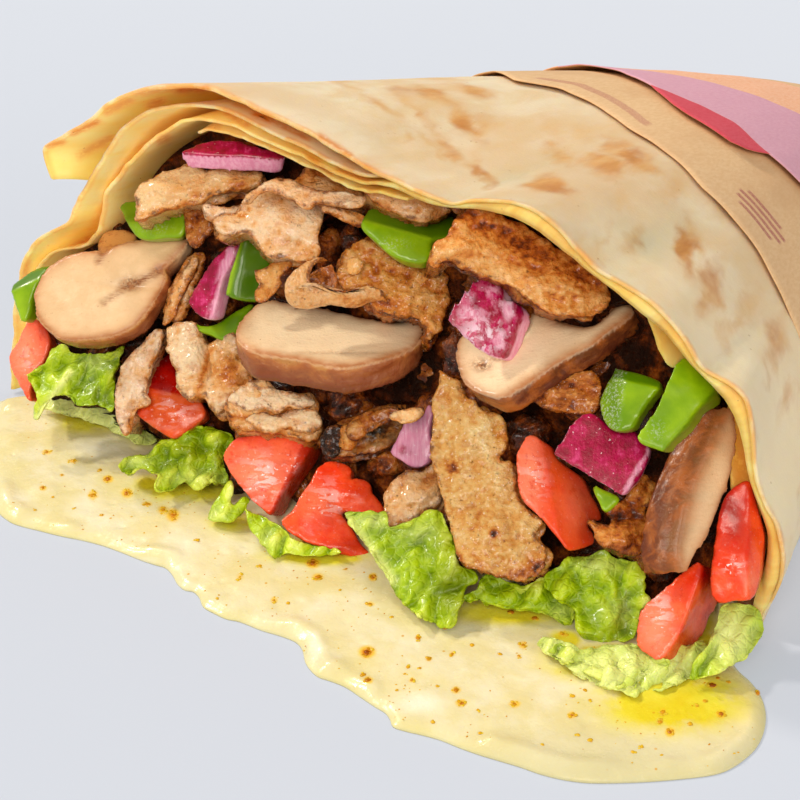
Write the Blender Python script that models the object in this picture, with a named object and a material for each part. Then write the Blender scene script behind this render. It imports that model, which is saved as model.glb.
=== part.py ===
"""Folded crepe wrap lying on its side, filled with fried meat, mushrooms, salad and melted cheese, in a paper cone.

Metres, +Z up. The mouth faces -Y and the wrap runs back along +Y to its pinched paper tip.
Sizes below are in millimetres and are set out from the middle of the mouth's base line.
CENTRE then moves everything so that the origin lies on the floor under the middle of the object.
"""
import math

import bmesh
import bpy
import numpy as np
from mathutils import Euler, Vector

MM = 0.001
GAP = 0.3                 # clearance between neighbouring solids
CENTRE = (5.0, 82.4)

# Cone of folded crepe
MOUTH_R = 86.0            # half width of the mouth, and nearly its height
CONE_LENGTH = 205.0       # mouth to the point where the walls would meet
TIP_X = 34.0              # the cone leans to +X as it narrows
WIDTH_POWER = 0.75        # how fast the half width falls along the cone
HEIGHT_POWER = 0.72
SAG, SAG_AT, SAG_SPREAD = 0.165, 82.0, 19.0     # dip in the top of the mouth, share and degrees
PINCH, PINCH_AT, PINCH_SPREAD = 6.0, 145.0, 9.0  # crease at the upper left of the mouth
RIM_FADE = 0.3            # share of the length over which dip and crease die out
WALL = 2.6                # two layers of crepe
FLOOR_WALL = 1.6          # the single layer under the filling
CREPE_END = 0.92          # share of the cone length where the crepe ends
FLAP_FROM, FLAP_TO = 84.0, 140.0   # outer layer standing off at the upper left, degrees
FLAP_LENGTH = 62.0
FLAP_THICK = 1.5
FLAP_RISE = 7.5           # how far the flap's corner stands off

# Paper cone
PAPER = 0.55
PAPER_LAP = 0.5           # second layer where the paper overlaps itself
PAPER_EDGE_SIDE, PAPER_EDGE_TOP = 38.0, 72.0    # how far back the paper's edge lies
PAPER_END = 217.0
PAPER_END_WIDTH, PAPER_END_HEIGHT = 5.5, 3.5    # half width and height of the pinched end
TAPER_FROM = 0.78         # share of the cone length after which the taper is straight

# Melted cheese that has run out of the mouth
CHEESE_HALF = 91.0
CHEESE_MID = 5.0
CHEESE_DEPTH, CHEESE_DEPTH_RIGHT = 35.0, 51.0
CHEESE_EDGE, CHEESE_THICK = 1.4, 3.6
CHEESE_BACK = 12.0

# Face of the heap in the mouth: a plane that leans back as it rises
FACE_Y, FACE_SLOPE = -14.0, 0.36
CORE_BEHIND = 9.5         # the minced core starts this far behind that plane
CORE_END = 165.0

FLOOR_Z = PAPER + GAP     # underside of the crepe, which lies on the paper

LOOKS = {                 # colour, roughness
    "crepe": ((0.78, 0.58, 0.33), 0.65),
    "paper": ((0.69, 0.45, 0.27), 0.7),
    "cheese": ((0.93, 0.72, 0.31), 0.25),
    "filling": ((0.30, 0.12, 0.04), 0.5),
    "meat": ((0.52, 0.28, 0.10), 0.45),
    "mushroom": ((0.84, 0.60, 0.36), 0.5),
    "onion": ((0.45, 0.03, 0.15), 0.3),
    "pepper": ((0.22, 0.36, 0.01), 0.25),
    "tomato": ((0.80, 0.16, 0.06), 0.2),
    "lettuce": ((0.36, 0.45, 0.03), 0.35),
}

# Pieces in the mouth, nearest first.
# name, kind, (across, height) of the middle, how far it stands out of the heap's face,
# turn about X, Y, Z in degrees, (length, width, thickness), curl in radians
PIECES = [
    ("meat_flap", "meat", (38, 24), 3, (-10, -44, 130), (37, 16.5, 3.2), 0.1),
    ("onion_deep", "onion", (54, 31), 1, (36, 30, 11), (15.5, 13, 3.6), 0.25),
    ("onion_square", "onion", (32, 50), 4.5, (52, -13, 64), (15, 14, 4.2), 0.2),
    ("tomato_front", "tomato", (74, 11), 4, (22, -37, 62), (20, 9.5, 9), 0),
    ("tomato_left", "tomato", (-9, 11), 2, (41, 13, 12), (21, 17, 8), 0),
    ("tomato_mid", "tomato", (5, 9), 1, (35, 21, 15), (22, 16, 8), 0),
    ("tomato_right", "tomato", (47, 22), 0, (18, 49, -8), (21, 12, 9), 0),
    ("tomato_edge", "tomato", (80, 21), -2, (17, -51, 95), (20, 10, 9), 0),
    ("mushroom_edge", "mushroom", (72, 28), 1, (69, -25, 110), (30, 15, 6.5), 0),
    ("mushroom_mid", "mushroom", (1, 38), 5.5, (4, 2, 28), (36, 23, 7.5), 0),
    ("mushroom_right", "mushroom", (43, 44), 0, (14, -17, 35), (35, 22, 6.5), 0),
    ("mushroom_left", "mushroom", (-50, 36), 4.5, (37, -19, 41), (32, 25, 6), 0),
    ("meat_roll", "meat", (0, 48), 7.5, (30, 14, 22), (21, 9, 2), 0.9),
    ("pepper_right", "pepper", (67, 43), 2, (38, -34, 85), (14.5, 9.5, 4.5), 0.15),
    ("pepper_right_b", "pepper", (57, 40), -1, (6, -44, 92), (10, 8.5, 5), 0.2),
    ("meat_big", "meat", (35, 59), 3, (43, 19, 30), (33, 15, 4), -0.45),
    ("meat_wing", "meat", (22, 15), 0, (41, -14, 34), (17, 12, 3), 0.1),
    ("lettuce_mid", "lettuce", (28, 9), 12.5, (22, 25, -25), (24, 17, 3), 0),
    ("lettuce_right", "lettuce", (59, 8), 1, (37, -14, 44), (22, 18, 3.5), 0),
    ("lettuce_low", "lettuce", (68, 5), 10.5, (17, -3, 33), (25, 12, 3), 0),
    ("lettuce_edge", "lettuce", (83, 8), 0, (28, -21, 88), (19, 12, 3), 0),
    ("lettuce_between", "lettuce", (45, 6), 4.5, (32, 8, 22), (22, 9, 3), 0),
    ("meat_crust", "meat", (60, 20), -1, (44, -21, 61), (14, 8, 3), 0.5),
    ("meat_chunk", "meat", (-29, 27), 1, (34, 37, -23), (18, 13, 6), 0.2),
    ("meat_chunk_b", "meat", (-10, 22), 0, (47, 11, 24), (23, 12, 7), 0.2),
    ("meat_char", "meat", (6, 21), -2, (44, 23, 19), (15, 11, 5), 0.3),
    ("onion_pale", "onion", (16, 22), -3, (32, -47, 62), (14, 9, 3), 0.2),
    ("meat_strip", "meat", (-42, 21), 3, (1, -54, 102), (23, 7, 3), 0.3),
    ("tomato_small", "tomato", (-36, 17), -1, (44, 21, -2), (17, 14, 8), 0),
    ("lettuce_left", "lettuce", (-57, 17), 2, (41, -17, 29), (21, 16, 3), 0),
    ("tomato_far", "tomato", (-71, 17), 0, (6, -50, 87), (17, 9, 8), 0),
    ("pepper_far", "pepper", (-72, 30), 1, (29, -43, 57), (12, 8, 4.5), 0.2),
    ("lettuce_curl", "lettuce", (-32, 9), 2, (35, -16, 38), (24, 14, 4), 0),
    ("lettuce_stub", "lettuce", (-16, 6), 6.5, (7, -37, 96), (9, 7, 3), 0),
    ("lettuce_stub_b", "lettuce", (-2, 6), 8, (26, 13, -10), (17, 9, 3), 0),
    ("onion_strip", "onion", (-30, 42), 0, (12, -56, 77), (18, 7, 3.6), 0.2),
    ("pepper_mid", "pepper", (-22, 45), 0, (19, -51, 86), (14, 10, 4), 0.25),
    ("pepper_low", "pepper", (-28, 32), -2, (31, -13, 37), (13, 8, 4), 0.2),
    ("meat_curl", "meat", (-14, 55), 3, (37, 22, -1), (21, 16, 3), -0.7),
    ("meat_fringe", "meat", (-10, 60), 1, (23, 6, 23), (25, 9, 3), -0.3),
    ("meat_top", "meat", (-34, 57), 2, (36, -10, 39), (28, 10.5, 4), -0.3),
    ("onion_top", "onion", (-27, 65), 2, (17, 3, 29), (23, 9, 4), -0.25),
    ("pepper_top_left", "pepper", (-46, 48), -1, (49, -3, 14), (15, 9, 4.5), 0.2),
    ("meat_rim", "meat", (10, 63), 1, (52, 11, 25), (17, 8, 4), -0.3),
    ("pepper_top", "pepper", (9, 58), 0, (41, 12, 21), (18, 11, 4.5), -0.3),
    ("meat_gravel", "meat", (6, 48), -1, (41, 27, 6), (26, 15, 6), -0.2),
    ("meat_back", "meat", (-8, 61), -3, (46, 13, 21), (16, 9, 4), -0.2),
    ("meat_back_left", "meat", (-37, 37), -4, (15, -53, 84), (18, 7, 4), 0.2),
    ("mushroom_back", "mushroom", (-57, 41), -3, (28, -7, 27), (15, 9, 4), 0),
]


# ---------------------------------------------------------------- mesh helpers

def mesh_from(name, points, faces):
    mesh = bpy.data.meshes.new(name)
    mesh.from_pydata([Vector(p) * MM for p in points], [], faces)
    bm = bmesh.new()
    bm.from_mesh(mesh)
    bmesh.ops.remove_doubles(bm, verts=bm.verts, dist=1e-6)
    bmesh.ops.recalc_face_normals(bm, faces=bm.faces)
    if bm.calc_volume(signed=True) < 0:
        bmesh.ops.reverse_faces(bm, faces=bm.faces)
    bm.to_mesh(mesh)
    bm.free()
    mesh.shade_smooth()
    mesh.set_sharp_from_angle(angle=math.radians(50))
    return mesh


def rings_to_faces(count, size, start=0, closed=True):
    """A skin of triangles between successive rings of the same size."""
    faces = []
    for j in range(count - 1):
        for i in range(size if closed else size - 1):
            a, b = start + j * size + i, start + j * size + (i + 1) % size
            faces += [(a, b, b + size), (a, b + size, a + size)]
    return faces


def fan(ring, middle):
    return [(ring[i], ring[(i + 1) % len(ring)], middle) for i in range(len(ring))]


def material(kind):
    found = bpy.data.materials.get(kind)
    if found:
        return found
    found = bpy.data.materials.new(kind)
    found.use_nodes = True
    shader = found.node_tree.nodes["Principled BSDF"]
    colour, rough = LOOKS[kind]
    shader.inputs["Base Color"].default_value = (*colour, 1)
    shader.inputs["Roughness"].default_value = rough
    shader.inputs["Metallic"].default_value = 0
    return found


def add(name, mesh, kind, helper=False, location=(0, 0, 0), rotation=(0, 0, 0)):
    obj = bpy.data.objects.new(name, mesh)
    obj.location = Vector(location) * MM
    obj.rotation_euler = Euler([math.radians(a) for a in rotation])
    if not mesh.materials:
        mesh.materials.append(material(kind))
    if helper:
        helpers.objects.link(obj)
        obj.hide_render = True
        obj.display_type = "WIRE"
    else:
        bpy.context.scene.collection.objects.link(obj)
        obj.parent = frame
    return obj


def corners(obj):
    at = obj.matrix_world
    points = np.array([at @ v.co for v in obj.data.vertices])
    return points.min(axis=0), points.max(axis=0)


def near(a, b):
    (al, ah), (bl, bh) = a, b
    return bool((al < bh).all() and (bl < ah).all())


def cut(obj, cutters):
    """Takes the cutters out of the object and keeps its largest piece."""
    bpy.context.view_layer.update()
    box = corners(obj)
    chosen = [c for c in cutters if near(box, corners(c))]
    if not chosen:
        return
    group = bpy.data.collections.new(obj.name + "_cutters")
    for c in chosen:
        group.objects.link(c)
    boolean = obj.modifiers.new("clear_of_neighbours", "BOOLEAN")
    boolean.operation = "DIFFERENCE"
    boolean.operand_type = "COLLECTION"
    boolean.collection = group
    boolean.solver = "EXACT"
    bpy.context.view_layer.update()
    done = bpy.data.meshes.new_from_object(obj.evaluated_get(bpy.context.evaluated_depsgraph_get()))
    obj.modifiers.clear()
    bpy.data.collections.remove(group)
    bm = bmesh.new()
    bm.from_mesh(done)
    bmesh.ops.remove_doubles(bm, verts=bm.verts, dist=1e-6)
    bmesh.ops.dissolve_degenerate(bm, edges=bm.edges, dist=1e-6)
    left, islands = set(bm.faces), []
    while left:
        todo = [left.pop()]
        island = set(todo)
        while todo:
            for edge in todo.pop().edges:
                for face in edge.link_faces:
                    if face in left:
                        left.discard(face)
                        island.add(face)
                        todo.append(face)
        islands.append(island)
    islands.sort(key=lambda found: sum(face.calc_area() for face in found))
    for island in islands[:-1]:
        bmesh.ops.delete(bm, geom=list(island), context="FACES")
    bmesh.ops.delete(bm, geom=[v for v in bm.verts if not v.link_faces], context="VERTS")
    bm.to_mesh(done)
    bm.free()
    done.name = obj.name
    obj.data = done


# ---------------------------------------------------------------- the cone

def bell(value, at, spread):
    return math.exp(-(((value - at) / spread) ** 2))


def shrink(y):
    """Half width and height of the cone at this distance from the mouth, as shares of MOUTH_R."""
    s = min(max(y / CONE_LENGTH, 0.0), 1.0)
    turn = TAPER_FROM * CONE_LENGTH
    if y <= turn:
        return (1 - s) ** WIDTH_POWER, (1 - s) ** HEIGHT_POWER
    t = (y - turn) / (PAPER_END - turn)
    wide, high = (1 - TAPER_FROM) ** WIDTH_POWER, (1 - TAPER_FROM) ** HEIGHT_POWER
    return (wide + t * (PAPER_END_WIDTH / MOUTH_R - wide), high + t * (PAPER_END_HEIGHT / MOUTH_R - high))


def section(y, offset, low, arch=26, base=5):
    """Closed outline of the cone across Y: an arch and a flat base, moved out by offset. low is its base height."""
    fade = math.exp(-((max(y, 0) / CONE_LENGTH / RIM_FADE) ** 2))
    wide, high = shrink(y)
    outline = []
    for i in range(arch + 1):
        a = 180.0 * i / arch
        r = MOUTH_R * (1 - SAG * fade * bell(a, SAG_AT, SAG_SPREAD)) - PINCH * fade * bell(a, PINCH_AT, PINCH_SPREAD)
        outline.append((wide * r * math.cos(math.radians(a)), high * r * math.sin(math.radians(a))))
    for i in range(1, base):
        outline.append((outline[arch][0] + (outline[0][0] - outline[arch][0]) * i / base, 0.0))
    count = len(outline)
    moved = []
    lean = TIP_X * y / CONE_LENGTH
    for i, (x, z) in enumerate(outline):
        (x0, z0), (x1, z1) = outline[i - 1], outline[(i + 1) % count]
        length = math.hypot(x1 - x0, z1 - z0)
        out = ((z1 - z0) / length, -(x1 - x0) / length)
        if i > arch or i in (0, arch):      # the base moves by low, its ends only sideways
            side = 0 if i > arch else (1 if i == 0 else -1)
            moved.append((x + side * offset + lean, low))
        else:
            moved.append((x + out[0] * offset + lean, max(z + out[1] * offset + FLOOR_Z, low + 0.4)))
    return moved


ARCH, BASE = 26, 5
RING = ARCH + BASE


def angle_of(i):
    return 180.0 * i / ARCH if i <= ARCH else 180.0 + 180.0 * (i - ARCH) / BASE


def shell(outer_offset, inner_offset, outer_low, inner_low, outer_y, inner_y, front_y, extra=None):
    """A cup: outer rings back along outer_y, inner rings along inner_y, open at the front edge."""
    points, faces = [], []

    def ring(y, offset, low, first):
        for i, (x, z) in enumerate(section(y, offset, low)):
            yy = y
            if first:
                yy = front_y(i)
                x, z = section(yy, offset, low)[i]
            if extra:
                x, z = extra(i, yy, x, z, offset)
            points.append((x, yy, z))

    for k, y in enumerate(outer_y):
        ring(y, outer_offset, outer_low, k == 0)
    n_out = len(outer_y)
    for k, y in enumerate(inner_y):
        ring(y, inner_offset, inner_low, k == 0)
    n_in = len(inner_y)
    faces += rings_to_faces(n_out, RING)
    faces += rings_to_faces(n_in, RING, start=n_out * RING)
    for i in range(RING):                     # the rim
        j = (i + 1) % RING
        faces.append((i, j, n_out * RING + j, n_out * RING + i))
    for last in (n_out - 1, n_out + n_in - 1):  # both ends
        ring_at = [last * RING + i for i in range(RING)]
        middle = np.mean([points[i] for i in ring_at], axis=0)
        points.append(tuple(middle))
        faces += fan(ring_at, len(points) - 1)
    return points, faces


def rim_y(i):
    """The crepe's rim is a little wavy, and its floor starts behind the mouth."""
    if i >= ARCH or i == 0:
        return 3.6
    a = math.radians(angle_of(i))
    return 0.9 + 0.9 * math.sin(3.1 * a + 0.6)


def crepe_shell(grow=0.0):
    stations = [0, 12, 30, 52, 80, 112, 140, TAPER_FROM * CONE_LENGTH]
    y_out = stations + [CREPE_END * CONE_LENGTH + grow]
    y_in = stations + [CREPE_END * CONE_LENGTH - 8 - grow]
    return shell(grow, -WALL - grow, FLOOR_Z - grow, FLOOR_Z + FLOOR_WALL + grow, y_out, y_in,
                 lambda i: rim_y(i) - grow)


def flap():
    """The outer layer, which has come away from the rim and stands off in a pointed corner."""
    around, along = 11, 6
    points = []
    for layer in (0, 1):
        for j in range(along):
            y = -1.0 + (FLAP_LENGTH + 1.0) * j / (along - 1)
            for i in range(around):
                a = FLAP_FROM + (FLAP_TO - FLAP_FROM) * i / (around - 1)
                share = (a - FLAP_FROM) / (FLAP_TO - FLAP_FROM)
                stand = (1.2 + (FLAP_RISE - 1.2) * share) * math.sin(min(1.0, share * 4) * math.pi / 2)
                stand *= max(0.0, 1 - (j / (along - 1)) ** 1.3)
                fade = math.exp(-((max(y, 0) / CONE_LENGTH / RIM_FADE) ** 2))
                wide, high = shrink(y)
                r = MOUTH_R * (1 - SAG * fade * bell(a, SAG_AT, SAG_SPREAD))
                r += stand / max(high, 0.5) - 0.9 + layer * FLAP_THICK
                t = math.radians(a)
                points.append((TIP_X * y / CONE_LENGTH + wide * r * math.cos(t),
                               y, FLOOR_Z + high * r * math.sin(t)))
    half = around * along
    faces = rings_to_faces(along, around, closed=False)
    faces += [tuple(f + half for f in face) for face in faces]
    edge = [i for i in range(around)]
    edge += [j * around + around - 1 for j in range(1, along)]
    edge += [(along - 1) * around + i for i in range(around - 2, -1, -1)]
    edge += [j * around for j in range(along - 2, 0, -1)]
    for i in range(len(edge)):
        a, b = edge[i], edge[(i + 1) % len(edge)]
        faces.append((a, b, b + half, a + half))
    return points, faces


def paper_edge(i):
    """The paper's edge lies well back over the top and comes forward down the +X side."""
    a = angle_of(i)
    if a > 180:
        a = 360 - a
        return PAPER_EDGE_SIDE + (PAPER_EDGE_TOP + 4 - PAPER_EDGE_SIDE) * (a / 180)
    rise = 1 / (1 + math.exp(-(a - 62) / 11))
    return PAPER_EDGE_SIDE + (PAPER_EDGE_TOP - PAPER_EDGE_SIDE) * rise + 4 * max(0, a - 110) / 70


def lap(i, y, x, z, offset):
    """The second layer of paper makes a step on the outside of the cone."""
    a = angle_of(i)
    if offset < GAP + PAPER * 0.9 or not 12 < a < 172:
        return x, z
    edge = 80 + 0.35 * max(0, 60 - a)
    step = PAPER_LAP * min(1, max(0, (y - edge) / 2))
    t = math.radians(a)
    return x + step * math.cos(t), z + step * math.sin(t)


def paper_shell():
    y_out = [0, 79, 83, 112, 140, TAPER_FROM * CONE_LENGTH, 200, PAPER_END]
    y_in = [0, 80, 112, 140, TAPER_FROM * CONE_LENGTH, 200]
    return shell(GAP + PAPER, GAP, 0.0, PAPER, y_out, y_in, paper_edge, lap)


# ---------------------------------------------------------------- cheese and core

def cheese_front(x):
    u = min(1.0, abs((x - CHEESE_MID) / CHEESE_HALF))
    right = min(1.0, max(0.0, (x + 25) / 65))
    depth = CHEESE_DEPTH + (CHEESE_DEPTH_RIGHT - CHEESE_DEPTH) * right * right * (3 - 2 * right)
    ripple = 0.9 * math.sin(x / 4.7) + 0.6 * math.sin(x / 2.9 + 1)
    return -2.5 - (depth - 2.5 + ripple) * (1 - u ** 4.5) ** (1 / 4.5)


def cheese(grow=0.0):
    across, rows = 24, 8
    inner = MOUTH_R - WALL - 3.5
    top, low = [], []
    for j in range(rows):
        for i in range(across + 1):
            u = -1 + 2 * i / across
            u = math.sin(u * math.pi / 2)
            x = CHEESE_MID + CHEESE_HALF * u
            front = cheese_front(x) - (grow if abs(u) < 0.999 else 0)
            if j < 5:
                t = (j / 4) ** 1.4
                y = front + (-0.7 - front) * t
                x += grow * u
            else:
                x = max(-inner - grow, min(inner + grow, x)) * (0.985, 0.985, 0.95)[j - 5]
                y = (-0.3, 2.9, CHEESE_BACK + grow)[j - 5]
            depth_in = max(0.0, y - front)
            z = CHEESE_EDGE + (CHEESE_THICK - CHEESE_EDGE) * (1 - math.exp(-depth_in / 9.0))
            if j >= 5:
                z = max(z, FLOOR_Z + FLOOR_WALL + GAP + 1.6)
            z += 0.25 * math.sin(x / 9 + y / 6)
            under = 0.0 if j < 6 else FLOOR_Z + FLOOR_WALL + GAP
            top.append((x, y, z + grow))
            low.append((x, y, max(under - grow, -grow)))
    size = across + 1
    faces = rings_to_faces(rows, size, closed=False)
    half = size * rows
    faces += [tuple(f + half for f in face) for face in faces]
    edge = list(range(size)) + [j * size + across for j in range(1, rows)]
    edge += [(rows - 1) * size + i for i in range(across - 1, -1, -1)] + [j * size for j in range(rows - 2, 0, -1)]
    for i in range(len(edge)):
        a, b = edge[i], edge[(i + 1) % len(edge)]
        faces.append((a, b, b + half, a + half))
    return top + low, faces


def core():
    """The minced filling that runs through the cone, with a lumpy face behind the pieces."""
    points, faces = [], []
    inside = -WALL - GAP
    low = FLOOR_Z + FLOOR_WALL + GAP
    arch, base = 20, 4
    size = arch + base
    mouth = section(2.0, inside, low, arch, base)
    middle = (0.0, 30.0)

    def face_point(x, z):
        lump = 1.6 * math.sin(x / 6.5 + 1) * math.sin(z / 5.5) + 0.9 * math.sin(x / 3.9) * math.cos(z / 4.3)
        return (x, FACE_Y + FACE_SLOPE * z + CORE_BEHIND + lump, z)

    for share in (0.34, 0.66, 0.945):
        for x, z in mouth:
            points.append(face_point(middle[0] + (x - middle[0]) * share,
                                     max(low + 1.6, middle[1] + (z - middle[1]) * share)))
    for y in (26, 55, 100, CORE_END):
        points += [(x, y, z) for x, z in section(y, inside, low, arch, base)]
    faces = rings_to_faces(7, size)
    points.append(face_point(*middle))
    faces += fan(list(range(size)), len(points) - 1)
    last = [6 * size + i for i in range(size)]
    points.append(tuple(np.mean([points[i] for i in last], axis=0)))
    faces += fan(last, len(points) - 1)
    return points, faces


# ---------------------------------------------------------------- pieces

CORNERS = {"meat": 2.4, "mushroom": 2.0, "onion": 4.5, "pepper": 4.0, "tomato": 3.2, "lettuce": 2.2}
WOBBLE = {"meat": 0.09, "mushroom": 0.03, "onion": 0.03, "pepper": 0.04, "tomato": 0.05, "lettuce": 0.14}


def outline(kind, length, width, seed, count=10):
    """Plan of a slice: a rounded block with lobes, or a mushroom's cap and stem cut down the middle."""
    rng = np.random.default_rng(seed)
    phase = rng.uniform(0, 2 * math.pi, 4)
    points = []
    for i in range(count):
        a = 2 * math.pi * (i + 0.5) / count
        c, s = math.cos(a), math.sin(a)
        if kind == "mushroom":
            x = length / 2 * c
            if s >= 0:
                z = width * 0.5 * s ** 0.8 + width * 0.02
            else:
                z = -width * (0.12 + 0.38 * bell(x, 0, length * 0.2))
            points.append([x, z])
            continue
        n = CORNERS[kind]
        r = (abs(c) ** n + abs(s) ** n) ** (-1 / n)
        for k in range(4):
            r *= 1 + WOBBLE[kind] / (k + 1) ** 0.5 * math.sin((k + 2) * a + phase[k])
        points.append([length / 2 * r * c, width / 2 * r * s])
    return np.array(points)


def slice_mesh(name, kind, size, curl, seed, grow=0.0):
    length, width, thick = size
    plan = outline(kind, length, width, seed)
    edges = np.roll(plan, -1, axis=0) - np.roll(plan, 1, axis=0)
    out = np.stack([edges[:, 1], -edges[:, 0]], axis=1)
    out /= np.linalg.norm(out, axis=1)[:, None]
    bevel = min(thick * 0.35, 1.8)
    rings = []
    for inset, z in ((bevel + width * 0.12, -thick / 2), (0, bevel - thick / 2),
                     (0, thick / 2 - bevel), (bevel + width * 0.12, thick / 2)):
        scale = 1 - inset / (width * 0.55)
        ring = plan * max(scale, 0.35) + out * grow
        rings.append(np.column_stack([ring, np.full(len(ring), z + math.copysign(grow, z) * (z != 0))]))
    points = np.concatenate(rings + [[[0, 0, -thick / 2 - grow], [0, 0, thick / 2 + grow]]])
    if kind == "lettuce":
        points[:, 2] += 1.3 * np.sin(points[:, 0] / 3.4 + seed) + 0.8 * np.sin(points[:, 1] / 2.6)
    if curl:
        radius = length / (2 * curl)
        turn = points[:, 0] / radius
        points[:, 0], points[:, 2] = ((radius - points[:, 2]) * np.sin(turn),
                                      radius - (radius - points[:, 2]) * np.cos(turn))
        points[:, 2] -= radius * (1 - math.cos(curl)) * 0.4
    size_ring = len(plan)
    faces = rings_to_faces(4, size_ring)
    faces += fan(list(range(size_ring)), 4 * size_ring)
    faces += fan([3 * size_ring + i for i in range(size_ring)], 4 * size_ring + 1)
    return mesh_from(name, points, faces)


# ---------------------------------------------------------------- build

for old in list(bpy.data.objects):
    bpy.data.objects.remove(old, do_unlink=True)

helpers = bpy.data.collections.new("helpers")
bpy.context.scene.collection.children.link(helpers)
frame = bpy.data.objects.new("frame", None)
frame.location = (-CENTRE[0] * MM, -CENTRE[1] * MM, 0)
bpy.context.scene.collection.objects.link(frame)

crepe = add("crepe", mesh_from("crepe", *crepe_shell()), "crepe")
outer = add("outer_layer", mesh_from("outer_layer", *flap()), "crepe", helper=True)
outer.parent = frame
join = crepe.modifiers.new("outer_layer", "BOOLEAN")
join.operation = "UNION"
join.object = outer
join.solver = "EXACT"

paper = add("paper", mesh_from("paper", *paper_shell()), "paper")
spill = add("cheese", mesh_from("cheese", *cheese()), "cheese")

cutters = []
for helper_name, (made, kind) in {"crepe_clear": (crepe_shell(GAP), "crepe"), "cheese_clear": (cheese(GAP), "cheese")}.items():
    obj = add(helper_name, mesh_from(helper_name, *made), kind, helper=True)
    obj.parent = frame
    cutters.append(obj)

for seed, (name, kind, (across, height), proud, turn, size, curl) in enumerate(PIECES):
    place = (across, FACE_Y + FACE_SLOPE * height - proud, height)
    obj = add(name, slice_mesh(name, kind, size, curl, seed), kind, location=place, rotation=turn)
    cut(obj, cutters)
    grown = add(name + "_clear", slice_mesh(name + "_clear", kind, size, curl, seed, GAP), kind, helper=True,
                location=place, rotation=turn)
    grown.parent = frame
    cutters.append(grown)

filling = add("filling", mesh_from("filling", *core()), "filling")
cut(filling, cutters)
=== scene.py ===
import math

import bpy
import numpy as np
from mathutils import Matrix, Vector

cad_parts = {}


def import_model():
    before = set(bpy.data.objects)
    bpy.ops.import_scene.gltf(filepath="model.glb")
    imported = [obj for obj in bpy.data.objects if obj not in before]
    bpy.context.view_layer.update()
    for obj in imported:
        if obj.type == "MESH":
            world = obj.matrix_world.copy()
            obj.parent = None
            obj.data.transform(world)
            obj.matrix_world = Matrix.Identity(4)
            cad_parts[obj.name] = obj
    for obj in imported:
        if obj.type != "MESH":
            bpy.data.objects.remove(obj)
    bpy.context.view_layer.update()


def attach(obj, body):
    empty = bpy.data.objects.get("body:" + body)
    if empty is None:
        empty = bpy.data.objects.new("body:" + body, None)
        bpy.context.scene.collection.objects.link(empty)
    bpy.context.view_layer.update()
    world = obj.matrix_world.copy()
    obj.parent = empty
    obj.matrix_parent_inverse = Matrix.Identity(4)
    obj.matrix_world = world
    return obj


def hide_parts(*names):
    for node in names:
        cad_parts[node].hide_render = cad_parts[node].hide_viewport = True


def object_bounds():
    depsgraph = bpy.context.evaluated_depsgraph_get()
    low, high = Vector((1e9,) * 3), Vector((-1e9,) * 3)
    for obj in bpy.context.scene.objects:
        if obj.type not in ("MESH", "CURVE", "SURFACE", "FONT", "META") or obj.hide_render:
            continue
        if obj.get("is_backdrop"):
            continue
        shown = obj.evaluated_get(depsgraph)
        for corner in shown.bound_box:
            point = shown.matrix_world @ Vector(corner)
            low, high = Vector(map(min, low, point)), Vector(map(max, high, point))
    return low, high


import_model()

# Everything below is worked out in millimetres from the middle of the mouth's base line, +Y into the wrap,
# and moved into the frame's metres when a mesh is made.
CENTRE = np.array([5.0, 82.4, 0.0])


def world(points):
    return (np.asarray(points, float) - CENTRE) * 0.001


# ---------------------------------------------------------------- camera

AZIMUTH, ELEVATION, ROLL = math.radians(33), math.radians(31), math.radians(-2.1)
LENS, DISTANCE, SIDE = 100.0, 405.0, 800
TARGET = np.array([11.4, 0.0, 27.3])
BACK = np.array([math.sin(AZIMUTH) * math.cos(ELEVATION), -math.cos(AZIMUTH) * math.cos(ELEVATION), math.sin(ELEVATION)])
LEVEL = np.array([math.cos(AZIMUTH), math.sin(AZIMUTH), 0.0])
RISE = np.cross(BACK, LEVEL)
RIGHT = LEVEL * math.cos(ROLL) + RISE * math.sin(ROLL)
UP = -LEVEL * math.sin(ROLL) + RISE * math.cos(ROLL)
EYE = TARGET + BACK * DISTANCE
FOCAL = LENS / 36 * SIDE


def axes(v):
    """A vector given as (right, up, towards the camera)."""
    return v[0] * RIGHT + v[1] * UP + v[2] * BACK


def rays(marks):
    marks = np.atleast_2d(np.asarray(marks, float))[:, :2]
    return ((marks[:, :1] - SIDE / 2) / FOCAL * RIGHT - (marks[:, 1:2] - SIDE / 2) / FOCAL * UP - BACK)


def on_plane(marks, point, normal):
    """Where the view's rays through these picture points meet a plane."""
    d = rays(marks)
    t = ((np.asarray(point, float) - EYE) @ normal) / (d @ normal)
    return EYE + d * t[:, None]


def picture(points):
    """Picture points of these places."""
    p = np.asarray(points, float) - EYE
    depth = -(p @ BACK)
    return np.stack([SIDE / 2 + FOCAL * (p @ RIGHT) / depth, SIDE / 2 - FOCAL * (p @ UP) / depth], axis=-1)


# ---------------------------------------------------------------- noise

_rng = np.random.default_rng(20)
PERM = _rng.permutation(256)
_g = _rng.normal(size=(256, 3))
GRADS = _g / np.linalg.norm(_g, axis=1)[:, None]
JITTER = _rng.random((256, 3))


def spots_in(points, marks):
    """Soft spots at picture points: (x, y, half width, half height, strength)."""
    q = picture(points)
    total = np.zeros(len(points))
    for x, y, a, b, strength in marks:
        total = np.maximum(total, strength * np.exp(-(((q[:, 0] - x) / a) ** 2 + ((q[:, 1] - y) / b) ** 2)))
    return total


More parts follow.
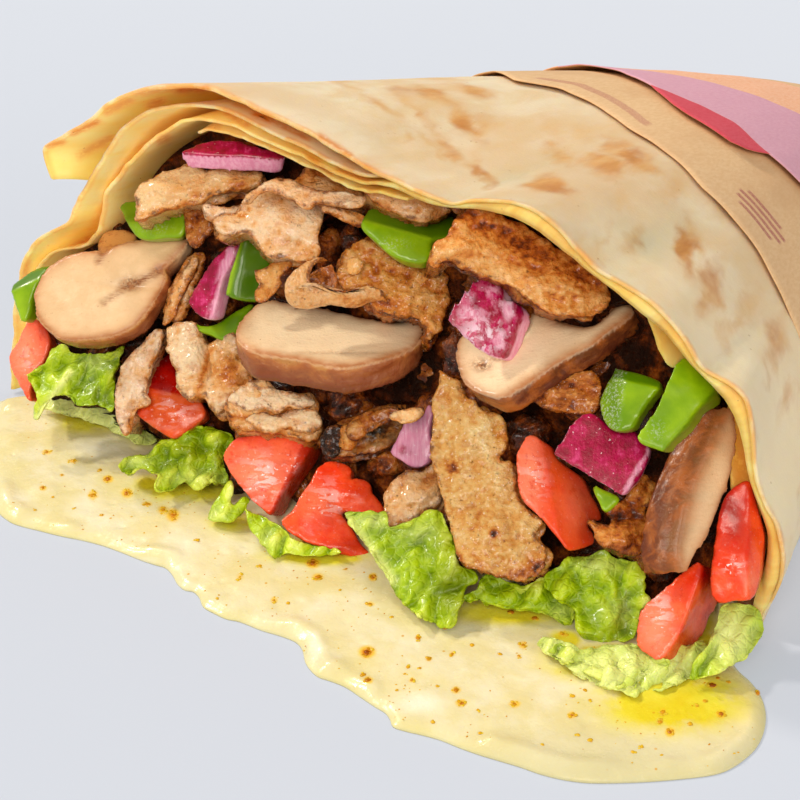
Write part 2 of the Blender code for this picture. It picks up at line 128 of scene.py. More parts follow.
def lines_at(points, marks):
    """Soft strokes at picture points: (x0, y0, x1, y1, half width, strength)."""
    q = picture(points)
    total = np.zeros(len(points))
    for x0, y0, x1, y1, wide, strength in marks:
        a, e = np.array([x0, y0]), np.array([x1 - x0, y1 - y0], float)
        t = np.clip(((q - a) @ e) / (e @ e + 1e-9), 0, 1)
        d = np.linalg.norm(q - a - t[:, None] * e, axis=1)
        total = np.maximum(total, strength * np.exp(-(d / wide) ** 2))
    return total


def hashed(i, j, k):
    return PERM[(PERM[(PERM[i & 255] + j) & 255] + k) & 255]


def perlin(p, seed=0):
    """Gradient noise, about -1 to 1."""
    p = np.asarray(p, float) + seed * 13.37 + 5.1
    cell = np.floor(p).astype(np.int64)
    f = p - cell
    u = f * f * f * (f * (f * 6 - 15) + 10)
    i, j, k = cell.T
    out = 0
    for a in (0, 1):
        wa = u[:, 0] if a else 1 - u[:, 0]
        for b in (0, 1):
            wb = u[:, 1] if b else 1 - u[:, 1]
            for c in (0, 1):
                wc = u[:, 2] if c else 1 - u[:, 2]
                g = GRADS[hashed(i + a, j + b, k + c)]
                dot = g[:, 0] * (f[:, 0] - a) + g[:, 1] * (f[:, 1] - b) + g[:, 2] * (f[:, 2] - c)
                out = out + wa * wb * wc * dot
    return out * 1.6


def fbm(p, size, octaves=3, seed=0, gain=0.5, ridged=False):
    """Layers of noise whose largest features are about this size in mm."""
    total, amount, norm = 0, 1.0, 0.0
    p = np.asarray(p, float) / size
    for o in range(octaves):
        n = perlin(p * 2 ** o, seed + o * 7)
        if ridged:
            n = 1 - 2 * np.abs(n)
        total = total + n * amount
        norm += amount
        amount *= gain
    return total / norm


def cells(p, size, seed=0):
    """Distance to the nearest and second nearest of points scattered one to a cell, in cells."""
    p = np.asarray(p, float) / size + seed * 7.7 + 3.3
    base = np.floor(p).astype(np.int64)
    near = np.full(len(p), 9.0)
    second = np.full(len(p), 9.0)
    for a in (-1, 0, 1):
        for b in (-1, 0, 1):
            for c in (-1, 0, 1):
                i, j, k = (base + (a, b, c)).T
                spot = base + (a, b, c) + JITTER[hashed(i, j, k)]
                d = np.sqrt(((p - spot) ** 2).sum(axis=1))
                second = np.minimum(second, np.maximum(near, d))
                near = np.minimum(near, d)
    return near, second


# ---------------------------------------------------------------- meshes

def triangles(faces):
    faces = np.asarray(faces)
    if faces.shape[1] == 3:
        return faces
    return np.concatenate([faces[:, [0, 1, 2]], faces[:, [0, 2, 3]]])


def normals(points, faces):
    t = triangles(faces)
    n = np.cross(points[t[:, 1]] - points[t[:, 0]], points[t[:, 2]] - points[t[:, 0]])
    out = np.zeros_like(points)
    for c in range(3):
        for k in range(3):
            out[:, c] += np.bincount(t[:, k], weights=n[:, c], minlength=len(points))
    return out / (np.linalg.norm(out, axis=1)[:, None] + 1e-12)


def edges_of(faces):
    faces = np.asarray(faces)
    m = faces.shape[1]
    e = np.concatenate([faces[:, [k, (k + 1) % m]] for k in range(m)])
    return np.unique(np.sort(e, axis=1), axis=0)


def relax(values, edges, times, amount=0.5):
    """Each point's values drawn towards the mean of its neighbours'."""
    values = np.array(values, float)
    flat = values.ndim == 1
    if flat:
        values = values[:, None]
    n = len(values)
    count = np.bincount(edges.ravel(), minlength=n)[:, None] + 1e-9
    for _ in range(times):
        new = np.zeros_like(values)
        for c in range(values.shape[1]):
            new[:, c] = (np.bincount(edges[:, 0], weights=values[edges[:, 1], c], minlength=n)
                         + np.bincount(edges[:, 1], weights=values[edges[:, 0], c], minlength=n))
        values += (new / count - values) * amount
    return values[:, 0] if flat else values


def add_mesh(name, points, faces, material, attributes=None, nodes=(), stage=False):
    mesh = bpy.data.meshes.new(name)
    mesh.from_pydata(world(points).tolist(), [], [list(map(int, f)) for f in faces])
    mesh.update()
    mesh.shade_smooth()
    for key, data in (attributes or {}).items():
        data = np.asarray(data, np.float32)
        if data.ndim == 2:
            mesh.attributes.new(key, "FLOAT_VECTOR", "POINT").data.foreach_set("vector", data.ravel())
        else:
            mesh.attributes.new(key, "FLOAT", "POINT").data.foreach_set("value", data)
    mesh.materials.append(material)
    obj = bpy.data.objects.new(name, mesh)
    bpy.context.scene.collection.objects.link(obj)
    if stage:
        obj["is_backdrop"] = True
        return obj
    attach(obj, "root")
    if nodes:
        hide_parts(*nodes)
    return obj


def grid_faces(rows, columns, start=0, wrap=False, flip=False):
    """Quads over a grid of rows x columns points, row by row."""
    j, i = np.meshgrid(np.arange(rows - 1), np.arange(columns if wrap else columns - 1), indexing="ij")
    a = start + j * columns + i
    b = start + j * columns + (i + 1) % columns
    quads = np.stack([a, b, b + columns, a + columns], axis=-1).reshape(-1, 4)
    return quads[:, ::-1] if flip else quads


def shell_of(outer, inner, bulge=0.35):
    """A closed thin sheet between two grids of the same shape (rows, columns, 3). Its four edges are rounded."""
    rows, columns = outer.shape[:2]
    half = rows * columns
    points = [outer.reshape(-1, 3), inner.reshape(-1, 3)]
    faces = [grid_faces(rows, columns), grid_faces(rows, columns, half, flip=True)]
    edge = ([(0, i) for i in range(columns)] + [(j, columns - 1) for j in range(1, rows)]
            + [(rows - 1, i) for i in range(columns - 2, -1, -1)] + [(j, 0) for j in range(rows - 2, 0, -1)])
    inwards = ([(1, i) for i in range(columns)] + [(j, columns - 2) for j in range(1, rows)]
               + [(rows - 2, i) for i in range(columns - 2, -1, -1)] + [(j, 1) for j in range(rows - 2, 0, -1)])
    ej, ei = np.array(edge).T
    nj, ni = np.array(inwards).T
    out = outer[ej, ei] - outer[nj, ni]
    out /= np.linalg.norm(out, axis=1)[:, None] + 1e-9
    gap = np.linalg.norm(outer[ej, ei] - inner[ej, ei], axis=1)[:, None]
    middle = (outer[ej, ei] + inner[ej, ei]) / 2 + out * gap * bulge
    start = 2 * half
    points.append(middle)
    m = len(edge)
    e = ej * columns + ei
    a, b = np.arange(m), (np.arange(m) + 1) % m
    faces.append(np.stack([e[b], e[a], start + a, start + b], axis=1))
    faces.append(np.stack([start + b, start + a, half + e[a], half + e[b]], axis=1))
    return np.concatenate(points), np.concatenate(faces), (ej, ei)


def sheet_values(values, edge):
    """A grid's values laid out as shell_of lays out its points."""
    return np.concatenate([values.reshape(-1), values.reshape(-1), values[edge]])


def smoothstep(a, b, x):
    t = np.clip((np.asarray(x, float) - a) / (b - a), 0, 1)
    return t * t * (3 - 2 * t)


def bell(x, at, spread):
    return np.exp(-(((np.asarray(x, float) - at) / spread) ** 2))


# ---------------------------------------------------------------- node materials

def linear(c):
    c = np.asarray(c[:3], float) / 255
    return tuple(np.where(c <= 0.04045, c / 12.92, ((c + 0.055) / 1.055) ** 2.4)) + (1.0,)


class Graph:
    """A Principled material put together from short calls. Colours are given 0 to 255, as seen in a picture."""

    def __init__(self, name, **settings):
        self.material = bpy.data.materials.new(name)
        self.material.use_nodes = True
        self.tree = self.material.node_tree
        self.tree.nodes.clear()
        self.out = self.tree.nodes.new("ShaderNodeOutputMaterial")
        self.shader = self.tree.nodes.new("ShaderNodeBsdfPrincipled")
        self.tree.links.new(self.shader.outputs[0], self.out.inputs[0])
        self.shader.inputs["Specular IOR Level"].default_value = 0.32
        self.shader.inputs["Specular Tint"].default_value = (1.0, 0.86, 0.66, 1.0)
        for key, value in settings.items():
            self.shader.inputs[key.replace("_", " ")].default_value = value
        coordinates = self.tree.nodes.new("ShaderNodeTexCoord")
        self.place = self.scaled(coordinates.outputs["Object"], (1000, 1000, 1000))

    def node(self, kind, **settings):
        n = self.tree.nodes.new("ShaderNode" + kind)
        for key, value in settings.items():
            setattr(n, key, value)
        return n

    def put(self, value, socket):
        if value is None:
            return
        if isinstance(value, bpy.types.NodeSocket):
            self.tree.links.new(value, socket)
        elif isinstance(value, (tuple, list)) and socket.type == "RGBA":
            socket.default_value = linear(value)
        else:
            socket.default_value = value

    def set(self, **sockets):
        for key, value in sockets.items():
            self.put(value, self.shader.inputs[key.replace("_", " ")])

    def scaled(self, vector, scale, turn=(0, 0, 0)):
        n = self.node("Mapping")
        self.put(vector, n.inputs[0])
        n.inputs["Scale"].default_value = scale
        n.inputs["Rotation"].default_value = turn
        return n.outputs[0]

    def attribute(self, name, vector=False):
        n = self.node("Attribute", attribute_name=name)
        return n.outputs["Vector" if vector else "Fac"]

    def noise(self, size, detail=3, rough=0.55, distort=0.0, vector=None, colour=False):
        """Noise whose features are about this many mm."""
        n = self.node("TexNoise")
        self.put(self.place if vector is None else vector, n.inputs["Vector"])
        n.inputs["Scale"].default_value = 1 / size
        n.inputs["Detail"].default_value = detail
        n.inputs["Roughness"].default_value = rough
        n.inputs["Distortion"].default_value = distort
        return n.outputs["Color" if colour else 0]

    def cells(self, size, feature="F1", vector=None, smooth=None, rand=1.0, what="Distance"):
        n = self.node("TexVoronoi", feature=feature)
        self.put(self.place if vector is None else vector, n.inputs["Vector"])
        n.inputs["Scale"].default_value = 1 / size
        n.inputs["Randomness"].default_value = rand
        if smooth is not None and "Smoothness" in n.inputs:
            n.inputs["Smoothness"].default_value = smooth
        return n.outputs[what]

    def math(self, operation, a, b=None, c=None, clamp=False):
        n = self.node("Math", operation=operation, use_clamp=clamp)
        self.put(a, n.inputs[0])
        self.put(b, n.inputs[1])
        self.put(c, n.inputs[2])
        return n.outputs[0]

    def remap(self, value, low, high, to_low=0.0, to_high=1.0, smooth=True):
        n = self.node("MapRange", interpolation_type="SMOOTHSTEP" if smooth else "LINEAR")
        self.put(value, n.inputs["Value"])
        n.inputs["From Min"].default_value = low
        n.inputs["From Max"].default_value = high
        n.inputs["To Min"].default_value = to_low
        n.inputs["To Max"].default_value = to_high
        return n.outputs["Result"]

    def mix(self, share, a, b, blend="MIX"):
        n = self.node("Mix", data_type="RGBA", blend_type=blend, clamp_factor=True)
        self.put(share, n.inputs[0])
        self.put(a, n.inputs[6])
        self.put(b, n.inputs[7])
        return n.outputs[2]

    def ramp(self, value, *stops):
        n = self.node("ValToRGB")
        elements = n.color_ramp.elements
        while len(elements) > 1:
            elements.remove(elements[-1])
        for k, (at, colour) in enumerate(stops):
            e = elements[0] if k == 0 else elements.new(at)
            e.position = at
            e.color = linear(colour)
        self.put(value, n.inputs[0])
        return n.outputs[0]

    def bump(self, height, strength=0.5, depth=0.2, under=None):
        """Bump whose full height is about this many mm."""
        n = self.node("Bump")
        n.inputs["Strength"].default_value = strength
        n.inputs["Distance"].default_value = depth * 0.001
        self.put(height, n.inputs["Height"])
        self.put(under, n.inputs["Normal"])
        return n.outputs[0]

    def volume(self, weight, radius, size):
        self.shader.inputs["Subsurface Weight"].default_value = weight
        self.shader.inputs["Subsurface Radius"].default_value = radius
        self.shader.inputs["Subsurface Scale"].default_value = size * 0.001


# ---------------------------------------------------------------- the cone, as in the CAD

MOUTH_R, CONE_LENGTH, TIP_X = 86.0, 205.0, 34.0
PAPER_END, TAPER_FROM = 217.0, 0.78
FLOOR_Z = 0.85


def shrink(y):
    s = np.clip(np.asarray(y, float) / CONE_LENGTH, 0, 1)
    turn = TAPER_FROM * CONE_LENGTH
    t = (y - turn) / (PAPER_END - turn)
    wide0, high0 = (1 - TAPER_FROM) ** 0.75, (1 - TAPER_FROM) ** 0.72
    wide = np.where(y <= turn, (1 - s) ** 0.75, wide0 + t * (5.5 / MOUTH_R - wide0))
    high = np.where(y <= turn, (1 - s) ** 0.72, high0 + t * (3.5 / MOUTH_R - high0))
    return wide, high


def reach(theta, y):
    """Radius of the cone's outer wall before it is scaled down along the cone. theta in degrees."""
    fade = np.exp(-((np.maximum(y, 0) / CONE_LENGTH / 0.3) ** 2))
    a = np.clip(theta, 0, 180)
    return MOUTH_R * (1 - 0.165 * fade * bell(a, 82, 19)) - 6 * fade * bell(a, 145, 9)


def wall(theta, y, out):
    """Points of the wall, moved out of the cone's surface by out mm."""
    theta, y, out = np.broadcast_arrays(*(np.asarray(v, float) for v in (theta, y, out)))
    wide, high = shrink(y)
    r = reach(theta, y)
    t = np.radians(theta)
    scale = np.sqrt((wide * np.cos(t)) ** 2 + (high * np.sin(t)) ** 2)
    r = r + out / np.maximum(scale, 0.05)
    return np.stack([TIP_X * y / CONE_LENGTH + wide * r * np.cos(t), y, FLOOR_Z + high * r * np.sin(t)], axis=-1)


def rim_from(trace):
    """(theta, out, y) along a rim traced as (picture x, picture y, mm behind the mouth)."""
    rows = []
    for mark in trace:
        x, y, z = on_plane([mark[:2]], (0, mark[2], 0), np.array([0.0, 1.0, 0.0]))[0]
        wide, high = shrink(y)
        px, pz = (x - TIP_X * y / CONE_LENGTH) / wide, (z - FLOOR_Z) / high
        theta = math.degrees(math.atan2(pz, px))
        rows.append((theta, math.hypot(px, pz) - float(reach(theta, y)), mark[2]))
    rows.sort()
    return np.array(rows)


def along(rows, theta, column, spread=1.6):
    """A rim's value at these angles, with its corners eased."""
    total = 0
    for step, weight in ((-1, 0.25), (0, 0.5), (1, 0.25)):
        total = total + weight * np.interp(theta + step * spread, rows[:, 0], rows[:, column])
    return total


RIM_A = [(762, 619, 1.6), (771, 605, 1.4), (777, 593, 1.2), (783, 580, 1.0), (785, 562, 1.0), (784, 545, 0.9), (779, 525, 0.8),
         (768, 507, 0.7), (759, 485, 0.6), (756, 463, 0.6), (755, 440, 0.5), (753, 418, 0.5), (748, 400, 0.5), (738, 387, 0.5),
         (722, 380, 0.5), (706, 375, 0.5), (697, 358, 0.4), (682, 340, 0.4), (665, 322, 0.4), (645, 305, 0.4), (622, 290, 0.4),
         (600, 268, 0.4), (575, 244, 0.4), (550, 219, 0.4), (530, 206, 0.4), (510, 201, 0.4), (490, 200, 0.4), (470, 201, 0.5),
         (453, 204, 0.6), (436, 198, 0.6), (420, 190, 0.5), (403, 183, 0.4), (384, 174, 0.2), (357, 160, 0), (336, 148, -0.2),
         (307, 131, -0.4), (285, 121, -0.5), (268, 113, -0.6), (250, 105, -0.7), (230, 96, -0.8), (215, 88, -0.8), (201, 85, -0.9),
         (172, 85, -1), (143, 88, -1), (118, 97, -1), (100, 107, -1), (96, 115, -1), (80, 128, -1), (63, 136, -1), (50, 142, -1),
         (42, 150, -0.6), (44, 162, -0.2), (52, 178, 0.4)]
RIM_B = [(92, 172, 0.6), (100, 160, 0.5), (107, 149, 0.5), (113, 138, 0.5), (130, 120, 0.5), (145, 112, 0.5), (163, 106, 0.5),
         (180, 104, 0.5), (210, 105, 0.5), (230, 110, 0.6), (250, 121, 0.7), (270, 131, 0.8), (300, 144, 0.9), (320, 155, 1),
         (340, 165, 1), (360, 173, 1), (378, 178, 1)]
RIM_B_LEFT = [(85, 184, 0.6), (77, 199, 0.6), (71, 213, 0.7), (61, 226, 0.8), (45, 233, 1), (31, 244, 1.1), (22, 262, 1.2),
              (17, 285, 1.3), (14, 310, 1.4), (12, 340, 1.5), (10, 370, 1.6), (9, 396, 1.8)]
RIM_C = [(36, 268, 3), (43, 254, 3.5), (58, 248, 4), (77, 247, 4.5), (90, 238, 5), (99, 224, 5), (102, 210, 5), (103, 199, 5),
         (108, 188, 5), (115, 179, 5), (124, 167, 5), (134, 156, 5), (148, 142, 5), (163, 130, 5), (182, 119, 4.5), (210, 117, 4.2),
         (230, 122, 4), (250, 132, 3.6), (270, 141, 3.3), (300, 152, 3), (320, 163, 2.6), (340, 173, 2.2), (360, 180, 2), (380, 183, 1.8)]
RIM_D = [(205, 127, 6.5), (225, 129, 6), (245, 135, 5.5), (269, 146, 5), (298, 159, 4.5), (317, 167, 4), (336, 178, 3.4), (357, 188, 3),
         (384, 189, 2.6)]


def layer(name, theta, y, rim, back_out, thick, fade_length, material, end=None, inner=0.0, curl=0.0, seed=0, wave=0.25,
          flutter=0.3):
    """A thin crepe sheet whose front edge follows a rim, and which settles to back_out along the cone.
    rim(theta) gives (out, y) of the edge. end(y) may move the last angle as the sheet runs back."""
    tt = np.broadcast_to(theta[None, :], (len(y), len(theta))).copy()
    if end is not None:
        share = (theta - theta[0]) / (theta[-1] - theta[0])
        for j, yy in enumerate(y):
            tt[j] = theta[0] + share * (end(yy) - theta[0])
    rim_out, rim_y = rim(tt)
    depth = np.broadcast_to(y[:, None], tt.shape)
    share = np.clip(1 - depth / 14, 0, 1)
    yy = depth + rim_y * share
    decay = np.exp(-(np.maximum(depth, 0) / fade_length) ** 1.35)
    base = back_out(tt) if callable(back_out) else back_out
    out = base + (rim_out - base) * decay
    sway = np.stack([tt.ravel() * 1.4, np.full(tt.size, 0.0), np.full(tt.size, 5.0 * seed)], axis=1)
    out = out + fbm(sway, 7, 3, seed + 17).reshape(tt.shape) * flutter * np.exp(-depth / 7) * (0.25 + 0.75 * smoothstep(74, 92, tt))
    flat = np.stack([tt.ravel() * 1.4, yy.ravel(), np.full(tt.size, 3.0 * seed)], axis=1)
    swell = (fbm(flat * (1, 0.35, 1), 26, 3, seed).reshape(tt.shape) * wave * smoothstep(0, 25, depth)
             + fbm(flat * (1, 0.5, 1), 6, 2, seed + 3).reshape(tt.shape) * wave * 0.28)
    ragged = fbm(flat * (1, 0, 1), 7, 3, seed + 9).reshape(tt.shape) * 0.85 * np.exp(-depth / 3)
    outer = wall(tt, yy + ragged, out + swell)
    lift = curl * np.exp(-depth / 2.2)
    if callable(thick):
        thick = thick(tt)
    inner_face = wall(tt, yy + ragged, out + swell - thick + lift)
    points, faces, edge = shell_of(outer, inner_face)
    count = tt.size
    attributes = {
        "inner": np.concatenate([np.full(count, inner), np.ones(count), np.full(len(edge[0]), max(inner, 0.35))]),
        "rim": sheet_values(depth, edge),
        "flat": np.concatenate([flat, flat, flat[edge[0] * tt.shape[1] + edge[1]]]),
        "angle": sheet_values(tt, edge),
        "along": sheet_values(yy, edge),
    }
    return name, points, faces, attributes


def toasted(angle, y, spots):
    """Browned blotches, each (angle, mm along, half length, half width, turn, strength)."""
    total = np.zeros(len(angle))
    x = (angle - 90) * 1.3
    for a, at, long, wide, turn, strength in spots:
        dx, dy = x - (a - 90) * 1.3, y - at
        c, s = math.cos(math.radians(turn)), math.sin(math.radians(turn))
        u, v = (dx * c + dy * s) / long, (-dx * s + dy * c) / wide
        total = np.maximum(total, strength * np.exp(-(u * u + v * v) ** 1.1))
    return total


# ---------------------------------------------------------------- crepe

RIM_A = [(762, 619, 1.6), (771, 605, 1.4), (777, 593, 1.2), (783, 580, 1.0), (785, 562, 1.0), (784, 545, 0.9), (779, 525, 0.8),
         (768, 507, 0.7), (759, 485, 0.6), (756, 463, 0.6), (755, 440, 0.5), (753, 418, 0.5), (748, 400, 0.5), (738, 387, 0.5),
         (722, 378, 0.5), (707, 372, 0.5), (698, 358, 0.4), (688, 342, 0.4), (675, 325, 0.4), (660, 308, 0.4), (640, 293, 0.4),
         (620, 282, 0.4), (600, 270, 0.4), (575, 245, 0.4), (550, 219, 0.4), (530, 206, 0.4), (510, 201, 0.4), (490, 199, 0.4),
         (470, 199, 0.5), (453, 203, 0.6), (436, 198, 0.6), (420, 190, 0.5), (403, 183, 0.4), (384, 174, 0.2), (357, 160, 0),
         (336, 148, -0.2), (307, 131, -0.4), (285, 121, -0.5), (268, 113, -0.6), (250, 105, -0.7), (230, 96, -0.8), (215, 88, -0.8),
         (201, 85, -0.9), (172, 85, -1), (143, 88, -1), (118, 97, -1), (104, 105, -1), (96, 114, -1), (80, 126, -1), (63, 135, -1),
         (50, 142, -1), (42, 149, -0.6), (44, 162, -0.2), (52, 178, 0.4)]
RIM_IN = [(752, 606, 2), (759, 587, 1.8), (769, 554, 1.6), (768, 526, 1.6), (754, 491, 1.6), (748, 470, 1.6), (743, 440, 1.6),
          (735, 415, 1.6), (725, 397, 1.6), (715, 386, 1.6), (703, 377, 1.6), (690, 362, 1.5), (676, 345, 1.4), (660, 329, 1.4),
          (645, 315, 1.4), (620, 294, 1.4), (600, 280, 1.4), (580, 264, 1.4), (560, 247, 1.4), (540, 231, 1.4), (515, 217, 1.5),
          (500, 213, 1.5), (470, 208, 1.6), (455, 208, 1.7), (430, 203, 1.8), (410, 194, 1.8)]

rows_a, rows_b, rows_c = rim_from(RIM_A), rim_from(RIM_B + RIM_B_LEFT), rim_from(RIM_C)
rows_in, rows_d = rim_from(RIM_IN), rim_from(RIM_D)


def rim_a(tt):
    return along(rows_a, tt, 1, 0.8), along(rows_a, tt, 2)


def tuck(tt):
    """How far the foot of the right wall draws in, in mm, carrying on what its rim does."""
    return 3.4 * (1 - smoothstep(0, 11, tt))


def rim_c(tt):
    left = smoothstep(78, 86, tt)
    out = (along(rows_a, tt, 1, 0.8) - 0.55) * (1 - left) + along(rows_c, tt, 1) * left
    return out, 1.1 * (1 - left) + along(rows_c, tt, 2) * left


def folded_in(tt):
    """Thickness of the inner layers, which on the right fold in behind the rim as one soft roll."""
    left = smoothstep(76, 84, tt)
    return 0.7 * left + np.maximum(along(rows_a, tt, 1, 0.8) - 0.55 - along(rows_in, tt, 1), 0.8) * (1 - left)


def rim_b(tt):
    left = smoothstep(80, 87, tt)
    out = (rim_a(tt)[0] * 0.84 - 1.0) * (1 - left) + along(rows_b, tt, 1) * left
    return out, 7.0 * (1 - left) + along(rows_b, tt, 2) * left


def rim_d(tt):
    return along(rows_d, tt, 1) - 0.2, along(rows_d, tt, 2)


def steps(*parts):
    """Stations along the wrap: (from, to, how many) in turn."""
    rows = [np.linspace(a, b, n, endpoint=False) for a, b, n in parts]
    return np.concatenate(rows + [[parts[-1][1]]])


SPOTS = [  # browned blotches: degrees, mm along, half length, half width, turn, strength
    (103, 25, 7, 1.5, 10, 0.5), (100.5, 33, 3.4, 2.3, 20, 0.55), (98, 38, 6.5, 3.6, 15, 0.8), (97, 47, 6.5, 4, 20, 0.8),
    (96.5, 23, 7, 2.2, 20, 0.65), (93, 27, 12, 1.7, 25, 0.6), (88.5, 32, 9, 2.7, 35, 0.85), (86.5, 36, 4, 2.6, 30, 0.6),
    (90, 17, 6, 0.8, 30, 0.4), (86, 19, 8, 0.9, 30, 0.45), (83.5, 19.5, 5, 1.6, 28, 0.65), (75.5, 16, 9, 1.7, 40, 0.75),
    (66, 16, 6.5, 3.6, 60, 1.0), (79, 44, 12, 2.5, 45, 0.35), (72, 33, 6, 2.4, 50, 0.7), (66.5, 34, 8, 4.2, 55, 0.9),
    (64, 42, 7, 3.6, 60, 0.95), (68.5, 44, 8, 3.2, 55, 0.7), (75, 46, 9, 3, 50, 0.35), (54, 9, 10, 1.2, 62, 0.35),
    (52, 15, 7, 2.0, 60, 0.5), (47.5, 25, 9, 2.6, 68, 0.9), (42, 22, 11, 2.4, 75, 0.6), (41, 14, 7, 2.2, 78, 0.55),
    (38, 29, 9, 2.8, 80, 0.45), (36, 18, 9, 1.8, 80, 0.4), (31, 29, 12, 3.2, 85, 0.5), (30, 18, 9, 1.6, 85, 0.35),
    (24, 26, 9, 3, 90, 0.4), (20, 34, 10, 3.4, 90, 0.4), (112, 30, 11, 3.2, 0, 0.6), (122, 44, 13, 4, -10, 0.7),
    (108, 52, 9, 4, 10, 0.55), (131, 60, 11, 4.6, -20, 0.6), (151, 18, 10, 3, -60, 0.5), (158, 40, 12, 4, -70, 0.7),
    (165, 66, 12, 4, -80, 0.55), (146, 80, 12, 4, -40, 0.5), (118, 12, 10, 1.2, 5, 0.4), (170, 22, 8, 2.6, -85, 0.4),
    (12, 12, 9, 1.6, 88, 0.35), (60, 26, 12, 1.3, 55, 0.3), (57, 40, 9, 2.4, 62, 0.4),
]


FRONT_SPOTS = [  # browned marks near the rims as seen in the picture: x, y, x, y, half width, strength
    (73, 133, 97, 122, 3.5, 0.8), (107, 112, 130, 100, 4.5, 0.6), (137, 93, 170, 88, 4, 0.55), (177, 90, 207, 88, 3.5, 0.95),
    (152, 105, 160, 101, 5, 0.6), (207, 98, 213, 97, 4.5, 0.9), (80, 155, 110, 138, 4, 0.5), (46, 146, 63, 142, 3, 0.7),
    (277, 123, 307, 138, 3.2, 0.8), (320, 136, 350, 155, 3.2, 0.85), (227, 113, 247, 125, 3.5, 0.6), (160, 141, 167, 138, 5, 0.75),
    (205, 128, 216, 126, 6, 0.45), (140, 148, 163, 135, 4, 0.4), (307, 156, 330, 172, 3.5, 0.6), (73, 248, 90, 238, 4, 0.6),
    (255, 114, 272, 120, 4, 1.0), (262, 117, 267, 118, 3, 1.6), (120, 178, 128, 160, 2.5, 0.4), (92, 232, 104, 205, 4, 0.35),
    (60, 226, 78, 200, 3.5, 0.35), (340, 170, 372, 182, 4, 0.5), (236, 104, 262, 112, 3, 0.5), (28, 262, 20, 300, 3.5, 0.5),
    (355, 160, 385, 176, 2.6, 0.6), (640, 300, 660, 318, 3, 0.35), (745, 398, 757, 440, 2.6, 0.3), (770, 508, 783, 540, 2.6, 0.3)]
CREASES = [(222, 90, 303, 105, 9, 0.45), (303, 105, 363, 127, 9, 0.5), (363, 127, 402, 147, 9, 0.4), (400, 118, 470, 160, 10, 0.35),
           (470, 160, 540, 180, 10, 0.3), (560, 150, 650, 230, 11, 0.3), (650, 300, 735, 360, 10, 0.25)]


